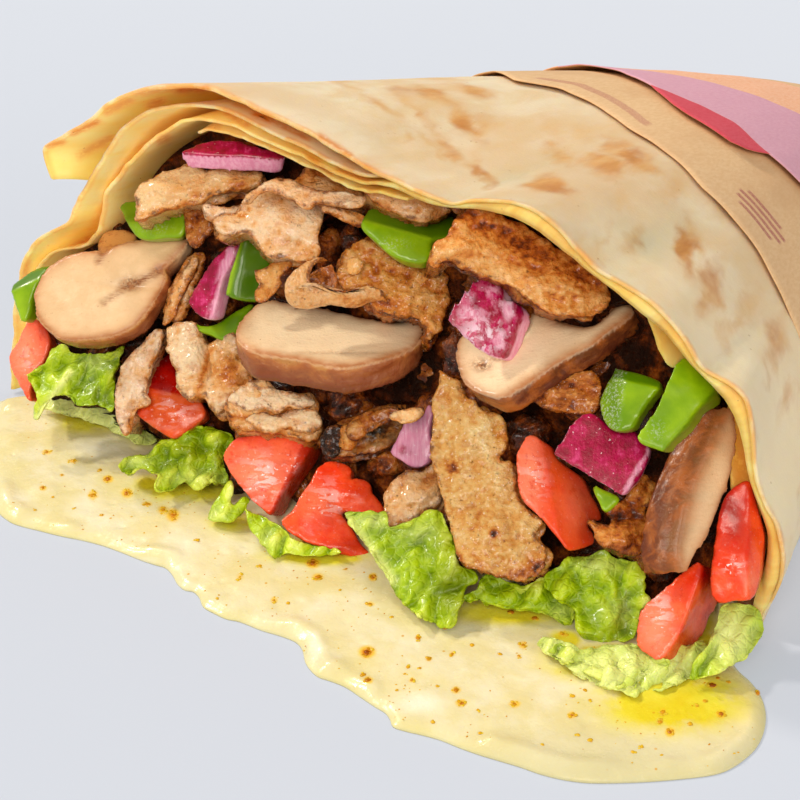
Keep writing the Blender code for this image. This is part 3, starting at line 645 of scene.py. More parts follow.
def crepe_material():
    g = Graph("crepe_baked", Roughness=0.55)
    flat = g.attribute("flat", vector=True)
    inner, rim, toast = g.attribute("inner"), g.attribute("rim"), g.attribute("toast")
    fair, mark = g.attribute("fair"), g.attribute("mark")
    broad = g.noise(15, 3, 0.5, vector=flat)
    streak = g.noise(7, 4, 0.55, 0.3, vector=g.scaled(flat, (1.0, 0.5, 1.0), (0, 0, 0.5)))
    fine = g.noise(0.7, 3, 0.6)
    pale = g.mix(g.remap(broad, 0.35, 0.65), (219, 186, 146), (229, 203, 168))
    pale = g.mix(g.remap(streak, 0.42, 0.72, 0, 0.6), pale, (215, 172, 120))
    brown = g.ramp(g.remap(streak, 0.25, 0.75), (0.0, (180, 112, 50)), (0.5, (204, 142, 76)), (1.0, (216, 164, 102)))
    broken = g.noise(5.5, 4, 0.6, 0.3, vector=g.scaled(flat, (1.0, 0.7, 1.0)))
    share = g.remap(g.math("ADD", toast, g.math("MULTIPLY", g.math("SUBTRACT", broken, 0.5), 0.75)), 0.04, 0.88, 0.0, 1.0)
    share = g.math("MULTIPLY", share, g.remap(toast, 0.02, 0.2), clamp=True)
    # Darker at the top middle and lighter on the right side, at picture points: painted shade and painted light.
    pale = g.mix(g.math("MULTIPLY", g.attribute("dim"), 0.8), pale, (204, 168, 126))
    pale = g.mix(g.math("MULTIPLY", g.attribute("lit"), 0.8), pale, (250, 216, 174))
    outer = g.mix(share, pale, brown)
    pores = g.remap(g.cells(2.6, vector=flat), 0.03, 0.12, 1.0, 0.0)
    pores = g.math("MULTIPLY", pores, g.remap(g.noise(8, 2, vector=flat), 0.5, 0.62))
    outer = g.mix(g.math("MULTIPLY", pores, 0.55), outer, (176, 120, 66))
    rim_gold = g.math("MULTIPLY", g.remap(rim, 0.0, 1.6, 1.0, 0.0), g.remap(g.noise(4, 3, vector=flat), 0.35, 0.6), clamp=True)
    outer = g.mix(g.math("MULTIPLY", rim_gold, 0.7), outer, (222, 150, 68))
    marks = g.math("MULTIPLY", mark, g.remap(g.noise(1.5, 4, 0.65), 0.30, 0.52, 0.4, 1.0))
    outer = g.mix(g.math("MULTIPLY", marks, 1.0, clamp=True), outer, (204, 124, 46))
    amber = g.mix(g.remap(g.noise(7, 4, 0.6, vector=g.scaled(flat, (1, 0.35, 1))), 0.3, 0.7), (252, 194, 70), (254, 222, 134))
    amber = g.mix(g.remap(rim, 0.0, 0.8, 0.35, 0.0), amber, (252, 222, 140))
    # Deeper inside the wrap the amber turns darker orange: painted shade in the recess.
    amber = g.mix(g.remap(rim, 3.0, 12.0, 0.0, 0.35), amber, (246, 176, 50))
    amber = g.mix(g.remap(rim, 9.0, 32.0, 0.0, 0.6), amber, (228, 138, 34))
    # Darker amber on the inner layers of the right side, behind the rim: painted shade.
    amber = g.mix(g.math("MULTIPLY", g.attribute("deep"), 0.7), amber, (236, 172, 52))
    # The inner layers on the left are lightened to pale gold where light shines through them: painted light.
    amber = g.mix(g.math("MULTIPLY", fair, 0.85), amber, g.mix(g.remap(streak, 0.35, 0.65), (252, 220, 136), (255, 238, 174)))
    amber = g.mix(g.math("MULTIPLY", rim_gold, 0.5), amber, (228, 156, 62))
    amber = g.mix(g.math("MULTIPLY", marks, 1.1, clamp=True), amber, (212, 126, 36))
    dots = g.math("MULTIPLY", g.remap(g.cells(3.4), 0.035, 0.075, 1.0, 0.0), g.remap(g.noise(9, 2), 0.42, 0.55))
    amber = g.mix(g.math("MULTIPLY", dots, 0.8), amber, (150, 92, 30))
    colour = g.mix(inner, outer, amber)
    g.set(Base_Color=g.mix(g.remap(mark, 1.05, 1.45), colour, (92, 62, 26)))
    # They also glow amber there, as light shining through the crepe: painted light, though the crepe is no lamp.
    g.set(Emission_Color=g.mix(g.math("MULTIPLY", fair, inner), (0, 0, 0), (255, 190, 96)))
    g.shader.inputs["Emission Strength"].default_value = 0.18
    g.set(Roughness=g.remap(share, 0.0, 1.0, 0.62, 0.50))
    wrinkle = g.math("ADD", g.math("MULTIPLY", streak, 0.7), g.math("MULTIPLY", fine, 0.22))
    wrinkle = g.math("SUBTRACT", wrinkle, g.math("MULTIPLY", pores, 0.3))
    g.set(Normal=g.bump(wrinkle, 0.55, 0.45))
    g.volume(0.6, (1.0, 0.62, 0.25), 2.8)
    g.set(Specular_IOR_Level=0.25)
    return g.material


crepe_look = crepe_material()
body_steps = steps((0, 3, 6), (3, 30, 22), (30, 80, 24), (80, 150, 16), (150, 190, 6))
front_steps = steps((0, 3, 6), (3, 24, 20), (24, 95, 32))
short_steps = steps((0, 3, 6), (3, 22, 15), (22, 46, 7))
sheets = [
    layer("outer", np.linspace(0.6, rows_a[-1, 0], 240), front_steps, rim_a, lambda t: 0.05 - tuck(t), 0.75, 26, crepe_look,
          end=lambda y: rows_a[-1, 0] + 7 * smoothstep(0, 50, y), seed=1, wave=0.55, flutter=0.25),
    layer("middle", np.linspace(0.0, 180.0, 250), body_steps, rim_b,
          lambda t: -0.9 + 0.9 * smoothstep(139, 149, t) - tuck(t), 0.7, 18, crepe_look, inner=0.0, seed=2, wave=0.45, flutter=0.4),
    layer("inner", np.linspace(0.0, 176.0, 235), short_steps, rim_c, lambda t: -1.75 - tuck(t), folded_in, 16, crepe_look, inner=0.92, seed=3, wave=0.4,
          flutter=0.8),
    layer("innermost", np.linspace(rows_d[0, 0] - 4, rows_d[-1, 0] + 1.5, 80), short_steps, rim_d, -2.7, 0.6, 14, crepe_look, inner=0.8,
          seed=4, wave=0.3, flutter=0.8),
]
# The floor of the wrap, a single sheet under the filling.
across = np.linspace(-1, 1, 56)
back = np.linspace(3.6, 189, 50)
wide = shrink(back)[0] * MOUTH_R
fx = TIP_X * back[:, None] / CONE_LENGTH + across[None, :] * (wide[:, None] + 0.2) - 3.8 * np.clip(across, 0, 1)[None, :]
fy = np.broadcast_to(back[:, None], fx.shape)
fz = 0.86 + 0.0 * fx
bottom = np.stack([fx, fy, fz], axis=-1)
top = bottom + np.array([0, 0, 1.2]) + np.stack([0 * fx, 0 * fx, 0.15 * np.sin(fx / 7) * np.cos(fy / 9)], axis=-1)
points, faces, edge = shell_of(top, bottom)
flat = np.stack([fx.ravel(), fy.ravel(), np.full(fx.size, 15.0)], axis=1)
n = fx.size
sheets.append(("floor", points, faces, {
    "inner": sheet_values(np.zeros(fx.shape), edge), "rim": sheet_values(fy - 3.6, edge),
    "flat": np.concatenate([flat, flat, flat[edge[0] * fx.shape[1] + edge[1]]]),
    "angle": sheet_values(np.full(fx.shape, 200.0), edge), "along": sheet_values(fy, edge)}))

all_points, all_faces, all_values, start = [], [], {}, 0
for _, points, faces, values in sheets:
    flat = values["flat"]
    warp = np.stack([fbm(flat, 9, 3, 61) * 3.4 + fbm(flat, 3, 2, 62) * 1.3, fbm(flat, 9, 3, 63) * 3.4 + fbm(flat, 3, 2, 64) * 1.3], axis=1)
    near = np.exp(-np.maximum(values["rim"], 0) / 9)
    values["mark"] = lines_at(points, FRONT_SPOTS) * (near > 0.2)
    # Painted shade on the top middle of the crepe and painted light on its right side.
    values["dim"] = spots_in(points, [(575, 172, 120, 55, 1.0), (470, 130, 90, 36, 0.4)])
    values["lit"] = spots_in(points, [(790, 490, 66, 190, 1.0), (705, 340, 80, 80, 0.5)])
    # The inner layers on the right, behind the rim, darkened: painted shade.
    values["deep"] = (1 - smoothstep(74, 90, values["angle"])) * smoothstep(0.3, 2.5, values["rim"])
    # Where the inner layers on the left are lightened and glow: painted light.
    values["fair"] = smoothstep(92, 116, values["angle"]) * (1 - smoothstep(174, 180, values["angle"])) * near
    points = points - BACK * (lines_at(points, CREASES) * (near > 0.004) * (values["angle"] < 181))[:, None] * 0.7
    values["toast"] = toasted(values["angle"] + warp[:, 0], values["along"] + warp[:, 1], SPOTS) * (values["inner"] < 0.3)
    all_points.append(points)
    all_faces.append(faces + start)
    start += len(points)
    for key, v in values.items():
        if key not in ("angle", "along"):
            all_values.setdefault(key, []).append(v)
crepe = add_mesh("crepe_folded", np.concatenate(all_points), np.concatenate(all_faces), crepe_look,
                 {k: np.concatenate(v) for k, v in all_values.items()}, ["crepe"])


# ---------------------------------------------------------------- paper cone

def paper_front(angle):
    rise = 1 / (1 + np.exp(-(angle - 62) / 11))
    side = 38 + 34 * rise + 4 * np.maximum(0, angle - 110) / 70
    traced = np.interp(angle, [20, 27.5, 33, 40.5, 47, 54.5, 60.5, 68.5, 80, 90, 96.5, 110],
                       [40, 41, 42, 44, 45, 46, 49, 53, 60, 63, 59, 66])
    near = smoothstep(18, 30, angle) * (1 - smoothstep(98, 118, angle))
    return side * (1 - near) + traced * near


def lap_front(angle):
    return np.interp(angle, [0, 20, 47, 51.5, 55.5, 57.5, 60.5, 66, 74, 82, 92, 120, 180],
                     [90, 86, 80, 79, 79, 73, 70, 71, 74, 80, 85, 92, 97])


def paper_material():
    g = Graph("paper_kraft", Roughness=0.75)
    flat = g.attribute("flat", vector=True)
    fibre = g.noise(0.7, 4, 0.65, 0.2, vector=g.scaled(flat, (1, 0.4, 1)))
    speck = g.noise(0.35, 2, 0.6)
    cloud = g.noise(18, 3, 0.5, vector=flat)
    kraft = g.mix(g.remap(fibre, 0.3, 0.7), (211, 168, 120), (219, 180, 134))
    kraft = g.mix(g.remap(cloud, 0.4, 0.65, 0, 0.5), kraft, (200, 154, 108))
    red = g.mix(g.remap(fibre, 0.3, 0.7), (198, 62, 76), (204, 78, 90))
    mauve = g.mix(g.remap(fibre, 0.3, 0.7), (204, 146, 160), (210, 156, 168))
    orange = g.mix(g.remap(fibre, 0.3, 0.7), (228, 160, 120), (234, 182, 146))
    first, second, third = g.attribute("band_a"), g.attribute("band_b"), g.attribute("band_c")
    about, run = g.attribute("about"), g.attribute("run")
    past = g.remap(first, 81.85, 82.15)
    later = g.remap(second, 106.35, 106.65)
    colour = g.mix(g.math("MULTIPLY", g.attribute("field_red"), g.math("SUBTRACT", 1.0, past)), kraft, red)
    field = g.math("MULTIPLY", g.attribute("field"), past)
    colour = g.mix(g.math("MULTIPLY", field, g.math("SUBTRACT", 1.0, later)), colour, mauve)
    colour = g.mix(g.math("MULTIPLY", g.math("MULTIPLY", g.attribute("field"), later), g.remap(third, 139.8, 140.1, 1.0, 0.0)), colour, orange)

    def bar(value, low, high, soft=0.12):
        return g.math("MULTIPLY", g.remap(value, low - soft, low + soft), g.remap(value, high - soft, high + soft, 1.0, 0.0))

    printed = g.math("MULTIPLY", bar(g.attribute("behind"), 4.6, 7.2, 0.3), bar(about, 71.0, 96.0, 0.8))
    printed = g.math("MULTIPLY", printed, 0.6)
    for at, low, high in ((52.6, 42.5, 50.0), (54.9, 41.2, 51.4), (57.2, 41.0, 51.8), (59.5, 43.0, 51.0)):
        printed = g.math("MAXIMUM", printed, g.math("MULTIPLY", bar(run, at - 0.62, at + 0.62), bar(about, low, high, 0.3)))
    printed = g.math("MULTIPLY", printed, g.attribute("ink"))
    ink = g.math("MULTIPLY", printed, g.remap(speck, 0.30, 0.6, 0.45, 0.85), clamp=True)
    colour = g.mix(ink, colour, (164, 88, 82))
    g.set(Base_Color=g.mix(g.remap(speck, 0.62, 0.75, 0.0, 0.35), colour, (176, 132, 92)))
    relief = g.math("ADD", g.math("MULTIPLY", fibre, 0.18), g.math("MULTIPLY", g.noise(7, 3, 0.5, vector=flat), 1.2))
    g.set(Normal=g.bump(relief, 0.35, 0.3))
    g.volume(0.06, (1.0, 0.6, 0.35), 1.5)
    return g.material


def paper_wall(angle, y, out):
    """The wall, with its feet drawn down to the floor, and pleats that grow towards the pinched end."""
    p = wall(angle, y, out)
    pinch = smoothstep(140, 212, y)
    flat = np.stack([angle.ravel() / 9, y.ravel() / 26, np.full(angle.size, 2.2)], axis=1)
    crease = fbm(flat, 1.0, 2, 31, ridged=True).reshape(angle.shape)
    fold = (crease - 0.2) * (0.22 + 1.5 * pinch) * smoothstep(2, 14, angle) * (1 - smoothstep(166, 178, angle)) * smoothstep(0, 9, y - paper_front(angle))
    wide, high = shrink(y)
    t = np.radians(angle)
    p[..., 0] += np.cos(t) * fold
    p[..., 2] += np.sin(t) * fold
    foot = np.clip(1 - np.minimum(angle, 180 - angle) / 2.5, 0, 1)
    p[..., 2] = p[..., 2] * (1 - foot) + 0.12 * foot
    return p


paper_look = paper_material()
paper_parts = []
angle = np.linspace(0, 180, 150)
rows = np.concatenate([np.linspace(0, 0.06, 5, endpoint=False), np.linspace(0.06, 1, 58)])
aa, tt = np.meshgrid(angle, rows)


def paper_sheet(front, out, thick, lifted, fields):
    edge_y = front(aa) + 0.25 * np.sin(aa / 3.1) + 0.15 * np.sin(aa / 1.3)
    yy = edge_y + (PAPER_END - edge_y) * tt
    lift = lifted * np.exp(-(yy - edge_y) / 9) * smoothstep(4, 20, aa) * (1 - smoothstep(150, 172, aa))
    outer = paper_wall(aa, yy, out + lift)
    inner = paper_wall(aa, yy, out - thick + lift)
    pinch = smoothstep(208, PAPER_END, yy)[..., None]
    middle = np.stack([TIP_X * yy / CONE_LENGTH, yy, 0 * yy + 1.6], axis=-1)
    squeeze = np.array([0.35, 0, 0.75])
    outer = outer + (middle - outer) * squeeze * pinch
    inner = inner + (middle - inner) * squeeze * pinch
    points, faces, edge = shell_of(outer, inner)
    flat = np.stack([aa.ravel() * 1.3, yy.ravel(), np.full(aa.size, out * 4)], axis=1)
    values = {"flat": np.concatenate([flat, flat, flat[edge[0] * aa.shape[1] + edge[1]]])}
    for key, v in fields(aa, yy, edge_y).items():
        v = np.broadcast_to(v, aa.shape)
        hidden = v if key in ("band_a", "band_b", "band_c", "about", "run", "behind") else 0 * v
        values[key] = np.concatenate([v.ravel(), hidden.ravel(), v[edge]])
    return points, faces, values


def fields(lap):
    def values(a, y, edge_y):
        return {"band_a": y + 0.12 * (a - 70) + 0.55 * np.maximum(0, 65 - a), "band_b": y + 0.55 * (a - 78), "band_c": y + 0.3 * (a - 78),
                "about": a, "run": y, "behind": y - edge_y, "ink": (1.0 - lap) + 0 * a,
                "field_red": lap * smoothstep(50, 52, a) * (1 - smoothstep(92, 97, a)),
                "field": lap * smoothstep(30, 31, a) * (1 - smoothstep(150, 151, a))}
    return values


paper_parts.append(paper_sheet(paper_front, 0.66, 0.3, 0.35, fields(0)))
paper_parts.append(paper_sheet(lap_front, 1.22, 0.3, 0.9, fields(1)))
# Underside, one flat sheet on the floor.
u, v = np.meshgrid(np.linspace(-1, 1, 40), np.linspace(0, 1, 44))
front_y = paper_front(180 * (u + 1) / 2 * -1 + 180)
yy = front_y + (PAPER_END - front_y) * v
ux = TIP_X * yy / CONE_LENGTH + u * (shrink(yy)[0] * MOUTH_R + 0.55)
low = np.stack([ux, yy, 0 * ux + 0.02], axis=-1)
points, faces, edge = shell_of(low + np.array([0, 0, 0.3]), low)
flat = np.stack([ux.ravel(), yy.ravel(), np.full(ux.size, 9.0)], axis=1)
zero = np.zeros(len(points))
under = {"flat": np.concatenate([flat, flat, flat[edge[0] * ux.shape[1] + edge[1]]])}
under.update({key: zero for key in ("band_a", "band_b", "band_c", "about", "run", "behind", "ink", "field_red", "field")})
paper_parts.append((points, faces, under))
all_points, all_faces, all_values, start = [], [], {}, 0
for points, faces, values in paper_parts:
    all_points.append(points)
    all_faces.append(faces + start)
    start += len(points)
    for key, v in values.items():
        all_values.setdefault(key, []).append(v)
paper = add_mesh("paper_cone", np.concatenate(all_points), np.concatenate(all_faces), paper_look,
                 {k: np.concatenate(v) for k, v in all_values.items()}, ["paper"])


# ---------------------------------------------------------------- melted cheese

CHEESE_EDGE = [(0, 400), (-8, 430), (-12, 460), (-10, 490), (-4, 508), (8, 519), (20, 524), (40, 529), (60, 534), (80, 538), (100, 543),
               (120, 550), (140, 558), (155, 563), (165, 566), (172, 573), (177, 582), (184, 588), (193, 590), (199, 596),
               (203, 605), (213, 611), (226, 617), (240, 620), (260, 628), (280, 634), (295, 640), (302, 648), (305, 660),
               (310, 668), (318, 675), (330, 679), (345, 685), (360, 695), (375, 705), (385, 711), (390, 718), (393, 725),
               (405, 729), (422, 733), (440, 738), (460, 746), (480, 753), (500, 759), (520, 765), (540, 772), (560, 777),
               (580, 780), (600, 781), (640, 780), (680, 777), (712, 773), (730, 767), (745, 757), (757, 745), (764, 730),
               (766, 713), (761, 695), (751, 681), (738, 669), (728, 655)]


def catmull(points, closed=True, each=6):
    p = np.asarray(points, float)
    n = len(p)
    if closed:
        a, b, c, d = np.roll(p, 1, 0), p, np.roll(p, -1, 0), np.roll(p, -2, 0)
    else:
        q = np.concatenate([p[:1] * 2 - p[1:2], p, p[-1:] * 2 - p[-2:-1]])
        a, b, c, d = q[:-3], q[1:-2], q[2:-1], q[3:]
    rows = []
    for k in range(each):
        t = k / each
        rows.append(0.5 * (2 * b + (c - a) * t + (2 * a - 5 * b + 4 * c - d) * t * t + (3 * b - a - 3 * c + d) * t ** 3))
    out = np.stack(rows, axis=1).reshape(-1, p.shape[1])
    return out if closed else np.concatenate([out, p[-1:]])


def resample(points, step, closed=True):
    p = np.concatenate([points, points[:1]]) if closed else points
    d = np.concatenate([[0], np.cumsum(np.linalg.norm(np.diff(p[:, :2], axis=0), axis=1))])
    n = max(8, int(round(d[-1] / step)))
    at = np.linspace(0, d[-1], n + (0 if closed else 1), endpoint=not closed)
    return np.stack([np.interp(at, d, p[:, c]) for c in range(p.shape[1])], axis=1)


def spots_at(points, marks):
    """Soft blots at picture points: (x, y, half width, half height, strength)."""
    q = picture(points)
    total = np.zeros(len(points))
    for x, y, a, b, strength in marks:
        total = np.maximum(total, strength * np.exp(-(((q[:, 0] - x) / a) ** 2 + ((q[:, 1] - y) / b) ** 2)))
    return total


def inside_distance(points, outline):
    """Distance of flat points to a closed outline, positive inside."""
    a, b = outline, np.roll(outline, -1, axis=0)
    e = b - a
    length = (e ** 2).sum(axis=1) + 1e-12
    best = np.full(len(points), 1e9)
    crossings = np.zeros(len(points), int)
    for lo in range(0, len(points), 20000):
        p = points[lo:lo + 20000]
        w = p[:, None, :] - a[None]
        t = np.clip((w * e[None]).sum(-1) / length, 0, 1)
        d = np.linalg.norm(w - t[..., None] * e[None], axis=-1).min(axis=1)
        best[lo:lo + 20000] = d
        above = (a[None, :, 1] > p[:, None, 1]) != (b[None, :, 1] > p[:, None, 1])
        cross_x = a[None, :, 0] + (p[:, None, 1] - a[None, :, 1]) / (e[None, :, 1] + 1e-12) * e[None, :, 0]
        crossings[lo:lo + 20000] = (above & (p[:, None, 0] < cross_x)).sum(axis=1)
    return np.where(crossings % 2 == 1, best, -best)


rim = on_plane(CHEESE_EDGE, (0, 0, 0.6), np.array([0, 0, 1.0]))[:, :2]
rim = resample(catmull(rim, closed=False), 0.62, closed=False)
# Close the outline behind, inside the mouth.
tail = np.stack([np.linspace(rim[-1, 0], 76, 6)[1:], np.linspace(rim[-1, 1], 9, 6)[1:]], axis=1)
behind = np.stack([np.linspace(76, -74, 150)[1:], np.full(149, 9.0)], axis=1)
head = np.stack([np.linspace(-74, rim[0, 0], 12)[1:-1], np.linspace(9, rim[0, 1], 12)[1:-1]], axis=1)
outline = np.concatenate([rim, tail, behind, head])
# Rings from the outline inwards to a line through the middle of the puddle.
middle = np.stack([np.clip(outline[:, 0] * 0.93, -74, 76), np.interp(outline[:, 0], [-90, -40, 20, 60, 95], [-12, -13, -17, -19, -17])], axis=1)
ring_at = np.concatenate([np.linspace(0, 0.09, 9), np.linspace(0.115, 1, 46)])
flat = outline[None] + (middle - outline)[None] * ring_at[:, None, None]
rows_n, columns_n = flat.shape[:2]
xy = flat.reshape(-1, 2)
inward = inside_distance(xy, outline)
p3 = np.concatenate([xy, np.zeros((len(xy), 1))], axis=1)
away = np.maximum(inward, 0)
height = 0.22 + 0.75 * (1 - np.exp(-away / 0.8)) + 1.6 * (1 - np.exp(-away / 9))
height += fbm(p3, 13, 3, 41) * 0.55 * smoothstep(1, 9, away) + fbm(p3, 4.2, 3, 43) * 0.22 * smoothstep(0.5, 4, away)
height += 0.7 * bell(away, 2.6, 1.8) * smoothstep(0.05, 0.4, fbm(p3, 15, 2, 44))
dimple = cells(p3, 3.4, 6)[0]
height -= 0.25 * smoothstep(0.22, 0.05, dimple) * smoothstep(2, 6, away)
lip = (xy[:, 1] > 3.0)
height = np.where(xy[:, 1] > 2.2, np.maximum(height, 3.2), height)
top = np.concatenate([xy, height[:, None]], axis=1)
low_z = np.where(xy[:, 1] > 2.4, 2.45, 0.05)
bottom = np.concatenate([xy, low_z[:, None]], axis=1)
keep = np.r_[0:4, 8:rows_n:8]
bottom = bottom.reshape(rows_n, columns_n, 3)[keep].reshape(-1, 3)
top[:columns_n, 2] = np.where(outline[:, 1] > 2.2, 3.0, 0.3)
faces = [grid_faces(rows_n, columns_n, wrap=True), grid_faces(len(keep), columns_n, start=len(top), wrap=True, flip=True)]
ring = np.arange(columns_n)
nxt = (ring + 1) % columns_n
faces.append(np.stack([nxt, ring, len(top) + ring, len(top) + nxt], axis=1))
points = np.concatenate([top, bottom])
faces = np.concatenate(faces)

OIL = [(90, 418, 34, 15, 1.0), (150, 432, 22, 12, 0.8), (190, 490, 50, 12, 0.9), (150, 484, 18, 10, 0.7), (235, 522, 26, 10, 0.8), (325, 557, 52, 8, 0.95),
       (300, 545, 20, 8, 0.6), (515, 612, 62, 12, 1.0), (480, 606, 26, 8, 0.6), (565, 640, 16, 10, 1.0), (590, 668, 50, 16, 0.6), (672, 700, 74, 32, 1.0), (640, 690, 36, 14, 0.9), (600, 655, 34, 12, 0.8),
       (665, 700, 40, 22, 0.8), (705, 640, 14, 30, 0.9), (560, 655, 20, 12, 0.5), (45, 395, 16, 8, 0.6)]
DOTS = [(367, 652, 8, 6, 1), (373, 577, 4, 4, 1), (313, 563, 7, 5, 1), (318, 577, 6, 4, 0.7), (108, 479, 5, 4, 0.9), (93, 495, 6, 6, 0.6),
        (127, 493, 6, 5, 0.8), (147, 504, 6, 3, 0.6), (163, 510, 6, 5, 0.6), (173, 515, 7, 7, 0.8), (43, 488, 4, 3, 0.7), (47, 452, 6, 3, 0.6),
        (73, 461, 7, 3, 0.5), (62, 475, 2.5, 2, 0.6), (100, 470, 3, 3, 0.5), (102, 515, 3, 2, 0.5), (35, 510, 4, 2, 0.3), (240, 577, 5, 5, 0.4),
        (274, 600, 4, 4, 0.6), (260, 566, 4, 3, 0.4), (288, 603, 2, 2, 0.4), (370, 604, 5, 3, 0.6), (418, 638, 3, 4, 0.6), (429, 659, 4, 3, 0.6),
        (452, 654, 3, 4, 0.6), (456, 690, 5, 4, 0.7), (461, 703, 5, 4, 0.9), (412, 680, 4, 3, 0.6), (368, 680, 5, 4, 0.8), (363, 675, 3, 3, 0.5),
        (437, 686, 3, 2, 0.4), (408, 667, 3, 2, 0.5), (420, 668, 2.5, 1.5, 0.5), (405, 674, 3, 2, 0.4), (478, 710, 3, 2, 0.4), (480, 733, 3, 2, 0.4),
        (433, 722, 3, 3, 0.3), (523, 645, 5, 5, 0.6), (519, 656, 3, 3, 0.5), (511, 612, 3, 2, 0.8), (535, 618, 4, 3, 0.8), (515, 704, 6, 4, 0.7),
        (572, 715, 5, 4, 0.7), (573, 696, 4, 2, 0.4), (590, 700, 3, 2, 0.4), (585, 690, 2, 1.5, 0.5), (663, 712, 4, 5, 0.5), (670, 732, 5, 5, 0.8),
        (660, 722, 4, 3, 0.5), (712, 685, 5, 3, 1), (721, 714, 5, 4, 0.8), (705, 701, 4, 2, 0.5), (697, 706, 3, 2, 0.5), (718, 678, 3, 2, 0.7),
        (729, 682, 3, 1.5, 0.5), (758, 693, 3, 3, 0.7), (642, 747, 4, 3, 0.3), (633, 752, 4, 1.5, 0.3), (590, 740, 3, 2, 0.3), (578, 735, 3, 1.5, 0.3),
        (543, 745, 2, 1.5, 0.3), (662, 755, 2, 1, 0.3), (690, 724, 3, 2, 0.4), (392, 617, 2, 1, 0.5), (340, 590, 3, 1, 0.3), (197, 540, 4, 3, 0.3),
        (218, 599, 2, 1.5, 0.4), (75, 508, 3, 2, 0.3), (53, 497, 3, 2, 0.3), (346, 569, 3, 2, 0.5), (500, 654, 3, 2, 0.4), (563, 634, 5, 4, 0.6),
        (555, 643, 5, 4, 0.7), (472, 645, 2, 1.2, 0.4), (445, 628, 3, 1.5, 0.6), (397, 690, 3, 2, 0.4)]
# Whitish patches of painted sheen on the cheese: x, y, half width, half height, strength.
CHEESE_SHEEN_SPOTS = [(100, 448, 38, 9, 0.7), (40, 410, 20, 14, 0.45), (315, 645, 7, 14, 0.9), (420, 703, 26, 11, 1.0), (185, 548, 24, 26, 0.6), (150, 560, 18, 4, 0.4),
         (20, 498, 14, 5, 0.7), (90, 510, 30, 10, 0.3), (255, 590, 26, 14, 0.35), (330, 618, 30, 20, 0.3), (190, 585, 8, 5, 0.4), (300, 600, 12, 8, 0.4),
         (100, 525, 30, 8, 0.3), (640, 735, 60, 20, 0.15), (410, 640, 30, 20, 0.15)]


def cheese_material():
    g = Graph("cheese_melted", Roughness=0.3)
    oil, dot, white, edge = g.attribute("oil"), g.attribute("dot"), g.attribute("white"), g.attribute("edge")
    cloud = g.noise(9, 4, 0.55)
    fine = g.noise(1.1, 4, 0.6)
    base = g.ramp(g.remap(cloud, 0.3, 0.7), (0.0, (217, 200, 138)), (0.5, (221, 206, 154)), (1.0, (226, 214, 174)))
    base = g.mix(g.math("MULTIPLY", edge, 0.6), base, (214, 200, 140))
    base = g.mix(g.math("MULTIPLY", g.attribute("shade"), 0.9), base, (203, 192, 146))
    # Whitish patches: painted sheen.
    base = g.mix(g.math("MULTIPLY", white, 0.75), base, (236, 228, 204))
    oily = g.remap(g.math("MULTIPLY", oil, g.remap(g.noise(5, 4, 0.6), 0.25, 0.6, 0.6, 1.15)), 0.05, 0.7)
    base = g.mix(oily, base, g.mix(g.remap(cloud, 0.35, 0.65), (224, 210, 62), (216, 194, 36)))
    streak = g.remap(g.noise(1.6, 5, 0.65), 0.66, 0.78)
    base = g.mix(g.math("MULTIPLY", streak, 0.35), base, (230, 200, 90))
    tiny = g.math("MULTIPLY", g.remap(g.cells(3.3), 0.05, 0.10, 1.0, 0.0), g.remap(g.noise(11, 3, 0.6), 0.46, 0.58), clamp=True)
    base = g.mix(g.math("MULTIPLY", tiny, 0.8), base, (206, 148, 20))
    spot = g.math("MULTIPLY", dot, g.remap(fine, 0.2, 0.5, 0.6, 1.0), clamp=True)
    base = g.mix(g.remap(spot, 0.12, 0.5, 0.0, 0.85), base, (232, 184, 40))
    base = g.mix(g.remap(spot, 0.45, 0.85), base, (205, 116, 14))
    g.set(Base_Color=base)
    g.set(Roughness=g.remap(g.noise(3, 3), 0.3, 0.7, 0.15, 0.30))
    g.set(Normal=g.bump(g.math("ADD", g.math("MULTIPLY", fine, 0.3), g.noise(3.2, 3, 0.5)), 0.4, 0.45))
    g.volume(0.25, (1.0, 0.8, 0.4), 2.4)
    return g.material


both = points
puddle_top = top[outline[:, 1].size * 6:]
# The white patches here are painted sheen, and shade is painted shade.
values = {"oil": spots_at(both, OIL), "dot": spots_at(both, DOTS), "white": spots_at(both, CHEESE_SHEEN_SPOTS),
          "shade": np.maximum(spots_at(both, [(610, 765, 170, 40, 0.9)]), lines_at(both, [(0, 545, 200, 585, 10, 0.25), (200, 585, 420, 720, 10, 0.25)])),
          "edge": np.concatenate([np.exp(-away / 2.6), np.zeros(len(bottom))])}
cheese = add_mesh("cheese_puddle", points, faces, cheese_material(), values, ["cheese"])


# ---------------------------------------------------------------- pieces in the mouth

HEAP_POINT = np.array([0.0, -14.0, 0.0])
HEAP_NORMAL = np.array([0.0, -1.0, 0.36]) / math.hypot(1, 0.36)


def remeshed(points, faces, voxel):
    mesh = bpy.data.meshes.new("rough")
    mesh.from_pydata(points.tolist(), [], faces)
    obj = bpy.data.objects.new("rough", mesh)
    bpy.context.scene.collection.objects.link(obj)
    modifier = obj.modifiers.new("voxels", "REMESH")
    modifier.mode = "VOXEL"
    modifier.voxel_size = voxel
    done = bpy.data.meshes.new_from_object(obj.evaluated_get(bpy.context.evaluated_depsgraph_get()))
    p = np.empty(len(done.vertices) * 3)
    done.vertices.foreach_get("co", p)
    f = np.empty(len(done.loops), np.int32)
    done.loops.foreach_get("vertex_index", f)
    bpy.data.objects.remove(obj)
    bpy.data.meshes.remove(mesh)
    bpy.data.meshes.remove(done)
    return p.reshape(-1, 3), f.reshape(-1, 4)


SHOWN = []
LOOSE = {}


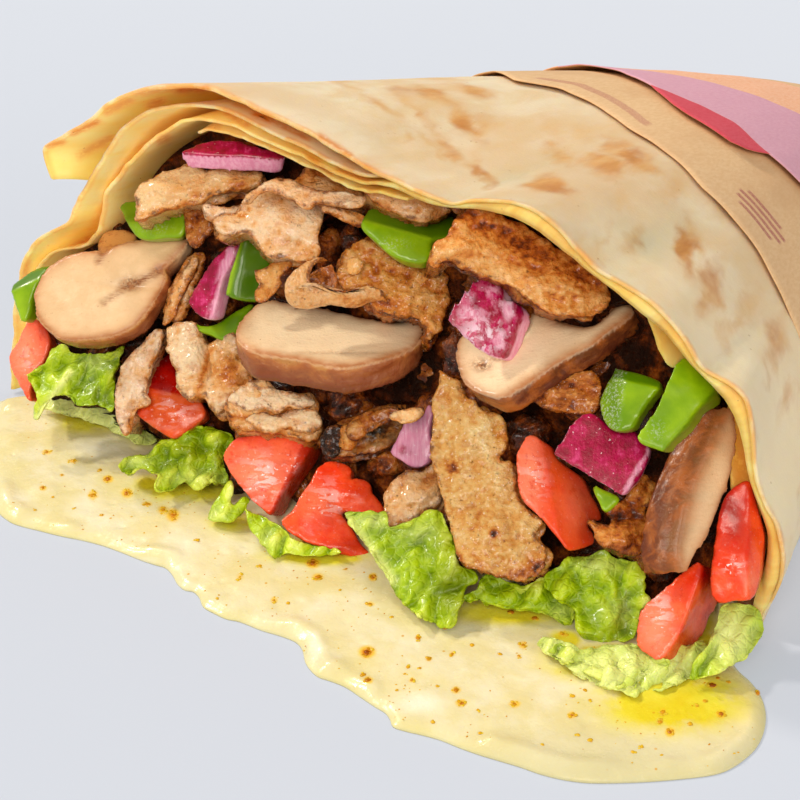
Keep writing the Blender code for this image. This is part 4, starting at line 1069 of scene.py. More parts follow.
def join_loose():
    """The smaller shreds and scraps, one mesh per kind."""
    for kind, parts in LOOSE.items():
        start = np.cumsum([0] + [len(p) for p, *_ in parts])
        faces = np.concatenate([f + start[k] for k, (_, f, *_) in enumerate(parts)])
        values = {key: np.concatenate([v[key] for _, _, v, _ in parts]) for key in parts[0][2]}
        add_mesh("scraps_" + kind, np.concatenate([p for p, *_ in parts]), faces, parts[0][3], values, ())


def shown_depth():
    """Depth of the nearest piece seen through each 3-point cell of the picture."""
    grid = np.full((270, 270), 1e9)
    for p in SHOWN:
        q = np.clip((picture(p) / 3).astype(int), 0, 268)
        np.minimum.at(grid, (q[:, 1], q[:, 0]), -((p - EYE) @ BACK))
    return grid


def behind(points, grid, gap):
    """How far these points must move back to be this far behind the pieces in front of them."""
    q = np.clip((picture(points) / 3).astype(int), 0, 268)
    front = grid[q[:, 1], q[:, 0]]
    depth = -((points - EYE) @ BACK)
    return np.where(front < 1e8, np.maximum(front + gap - depth, 0), 0)


class Slice:
    """A solid raised on an outline in the picture: the outline lies on a plane in the heap and runs back along a vector."""

    def __init__(self, name, marks, at, off, normal, back, seed, voxel=0.5, rear=0.9, ragged=0.0, ease=7, corners=False):
        self.name, self.seed, self.under, self.loose = name, seed, None, False
        self.normal = axes(normal) / np.linalg.norm(axes(normal))
        if isinstance(off, tuple):
            self.place = on_plane([at], (0, 0, off[1]), np.array([0, 0, 1.0]))[0]
        else:
            self.place = on_plane([at], HEAP_POINT + HEAP_NORMAL * off, HEAP_NORMAL)[0]
        a = RIGHT - self.normal * (RIGHT @ self.normal)
        self.a = a / np.linalg.norm(a)
        self.b = np.cross(self.normal, self.a)
        self.back = axes(back)
        flat = on_plane(marks, self.place, self.normal) - self.place
        flat = np.stack([flat @ self.a, flat @ self.b], axis=1)
        if not corners:
            flat = catmull(flat)
        flat = resample(flat, 0.6)
        if ragged:
            e = np.roll(flat, -1, 0) - np.roll(flat, 1, 0)
            out = np.stack([e[:, 1], -e[:, 0]], axis=1) / (np.linalg.norm(e, axis=1)[:, None] + 1e-9)
            q = np.concatenate([flat, np.full((len(flat), 1), seed * 3.1)], axis=1)
            flat = flat + out * (fbm(q, 2.6, 3, seed) * ragged)[:, None]
        self.outline = flat
        middle = flat.mean(axis=0)
        rings = []
        for w, scale in ((0, 1), (0.5, 1.0 - (1 - rear) * 0.3), (1, rear)):
            ring = middle + (flat - middle) * scale
            rings.append(self.place + ring[:, :1] * self.a + ring[:, 1:] * self.b + self.back * w)
        n = len(flat)
        points = np.concatenate(rings)
        faces = [list(range(n)), list(range(3 * n - 1, 2 * n - 1, -1))]
        for k in (0, 1):
            for i in range(n):
                j = (i + 1) % n
                faces.append([k * n + j, k * n + i, (k + 1) * n + i, (k + 1) * n + j])
        self.p, self.f = remeshed(points, faces, voxel)
        self.edges = edges_of(self.f)
        self.p = relax(self.p, self.edges, ease, 0.5)
        self.locate()

    def locate(self):
        basis = np.stack([self.a, self.b, self.back], axis=1)
        q = np.linalg.solve(basis, (self.p - self.place).T).T
        self.x, self.y, self.w = q.T
        self.d = inside_distance(q[:, :2], self.outline)
        self.n = normals(self.p, self.f)
        self.facing = self.n @ self.normal
        self.flat = np.stack([self.x, self.y, self.w * np.linalg.norm(self.back)], axis=1)
        self.face = smoothstep(0.30, 0.62, self.facing) * smoothstep(0.5, 0.25, self.w)

    def push(self, amount, along=None):
        self.p = self.p + (self.n if along is None else along) * np.asarray(amount)[:, None]

    def bulge(self, marks):
        """Raised or sunk places at picture points, towards the camera: (x, y, half width, half height, mm)."""
        q = picture(self.p)
        total = np.zeros(len(self.p))
        for x, y, a, b, h in marks:
            total += h * np.exp(-(((q[:, 0] - x) / a) ** 2 + ((q[:, 1] - y) / b) ** 2))
        self.push(total * (1 - 0.6 * np.clip(self.w, 0, 1)), BACK)

    def facets(self, lines):
        """Planes cut away on one side of picture lines: (x0, y0, x1, y1, slope, looks, strength), the cut side to the right
        hand of the way from the first point to the second. Gives how far each look applies."""
        q = picture(self.p)
        given = {}
        for x0, y0, x1, y1, slope, key, strength in lines:
            e = np.array([x1 - x0, y1 - y0], float)
            e /= np.linalg.norm(e)
            d = e[0] * (q[:, 1] - y0) - e[1] * (q[:, 0] - x0)
            depth = np.log1p(np.exp(np.clip(d, -40, 60) / 0.9)) * 0.9 / 5.5 * slope
            self.push(-depth * (1 - 0.7 * np.clip(self.w, 0, 1)), BACK)
            mask = strength * smoothstep(-0.8, 1.4, d)
            given[key] = np.maximum(given.get(key, 0), mask)
        return given

    def thin(self, reach, power=0.6, least=0.15):
        """The back is drawn in towards the face near the outline, so that the edge is thin."""
        keep = least + (1 - least) * np.clip(np.maximum(self.d, 0) / reach, 0, 1) ** power
        self.p = self.p - self.back * (np.clip(self.w, 0, 1.2) * (1 - keep))[:, None]

    def done(self, material, slot_name, values):
        if self.under is not None:
            need = behind(self.p, self.under, 0.7)
            soft = relax(need, self.edges, 8)
            self.p = self.p - BACK * np.maximum(need, soft)[:, None]
            self.p = relax(self.p, self.edges, 1, 0.3)
        self.p[:, 2] = np.maximum(self.p[:, 2], 0.5)
        self.n = normals(self.p, self.f)
        if self.under is None:
            SHOWN.append(self.p)
        values = {k: np.clip(v, 0, 1) if np.ndim(v) == 1 else v for k, v in values.items()}
        values["flat"] = self.flat
        if self.loose:
            LOOSE.setdefault(slot_name, []).append((self.p, self.f, values, material))
            return None
        return add_mesh("food_" + self.name, self.p, self.f, material, values, [self.name])


# ------------------------------------------------ looks of the food

def mushroom_material():
    g = Graph("mushroom_fried", Roughness=0.4)
    flat = g.attribute("flat", vector=True)
    skin, rim, burn, gill = g.attribute("skin"), g.attribute("rim"), g.attribute("burn"), g.attribute("gill")
    low = g.attribute("low")
    cloud = g.noise(4.5, 4, 0.6)
    fine = g.noise(0.5, 3, 0.6)
    fibre = g.noise(1.4, 4, 0.6, 0.3, vector=g.scaled(flat, (0.5, 1.2, 1.0), (0, 0, 0.4)))
    flesh = g.mix(g.remap(cloud, 0.3, 0.7), (216, 178, 130), (230, 195, 150))
    # Cut faces lightened where the slices lie in shade: painted light.
    flesh = g.mix(g.attribute("fair"), flesh, (252, 224, 180))
    flesh = g.mix(g.remap(fibre, 0.55, 0.75, 0, 0.4), flesh, (212, 164, 114))
    flesh = g.mix(g.math("MULTIPLY", g.attribute("tan"), g.remap(cloud, 0.3, 0.6, 0.35, 0.75)), flesh, (214, 160, 104))
    flesh = g.mix(g.math("MULTIPLY", rim, g.remap(fibre, 0.3, 0.6, 0.7, 1.0)), flesh, (170, 96, 44))
    grit = g.math("MULTIPLY", g.remap(g.noise(0.75, 3, 0.7), 0.66, 0.71), g.remap(g.noise(5, 2), 0.48, 0.6))
    flesh = g.mix(g.math("MULTIPLY", grit, 0.65), flesh, (170, 112, 62))
    lines = g.noise(0.6, 3, 0.6, 0.4, vector=g.scaled(flat, (0.4, 1.6, 1), (0, 0, 0.5)))
    flesh = g.mix(g.math("MULTIPLY", gill, g.remap(lines, 0.4, 0.6, 0.45, 1.0), clamp=True), flesh, (140, 84, 46))
    singe = g.math("MULTIPLY", burn, g.remap(g.noise(0.9, 4, 0.7), 0.35, 0.55), clamp=True)
    flesh = g.mix(singe, flesh, g.mix(g.remap(fine, 0.4, 0.6), (104, 50, 16), (176, 104, 44)))
    mottled = g.noise(3.2, 5, 0.6, 0.5, vector=g.scaled(flat, (0.5, 1.0, 1.0)))
    shade = g.math("ADD", low, g.math("MULTIPLY", g.math("SUBTRACT", mottled, 0.5), 2.3))
    rind = g.ramp(shade, (0.05, (214, 146, 76)), (0.25, (190, 114, 58)), (0.45, (160, 92, 52)), (0.7, (128, 62, 38)), (1.0, (84, 34, 18)))
    pits = g.remap(g.noise(0.8, 3, 0.7), 0.62, 0.70, 0.0, 0.5)
    rind = g.mix(pits, rind, (92, 42, 20))
    rind = g.mix(g.math("MULTIPLY", g.attribute("brown"), 0.85), rind, g.mix(g.remap(mottled, 0.36, 0.64), (78, 28, 16), (176, 96, 38)))
    g.set(Base_Color=g.mix(skin, flesh, rind))
    g.set(Roughness=g.remap(g.math("ADD", skin, g.math("MULTIPLY", cloud, 0.2)), 0.1, 1.1, 0.5, 0.26))
    relief = g.math("ADD", g.math("MULTIPLY", fine, 0.45), g.math("MULTIPLY", mottled, g.math("MULTIPLY", skin, 1.7)))
    relief = g.math("ADD", relief, g.math("MULTIPLY", fibre, 0.5))
    relief = g.math("SUBTRACT", relief, g.math("MULTIPLY", g.math("ADD", singe, gill), 0.5))
    g.set(Normal=g.bump(relief, 0.55, 0.4))
    g.volume(0.08, (1.0, 0.6, 0.35), 1.2)
    g.set(Coat_Weight=0.18, Coat_Roughness=0.2)
    return g.material


def tomato_material():
    g = Graph("tomato_cut", Roughness=0.22)
    deep, wet, skin, pale = g.attribute("deep"), g.attribute("wet"), g.attribute("skin"), g.attribute("pale")
    cloud = g.noise(4.0, 4, 0.55)
    fine = g.noise(0.6, 3, 0.6)
    flesh = g.mix(g.remap(cloud, 0.3, 0.7), (240, 50, 12), (252, 88, 36))
    flesh = g.mix(g.math("MULTIPLY", pale, 0.8), flesh, (255, 150, 110))
    flesh = g.mix(g.remap(g.noise(2.0, 5, 0.7), 0.52, 0.68, 0, 0.6), flesh, (220, 26, 6))
    red = g.mix(g.remap(cloud, 0.35, 0.65), (160, 2, 0), (200, 15, 2))
    orange = g.mix(g.remap(cloud, 0.35, 0.65), (206, 64, 14), (226, 92, 32))
    colour = g.mix(skin, flesh, orange)
    colour = g.mix(deep, colour, red)
    # Where the tomato is wet it gets painted sheen streaks and painted glints.
    streaks = g.noise(2.2, 4, 0.6, 0.3, vector=g.scaled(g.attribute("flat", vector=True), (0.5, 1.3, 1.0), (0, 0, 0.8)))
    painted_sheen = g.math("MULTIPLY", wet, g.remap(streaks, 0.50, 0.58), clamp=True)
    colour = g.mix(g.math("MULTIPLY", painted_sheen, 0.7), colour, (255, 214, 204))
    painted_glint = g.remap(g.noise(0.7, 3, 0.65), 0.62, 0.68)
    colour = g.mix(g.math("MULTIPLY", painted_glint, g.remap(wet, 0.0, 0.6, 0.1, 0.9), clamp=True), colour, (255, 236, 230))
    g.set(Base_Color=colour)
    g.set(Roughness=g.remap(g.noise(2.2, 3), 0.3, 0.7, 0.20, 0.36))
    grain = g.math("ADD", g.math("MULTIPLY", fine, 0.35), g.math("MULTIPLY", g.noise(1.6, 3, 0.5), 0.9))
    g.set(Normal=g.bump(g.math("MULTIPLY", grain, g.math("ADD", 0.6, g.math("MULTIPLY", wet, 1.6))), 0.5, 0.3))
    g.volume(0.15, (1.0, 0.25, 0.08), 2.0)
    g.set(Coat_Weight=0.25, Coat_Roughness=0.12)
    return g.material


def pepper_material():
    g = Graph("pepper_green", Roughness=0.28)
    cut, shine, dark = g.attribute("cut"), g.attribute("shine"), g.attribute("dark")
    cloud = g.noise(5.0, 3, 0.5)
    base = g.mix(g.remap(cloud, 0.3, 0.7), (112, 152, 0), (144, 180, 4))
    base = g.mix(g.math("MULTIPLY", dark, 0.85), base, (52, 98, 0))
    base = g.mix(g.math("MULTIPLY", cut, 0.8), base, (166, 198, 30))
    # Whitish specks where the pepper shines: painted highlights.
    speck = g.remap(g.noise(0.45, 3, 0.7), 0.5, 0.62)
    base = g.mix(g.math("MULTIPLY", shine, speck, clamp=True), base, (224, 228, 214))
    g.set(Base_Color=base)
    relief = g.math("ADD", g.math("MULTIPLY", g.noise(2.2, 3, 0.5), 0.6), g.math("MULTIPLY", g.noise(0.5, 3, 0.6), g.math("ADD", 0.15, g.math("MULTIPLY", shine, 1.5))))
    g.set(Normal=g.bump(relief, 0.4, 0.3))
    g.volume(0.05, (0.6, 1.0, 0.1), 1.0)
    g.set(Coat_Weight=0.3, Coat_Roughness=0.14)
    return g.material


def onion_material():
    g = Graph("onion_red", Roughness=0.25)
    flat = g.attribute("flat", vector=True)
    magenta, wet, white = g.attribute("magenta"), g.attribute("wet"), g.attribute("white")
    cloud = g.noise(2.6, 5, 0.65)
    fine = g.noise(0.5, 3, 0.7)
    veins = g.noise(0.8, 3, 0.6, 0.3, vector=g.scaled(flat, (1.4, 0.22, 1), (0, 0, 0.4)))
    pink = g.mix(g.remap(veins, 0.35, 0.65), (230, 140, 168), (240, 172, 190))
    pink = g.mix(g.math("MULTIPLY", white, g.remap(cloud, 0.3, 0.6), clamp=True), pink, (248, 224, 230))
    deep = g.ramp(g.remap(g.math("ADD", cloud, g.math("MULTIPLY", veins, 0.3)), 0.45, 0.85),
                  (0.0, (140, 0, 42)), (0.4, (166, 2, 58)), (0.8, (186, 12, 78)), (1.0, (212, 60, 116)))
    mottle = g.remap(g.noise(2.8, 4, 0.6), 0.42, 0.56)
    amount = g.math("MULTIPLY", g.remap(magenta, 0.05, 0.6), g.math("ADD", g.math("MULTIPLY", mottle, g.remap(magenta, 0.95, 0.5, 0.0, 0.7)), g.remap(magenta, 0.95, 0.5, 1.0, 0.3)), clamp=True)
    base = g.mix(amount, pink, deep)
    # Pale specks on the wet faces: painted glints.
    painted_sparkle = g.math("MULTIPLY", wet, g.remap(g.noise(0.8, 2, 0.6), 0.69, 0.74), clamp=True)
    # Whitish patches: the pale membrane, and on the lower face painted glints.
    membrane_and_glint = g.math("MULTIPLY", g.attribute("sheer"), g.remap(g.noise(2.0, 4, 0.65, 0.6), 0.46, 0.56), clamp=True)
    base = g.mix(g.math("MULTIPLY", membrane_and_glint, 0.85), base, (250, 226, 236))
    base = g.mix(g.math("MULTIPLY", painted_sparkle, 0.8), base, (250, 226, 232))
    g.set(Base_Color=base)
    g.set(Normal=g.bump(g.math("ADD", g.math("MULTIPLY", fine, g.math("ADD", 0.3, wet)), g.math("MULTIPLY", veins, 0.4)), 0.45, 0.28))
    g.volume(0.06, (1.0, 0.3, 0.4), 1.2)
    g.set(Coat_Weight=0.4, Coat_Roughness=0.12)
    return g.material


def lettuce_material():
    g = Graph("lettuce_leaf", Roughness=0.35)
    relief, pale, dark, thin = g.attribute("relief"), g.attribute("pale"), g.attribute("dark"), g.attribute("thin")
    cloud = g.noise(3.2, 4, 0.6)
    fine = g.noise(0.6, 3, 0.65)
    veins = g.cells(1.6, "DISTANCE_TO_EDGE")
    # The leaf's colour follows its relief: darker green in the folds and paler on the crests, painted shade and painted
    # highlight.
    t = g.math("ADD", g.math("MULTIPLY", relief, 0.55), g.math("MULTIPLY", cloud, 0.45))
    t = g.math("ADD", t, g.math("MULTIPLY", thin, 0.10))
    leaf = g.ramp(t, (0.20, (96, 126, 0)), (0.40, (142, 170, 0)), (0.56, (172, 194, 6)), (0.70, (200, 214, 50)), (0.88, (224, 230, 112)))
    leaf = g.mix(g.remap(veins, 0.0, 0.10, 0.16, 0.0), leaf, (208, 220, 80))
    leaf = g.mix(g.math("MULTIPLY", pale, 0.85), leaf, (232, 234, 140))
    # Dark spots and strokes at picture points, where the leaves lie in shadow: painted shade.
    leaf = g.mix(g.math("MULTIPLY", dark, 0.8), leaf, (84, 98, 0))
    g.set(Base_Color=leaf)
    height = g.math("ADD", g.math("MULTIPLY", fine, 0.35), g.math("MULTIPLY", g.noise(1.4, 3, 0.5), 0.9))
    height = g.math("ADD", height, g.math("MULTIPLY", g.remap(veins, 0.0, 0.22, 0.0, 1.0), 0.45))
    g.set(Normal=g.bump(height, 0.6, 0.45))
    g.set(Roughness=g.remap(cloud, 0.3, 0.7, 0.26, 0.46))
    g.volume(0.14, (0.7, 1.0, 0.1), 1.5)
    g.set(Coat_Weight=0.2, Coat_Roughness=0.16)
    return g.material


def meat_material(name="meat_fried", coat=0.35):
    g = Graph(name, Roughness=0.4)
    flat = g.attribute("flat", vector=True)
    relief, tone, char, glaze = g.attribute("relief"), g.attribute("tone"), g.attribute("char"), g.attribute("glaze")
    edge = g.attribute("edge")
    grain = g.noise(1.7, 5, 0.68, 0.5)
    fibre = g.noise(1.1, 4, 0.65, 0.4, vector=g.scaled(flat, (0.3, 1.3, 1.0), (0, 0, 0.3)))
    crumb = g.cells(0.8, "SMOOTH_F1", vector=g.place, smooth=0.4)
    patch = g.noise(4.6, 4, 0.6, 0.6)
    fine = g.noise(0.35, 3, 0.7)
    # Tone falls in the hollows of the relief: partly the crust's own grain, partly painted shade.
    t = g.math("ADD", tone, g.math("MULTIPLY", g.math("SUBTRACT", relief, 0.5), 0.62))
    t = g.math("ADD", t, g.math("MULTIPLY", g.math("SUBTRACT", grain, 0.5), 0.5))
    t = g.math("ADD", t, g.math("MULTIPLY", g.math("SUBTRACT", patch, 0.5), 0.5))
    t = g.math("ADD", t, g.math("MULTIPLY", g.math("SUBTRACT", fibre, 0.5), 0.3))
    t = g.math("SUBTRACT", t, g.math("MULTIPLY", g.math("SUBTRACT", crumb, 0.45), 0.16))
    colour = g.ramp(t, (0.0, (42, 12, 3)), (0.16, (112, 46, 10)), (0.30, (184, 98, 28)), (0.45, (224, 148, 72)), (0.6, (240, 184, 124)),
                    (0.78, (250, 210, 170)), (1.0, (253, 230, 204)))
    speck = g.remap(g.noise(0.9, 4, 0.75), 0.63, 0.70)
    colour = g.mix(g.math("MULTIPLY", speck, 0.6), colour, (104, 40, 12))
    rust = g.remap(g.noise(3.4, 4, 0.7), 0.53, 0.66)
    colour = g.mix(g.math("MULTIPLY", rust, 0.35), colour, (200, 96, 20))
    wine = g.math("MULTIPLY", g.remap(g.noise(3.8, 4, 0.65, 0.4), 0.54, 0.66), g.remap(g.attribute("gold"), 0.2, 0.6, 0.42, 0.1))
    colour = g.mix(wine, colour, (150, 78, 58))
    colour = g.mix(g.attribute("gold"), colour, g.mix(1.0, colour, (250, 226, 168), "MULTIPLY"))
    colour = g.mix(g.attribute("olive"), colour, g.mix(1.0, colour, (232, 232, 190), "MULTIPLY"))
    brown = g.remap(g.math("ADD", edge, g.math("MULTIPLY", g.math("SUBTRACT", g.noise(2.8, 4, 0.7), 0.5), 2.2)), 0.45, 1.0)
    crisp = g.mix(g.remap(g.noise(1.3, 4, 0.7), 0.40, 0.60), (98, 38, 8), (214, 122, 34))
    colour = g.mix(g.math("MULTIPLY", brown, 0.85), colour, crisp)
    # Near-white specks where the meat is glazed: painted highlights.
    painted_glitter = g.math("MULTIPLY", g.remap(g.noise(0.55, 2, 0.6), 0.655, 0.70), g.remap(glaze, 0.25, 0.9, 0.0, 0.55))
    colour = g.mix(painted_glitter, colour, (255, 238, 216))
    burnt = g.math("MULTIPLY", char, g.remap(g.noise(1.2, 4, 0.7), 0.25, 0.55, 0.35, 1.0), clamp=True)
    colour = g.mix(burnt, colour, (24, 9, 3))
    g.set(Base_Color=colour)
    g.set(Roughness=g.math("SUBTRACT", g.remap(grain, 0.35, 0.65, 0.44, 0.28), g.math("MULTIPLY", glaze, 0.14)))
    height = g.math("SUBTRACT", g.math("MULTIPLY", fine, 0.7), g.math("MULTIPLY", crumb, 0.55))
    height = g.math("ADD", height, g.math("MULTIPLY", grain, 1.1))
    height = g.math("ADD", height, g.math("MULTIPLY", fibre, 0.6))
    height = g.math("SUBTRACT", height, g.math("MULTIPLY", speck, 0.45))
    g.set(Normal=g.bump(height, 1.0, 0.5))
    g.volume(0.10, (1.0, 0.38, 0.12), 1.4)
    g.set(Coat_Weight=coat, Coat_Roughness=0.14)
    if not coat:
        g.set(Specular_IOR_Level=0.12)
    return g.material


LOOKS = {"mushroom": mushroom_material(), "tomato": tomato_material(), "pepper": pepper_material(), "onion": onion_material(),
         "lettuce": lettuce_material(), "meat": meat_material()}
CORE_LOOK = meat_material("meat_shadowed", 0.0)


def make_mushroom(s, o):
    s.push(fbm(s.p, 7, 2, s.seed) * 0.28)
    s.push(fbm(s.p, 2.2, 2, s.seed + 2) * 0.16 * (1 - 0.7 * s.face))
    wrinkle = fbm(np.stack([s.x * 0.35, s.y * 0.35, s.w * 9], axis=1), 2.4, 2, s.seed + 5, ridged=True)
    s.push(wrinkle * 0.32 * (1 - s.face) * smoothstep(1.0, 0.85, s.w))
    s.bulge(o.get("bulge", ()))
    burn = spots_at(s.p, o.get("burn", ()))
    gill = np.maximum(spots_at(s.p, o.get("gill", ())), lines_at(s.p, o.get("gills", ())))
    s.push(-burn * 0.5 - gill * 0.25)
    skin = np.maximum.reduce([1 - s.face, 0 * s.face + o.get("skin", 0.0), lines_at(s.p, o.get("skins", ()))])
    skin = skin * (1 - spots_at(s.p, o.get("bare", ())))
    if "fleshy" in o:
        skin = np.where(s.w > o["fleshy"], 0, skin)
    rim = np.exp(-(np.maximum(s.d, 0) / (0.85 + 0.5 * np.clip(fbm(s.p, 5, 2, s.seed + 8) + 0.3, 0, 1))) ** 1.5) * s.face
    # Each slice's own lightening of its cut face is painted light.
    s.done(LOOKS["mushroom"], "mushroom", {"skin": skin, "rim": rim, "tan": np.exp(-np.maximum(s.d, 0) / 3.0) * s.face,
                                           "brown": np.full(len(s.p), o.get("brown", 0.0)), "burn": burn, "gill": gill, "fair": np.full(len(s.p), o.get("fair", 0.0)), "low": np.clip(s.w, 0, 1) ** 0.8 * 0.8 + 0.04 + o.get("darker", 0.0)})


def make_tomato(s, o):
    s.push(fbm(s.p, 6, 2, s.seed) * 0.3)
    s.push(fbm(s.p, 1.6, 2, s.seed + 1) * 0.08)
    s.bulge(o.get("bulge", ()))
    cut = s.facets(o.get("facets", ()))
    deep = np.maximum(spots_at(s.p, o.get("deep", ())), lines_at(s.p, o.get("deeps", ())))
    deep = np.maximum.reduce([deep, (1 - s.face) * o.get("side_deep", 0.5), cut.get("deep", 0 * deep)])
    orange = np.maximum.reduce([1 - s.face, spots_at(s.p, o.get("orange", ())), cut.get("orange", 0 * deep)])
    pale = np.maximum.reduce([spots_at(s.p, o.get("pale", ())), lines_at(s.p, o.get("pales", ())), cut.get("pale", 0 * deep)])
    # The wet spots say where painted sheen and glints go.
    s.done(LOOKS["tomato"], "tomato", {"deep": deep, "wet": spots_at(s.p, o.get("wet", ())), "skin": orange, "pale": pale})


def make_pepper(s, o):
    s.push(fbm(s.p, 5, 2, s.seed) * 0.22)
    s.bulge(o.get("bulge", ()))
    given = s.facets(o.get("facets", ()))
    none = np.zeros(len(s.p))
    edge = np.exp(-np.maximum(s.d, 0) / 0.35) * s.face * o.get("edge", 0.6)
    cut = np.maximum.reduce([edge, (1 - s.face) * o.get("side", 0.35), lines_at(s.p, o.get("cuts", ())), given.get("cut", none)])
    s.done(LOOKS["pepper"], "pepper", {"cut": cut, "shine": np.maximum(spots_at(s.p, o.get("shine", ())), given.get("shine", none)),
                                       "dark": np.maximum.reduce([spots_at(s.p, o.get("dark", ())), lines_at(s.p, o.get("darks", ())),
                                                                  given.get("dark", none)])})


def make_onion(s, o):
    s.push(fbm(s.p, 4.5, 2, s.seed) * 0.3)
    s.bulge(o.get("bulge", ()))
    face, side = o.get("face", 1.0), o.get("side", 0.0)
    magenta = side + (face - side) * s.face
    magenta = np.maximum(magenta, spots_at(s.p, o.get("more", ())))
    magenta = magenta * (1 - np.maximum(spots_at(s.p, o.get("less", ())), lines_at(s.p, o.get("lesser", ()))))
    s.done(LOOKS["onion"], "onion", {"magenta": magenta, "wet": np.full(len(s.p), o.get("wet", 0.5)) * s.face, "white": spots_at(s.p, o.get("white", ())),
                                       "sheer": spots_at(s.p, o.get("sheer", ()))})


def make_lettuce(s, o):
    s.thin(2.0, 0.7, 0.2)
    s.bulge(o.get("bulge", ()))
    amp = o.get("amp", 1.0)
    c, n = math.cos(math.radians(o.get("turn", 60))), math.sin(math.radians(o.get("turn", 60)))
    lie = np.stack([(s.x * c + s.y * n) * 0.55, -s.x * n + s.y * c, s.w * 3], axis=1)
    bend = np.stack([fbm(lie, 5, 2, s.seed + k) for k in (3, 4, 5)], axis=1) * 1.6
    folds = 2 * np.abs(perlin((lie + bend) / 5.2, s.seed)) - 0.6
    s.push(folds * 2.1 * amp, BACK)
    s.n = normals(s.p, s.f)
    puff = 2 * np.abs(perlin((lie + bend) / 2.5, s.seed + 8)) - 0.5
    blister = 0.5 - cells(lie + bend * 0.4, 1.5, s.seed + 12)[0]
    small = fbm(lie, 1.1, 2, s.seed + 6)
    s.push((puff * 0.46 + small * 0.16 + blister * 0.42) * amp)
    curl = np.exp(-np.maximum(s.d, 0) / 1.6) * fbm(s.p, 3.2, 2, s.seed + 11)
    s.push(curl * 1.5 * amp, BACK)
    s.p = relax(s.p, s.edges, 1, 0.4)
    # Relief also sets the leaf's colour: painted shade in the folds, painted highlight on the crests.
    relief = np.clip(0.42 + folds * 0.42 + puff * 0.30 + blister * 0.35, 0, 1)
    s.done(LOOKS["lettuce"], "lettuce", {"relief": relief, "pale": np.maximum(spots_at(s.p, o.get("pale", ())), lines_at(s.p, o.get("ribs", ()))),
                                         "dark": np.maximum(spots_at(s.p, o.get("dark", ())), lines_at(s.p, o.get("darks", ()))),
                                         "thin": np.exp(-np.maximum(s.d, 0) / 1.0)})


def make_meat(s, o):
    rough, tone, granular = o.get("rough", 1.0), o.get("tone", 0.6), o.get("granular", 0.0)
    s.thin(o.get("thin", 1.8), 0.5, o.get("least", 0.35))
    s.bulge(o.get("bulge", ()))
    c, n = np.linalg.svd(s.outline - s.outline.mean(axis=0), full_matrices=False)[2][0]
    turn = math.radians(o.get("grain", 0))
    c, n = c * math.cos(turn) - n * math.sin(turn), n * math.cos(turn) + c * math.sin(turn)
    lie = np.stack([s.x * c + s.y * n, -s.x * n + s.y * c, s.w * 3], axis=1)
    s.push(fbm(lie * (0.6, 1, 1), 7, 2, s.seed) * o.get("sway", 1.1), BACK)
    s.n = normals(s.p, s.f)
    folds = fbm(lie * (0.4, 1, 1), 3.6, 2, s.seed + 9, ridged=True)
    fibre = fbm(lie * (0.28, 1, 1), 1.5, 2, s.seed + 4, ridged=True)
    lumps = fbm(s.p, o.get("lump", 4.2), 3, s.seed + 1)
    near, _ = cells(s.p, o.get("granule", 1.25), s.seed)
    pits = smoothstep(0.34, 0.12, cells(s.p, 2.6, s.seed + 7)[0]) * (1 - granular)
    h = lumps * (0.28 + 0.3 * granular) + (folds * 0.42 + fibre * 0.20) * (1 - 0.7 * granular) + (0.5 - near) * (0.07 + 0.3 * granular) - pits * 0.3
    s.push(h * rough)
    curl = np.exp(-np.maximum(s.d, 0) / 1.2) * fbm(s.p, 2.4, 2, s.seed + 11)
    s.push(curl * 1.1 * (1 - 0.5 * granular), BACK)
    relief = np.clip(0.5 + lumps * 0.25 + folds * 0.22 * (1 - granular) + fibre * 0.16 + (0.5 - near) * (0.1 + 0.4 * granular) - pits * 0.35, 0, 1)
    tones = tone + 0.20 * fbm(lie * (0.6, 1, 1), 5, 2, s.seed + 5)
    # Light and dark spots and strokes at picture points raise and lower the tone; many are painted light and shade,
    # such as the crepe rim's shadow across meat_big.
    tones = tones + spots_at(s.p, o.get("light", ())) - spots_at(s.p, o.get("dark", ()))
    tones = tones + lines_at(s.p, o.get("lights", ())) - lines_at(s.p, o.get("darks", ()))
    s.n = normals(s.p, s.f)
    # Sides and downward-facing parts darker: painted shade.
    tones = tones - 0.16 * (1 - s.face) - 0.20 * smoothstep(0.05, 0.8, -(s.n @ UP))
    char = np.maximum(spots_at(s.p, o.get("char", ())), lines_at(s.p, o.get("chars", ())))
    char = np.maximum(char, o.get("charred", 0.0))
    s.done(LOOKS["meat"], "meat", {"relief": relief, "tone": tones, "char": char, "glaze": np.maximum(spots_at(s.p, o.get("glaze", ())), o.get("glazed", 0.3)),
                                   "edge": np.exp(-(np.maximum(s.d, 0) / 0.9) ** 1.3) * s.face + 0.6 * (1 - s.face),
                                   "gold": np.maximum(o.get("gold", 0.5), spots_at(s.p, o.get("golds", ()))),
                                   "olive": np.full(len(s.p), o.get("olive", 0.0))})


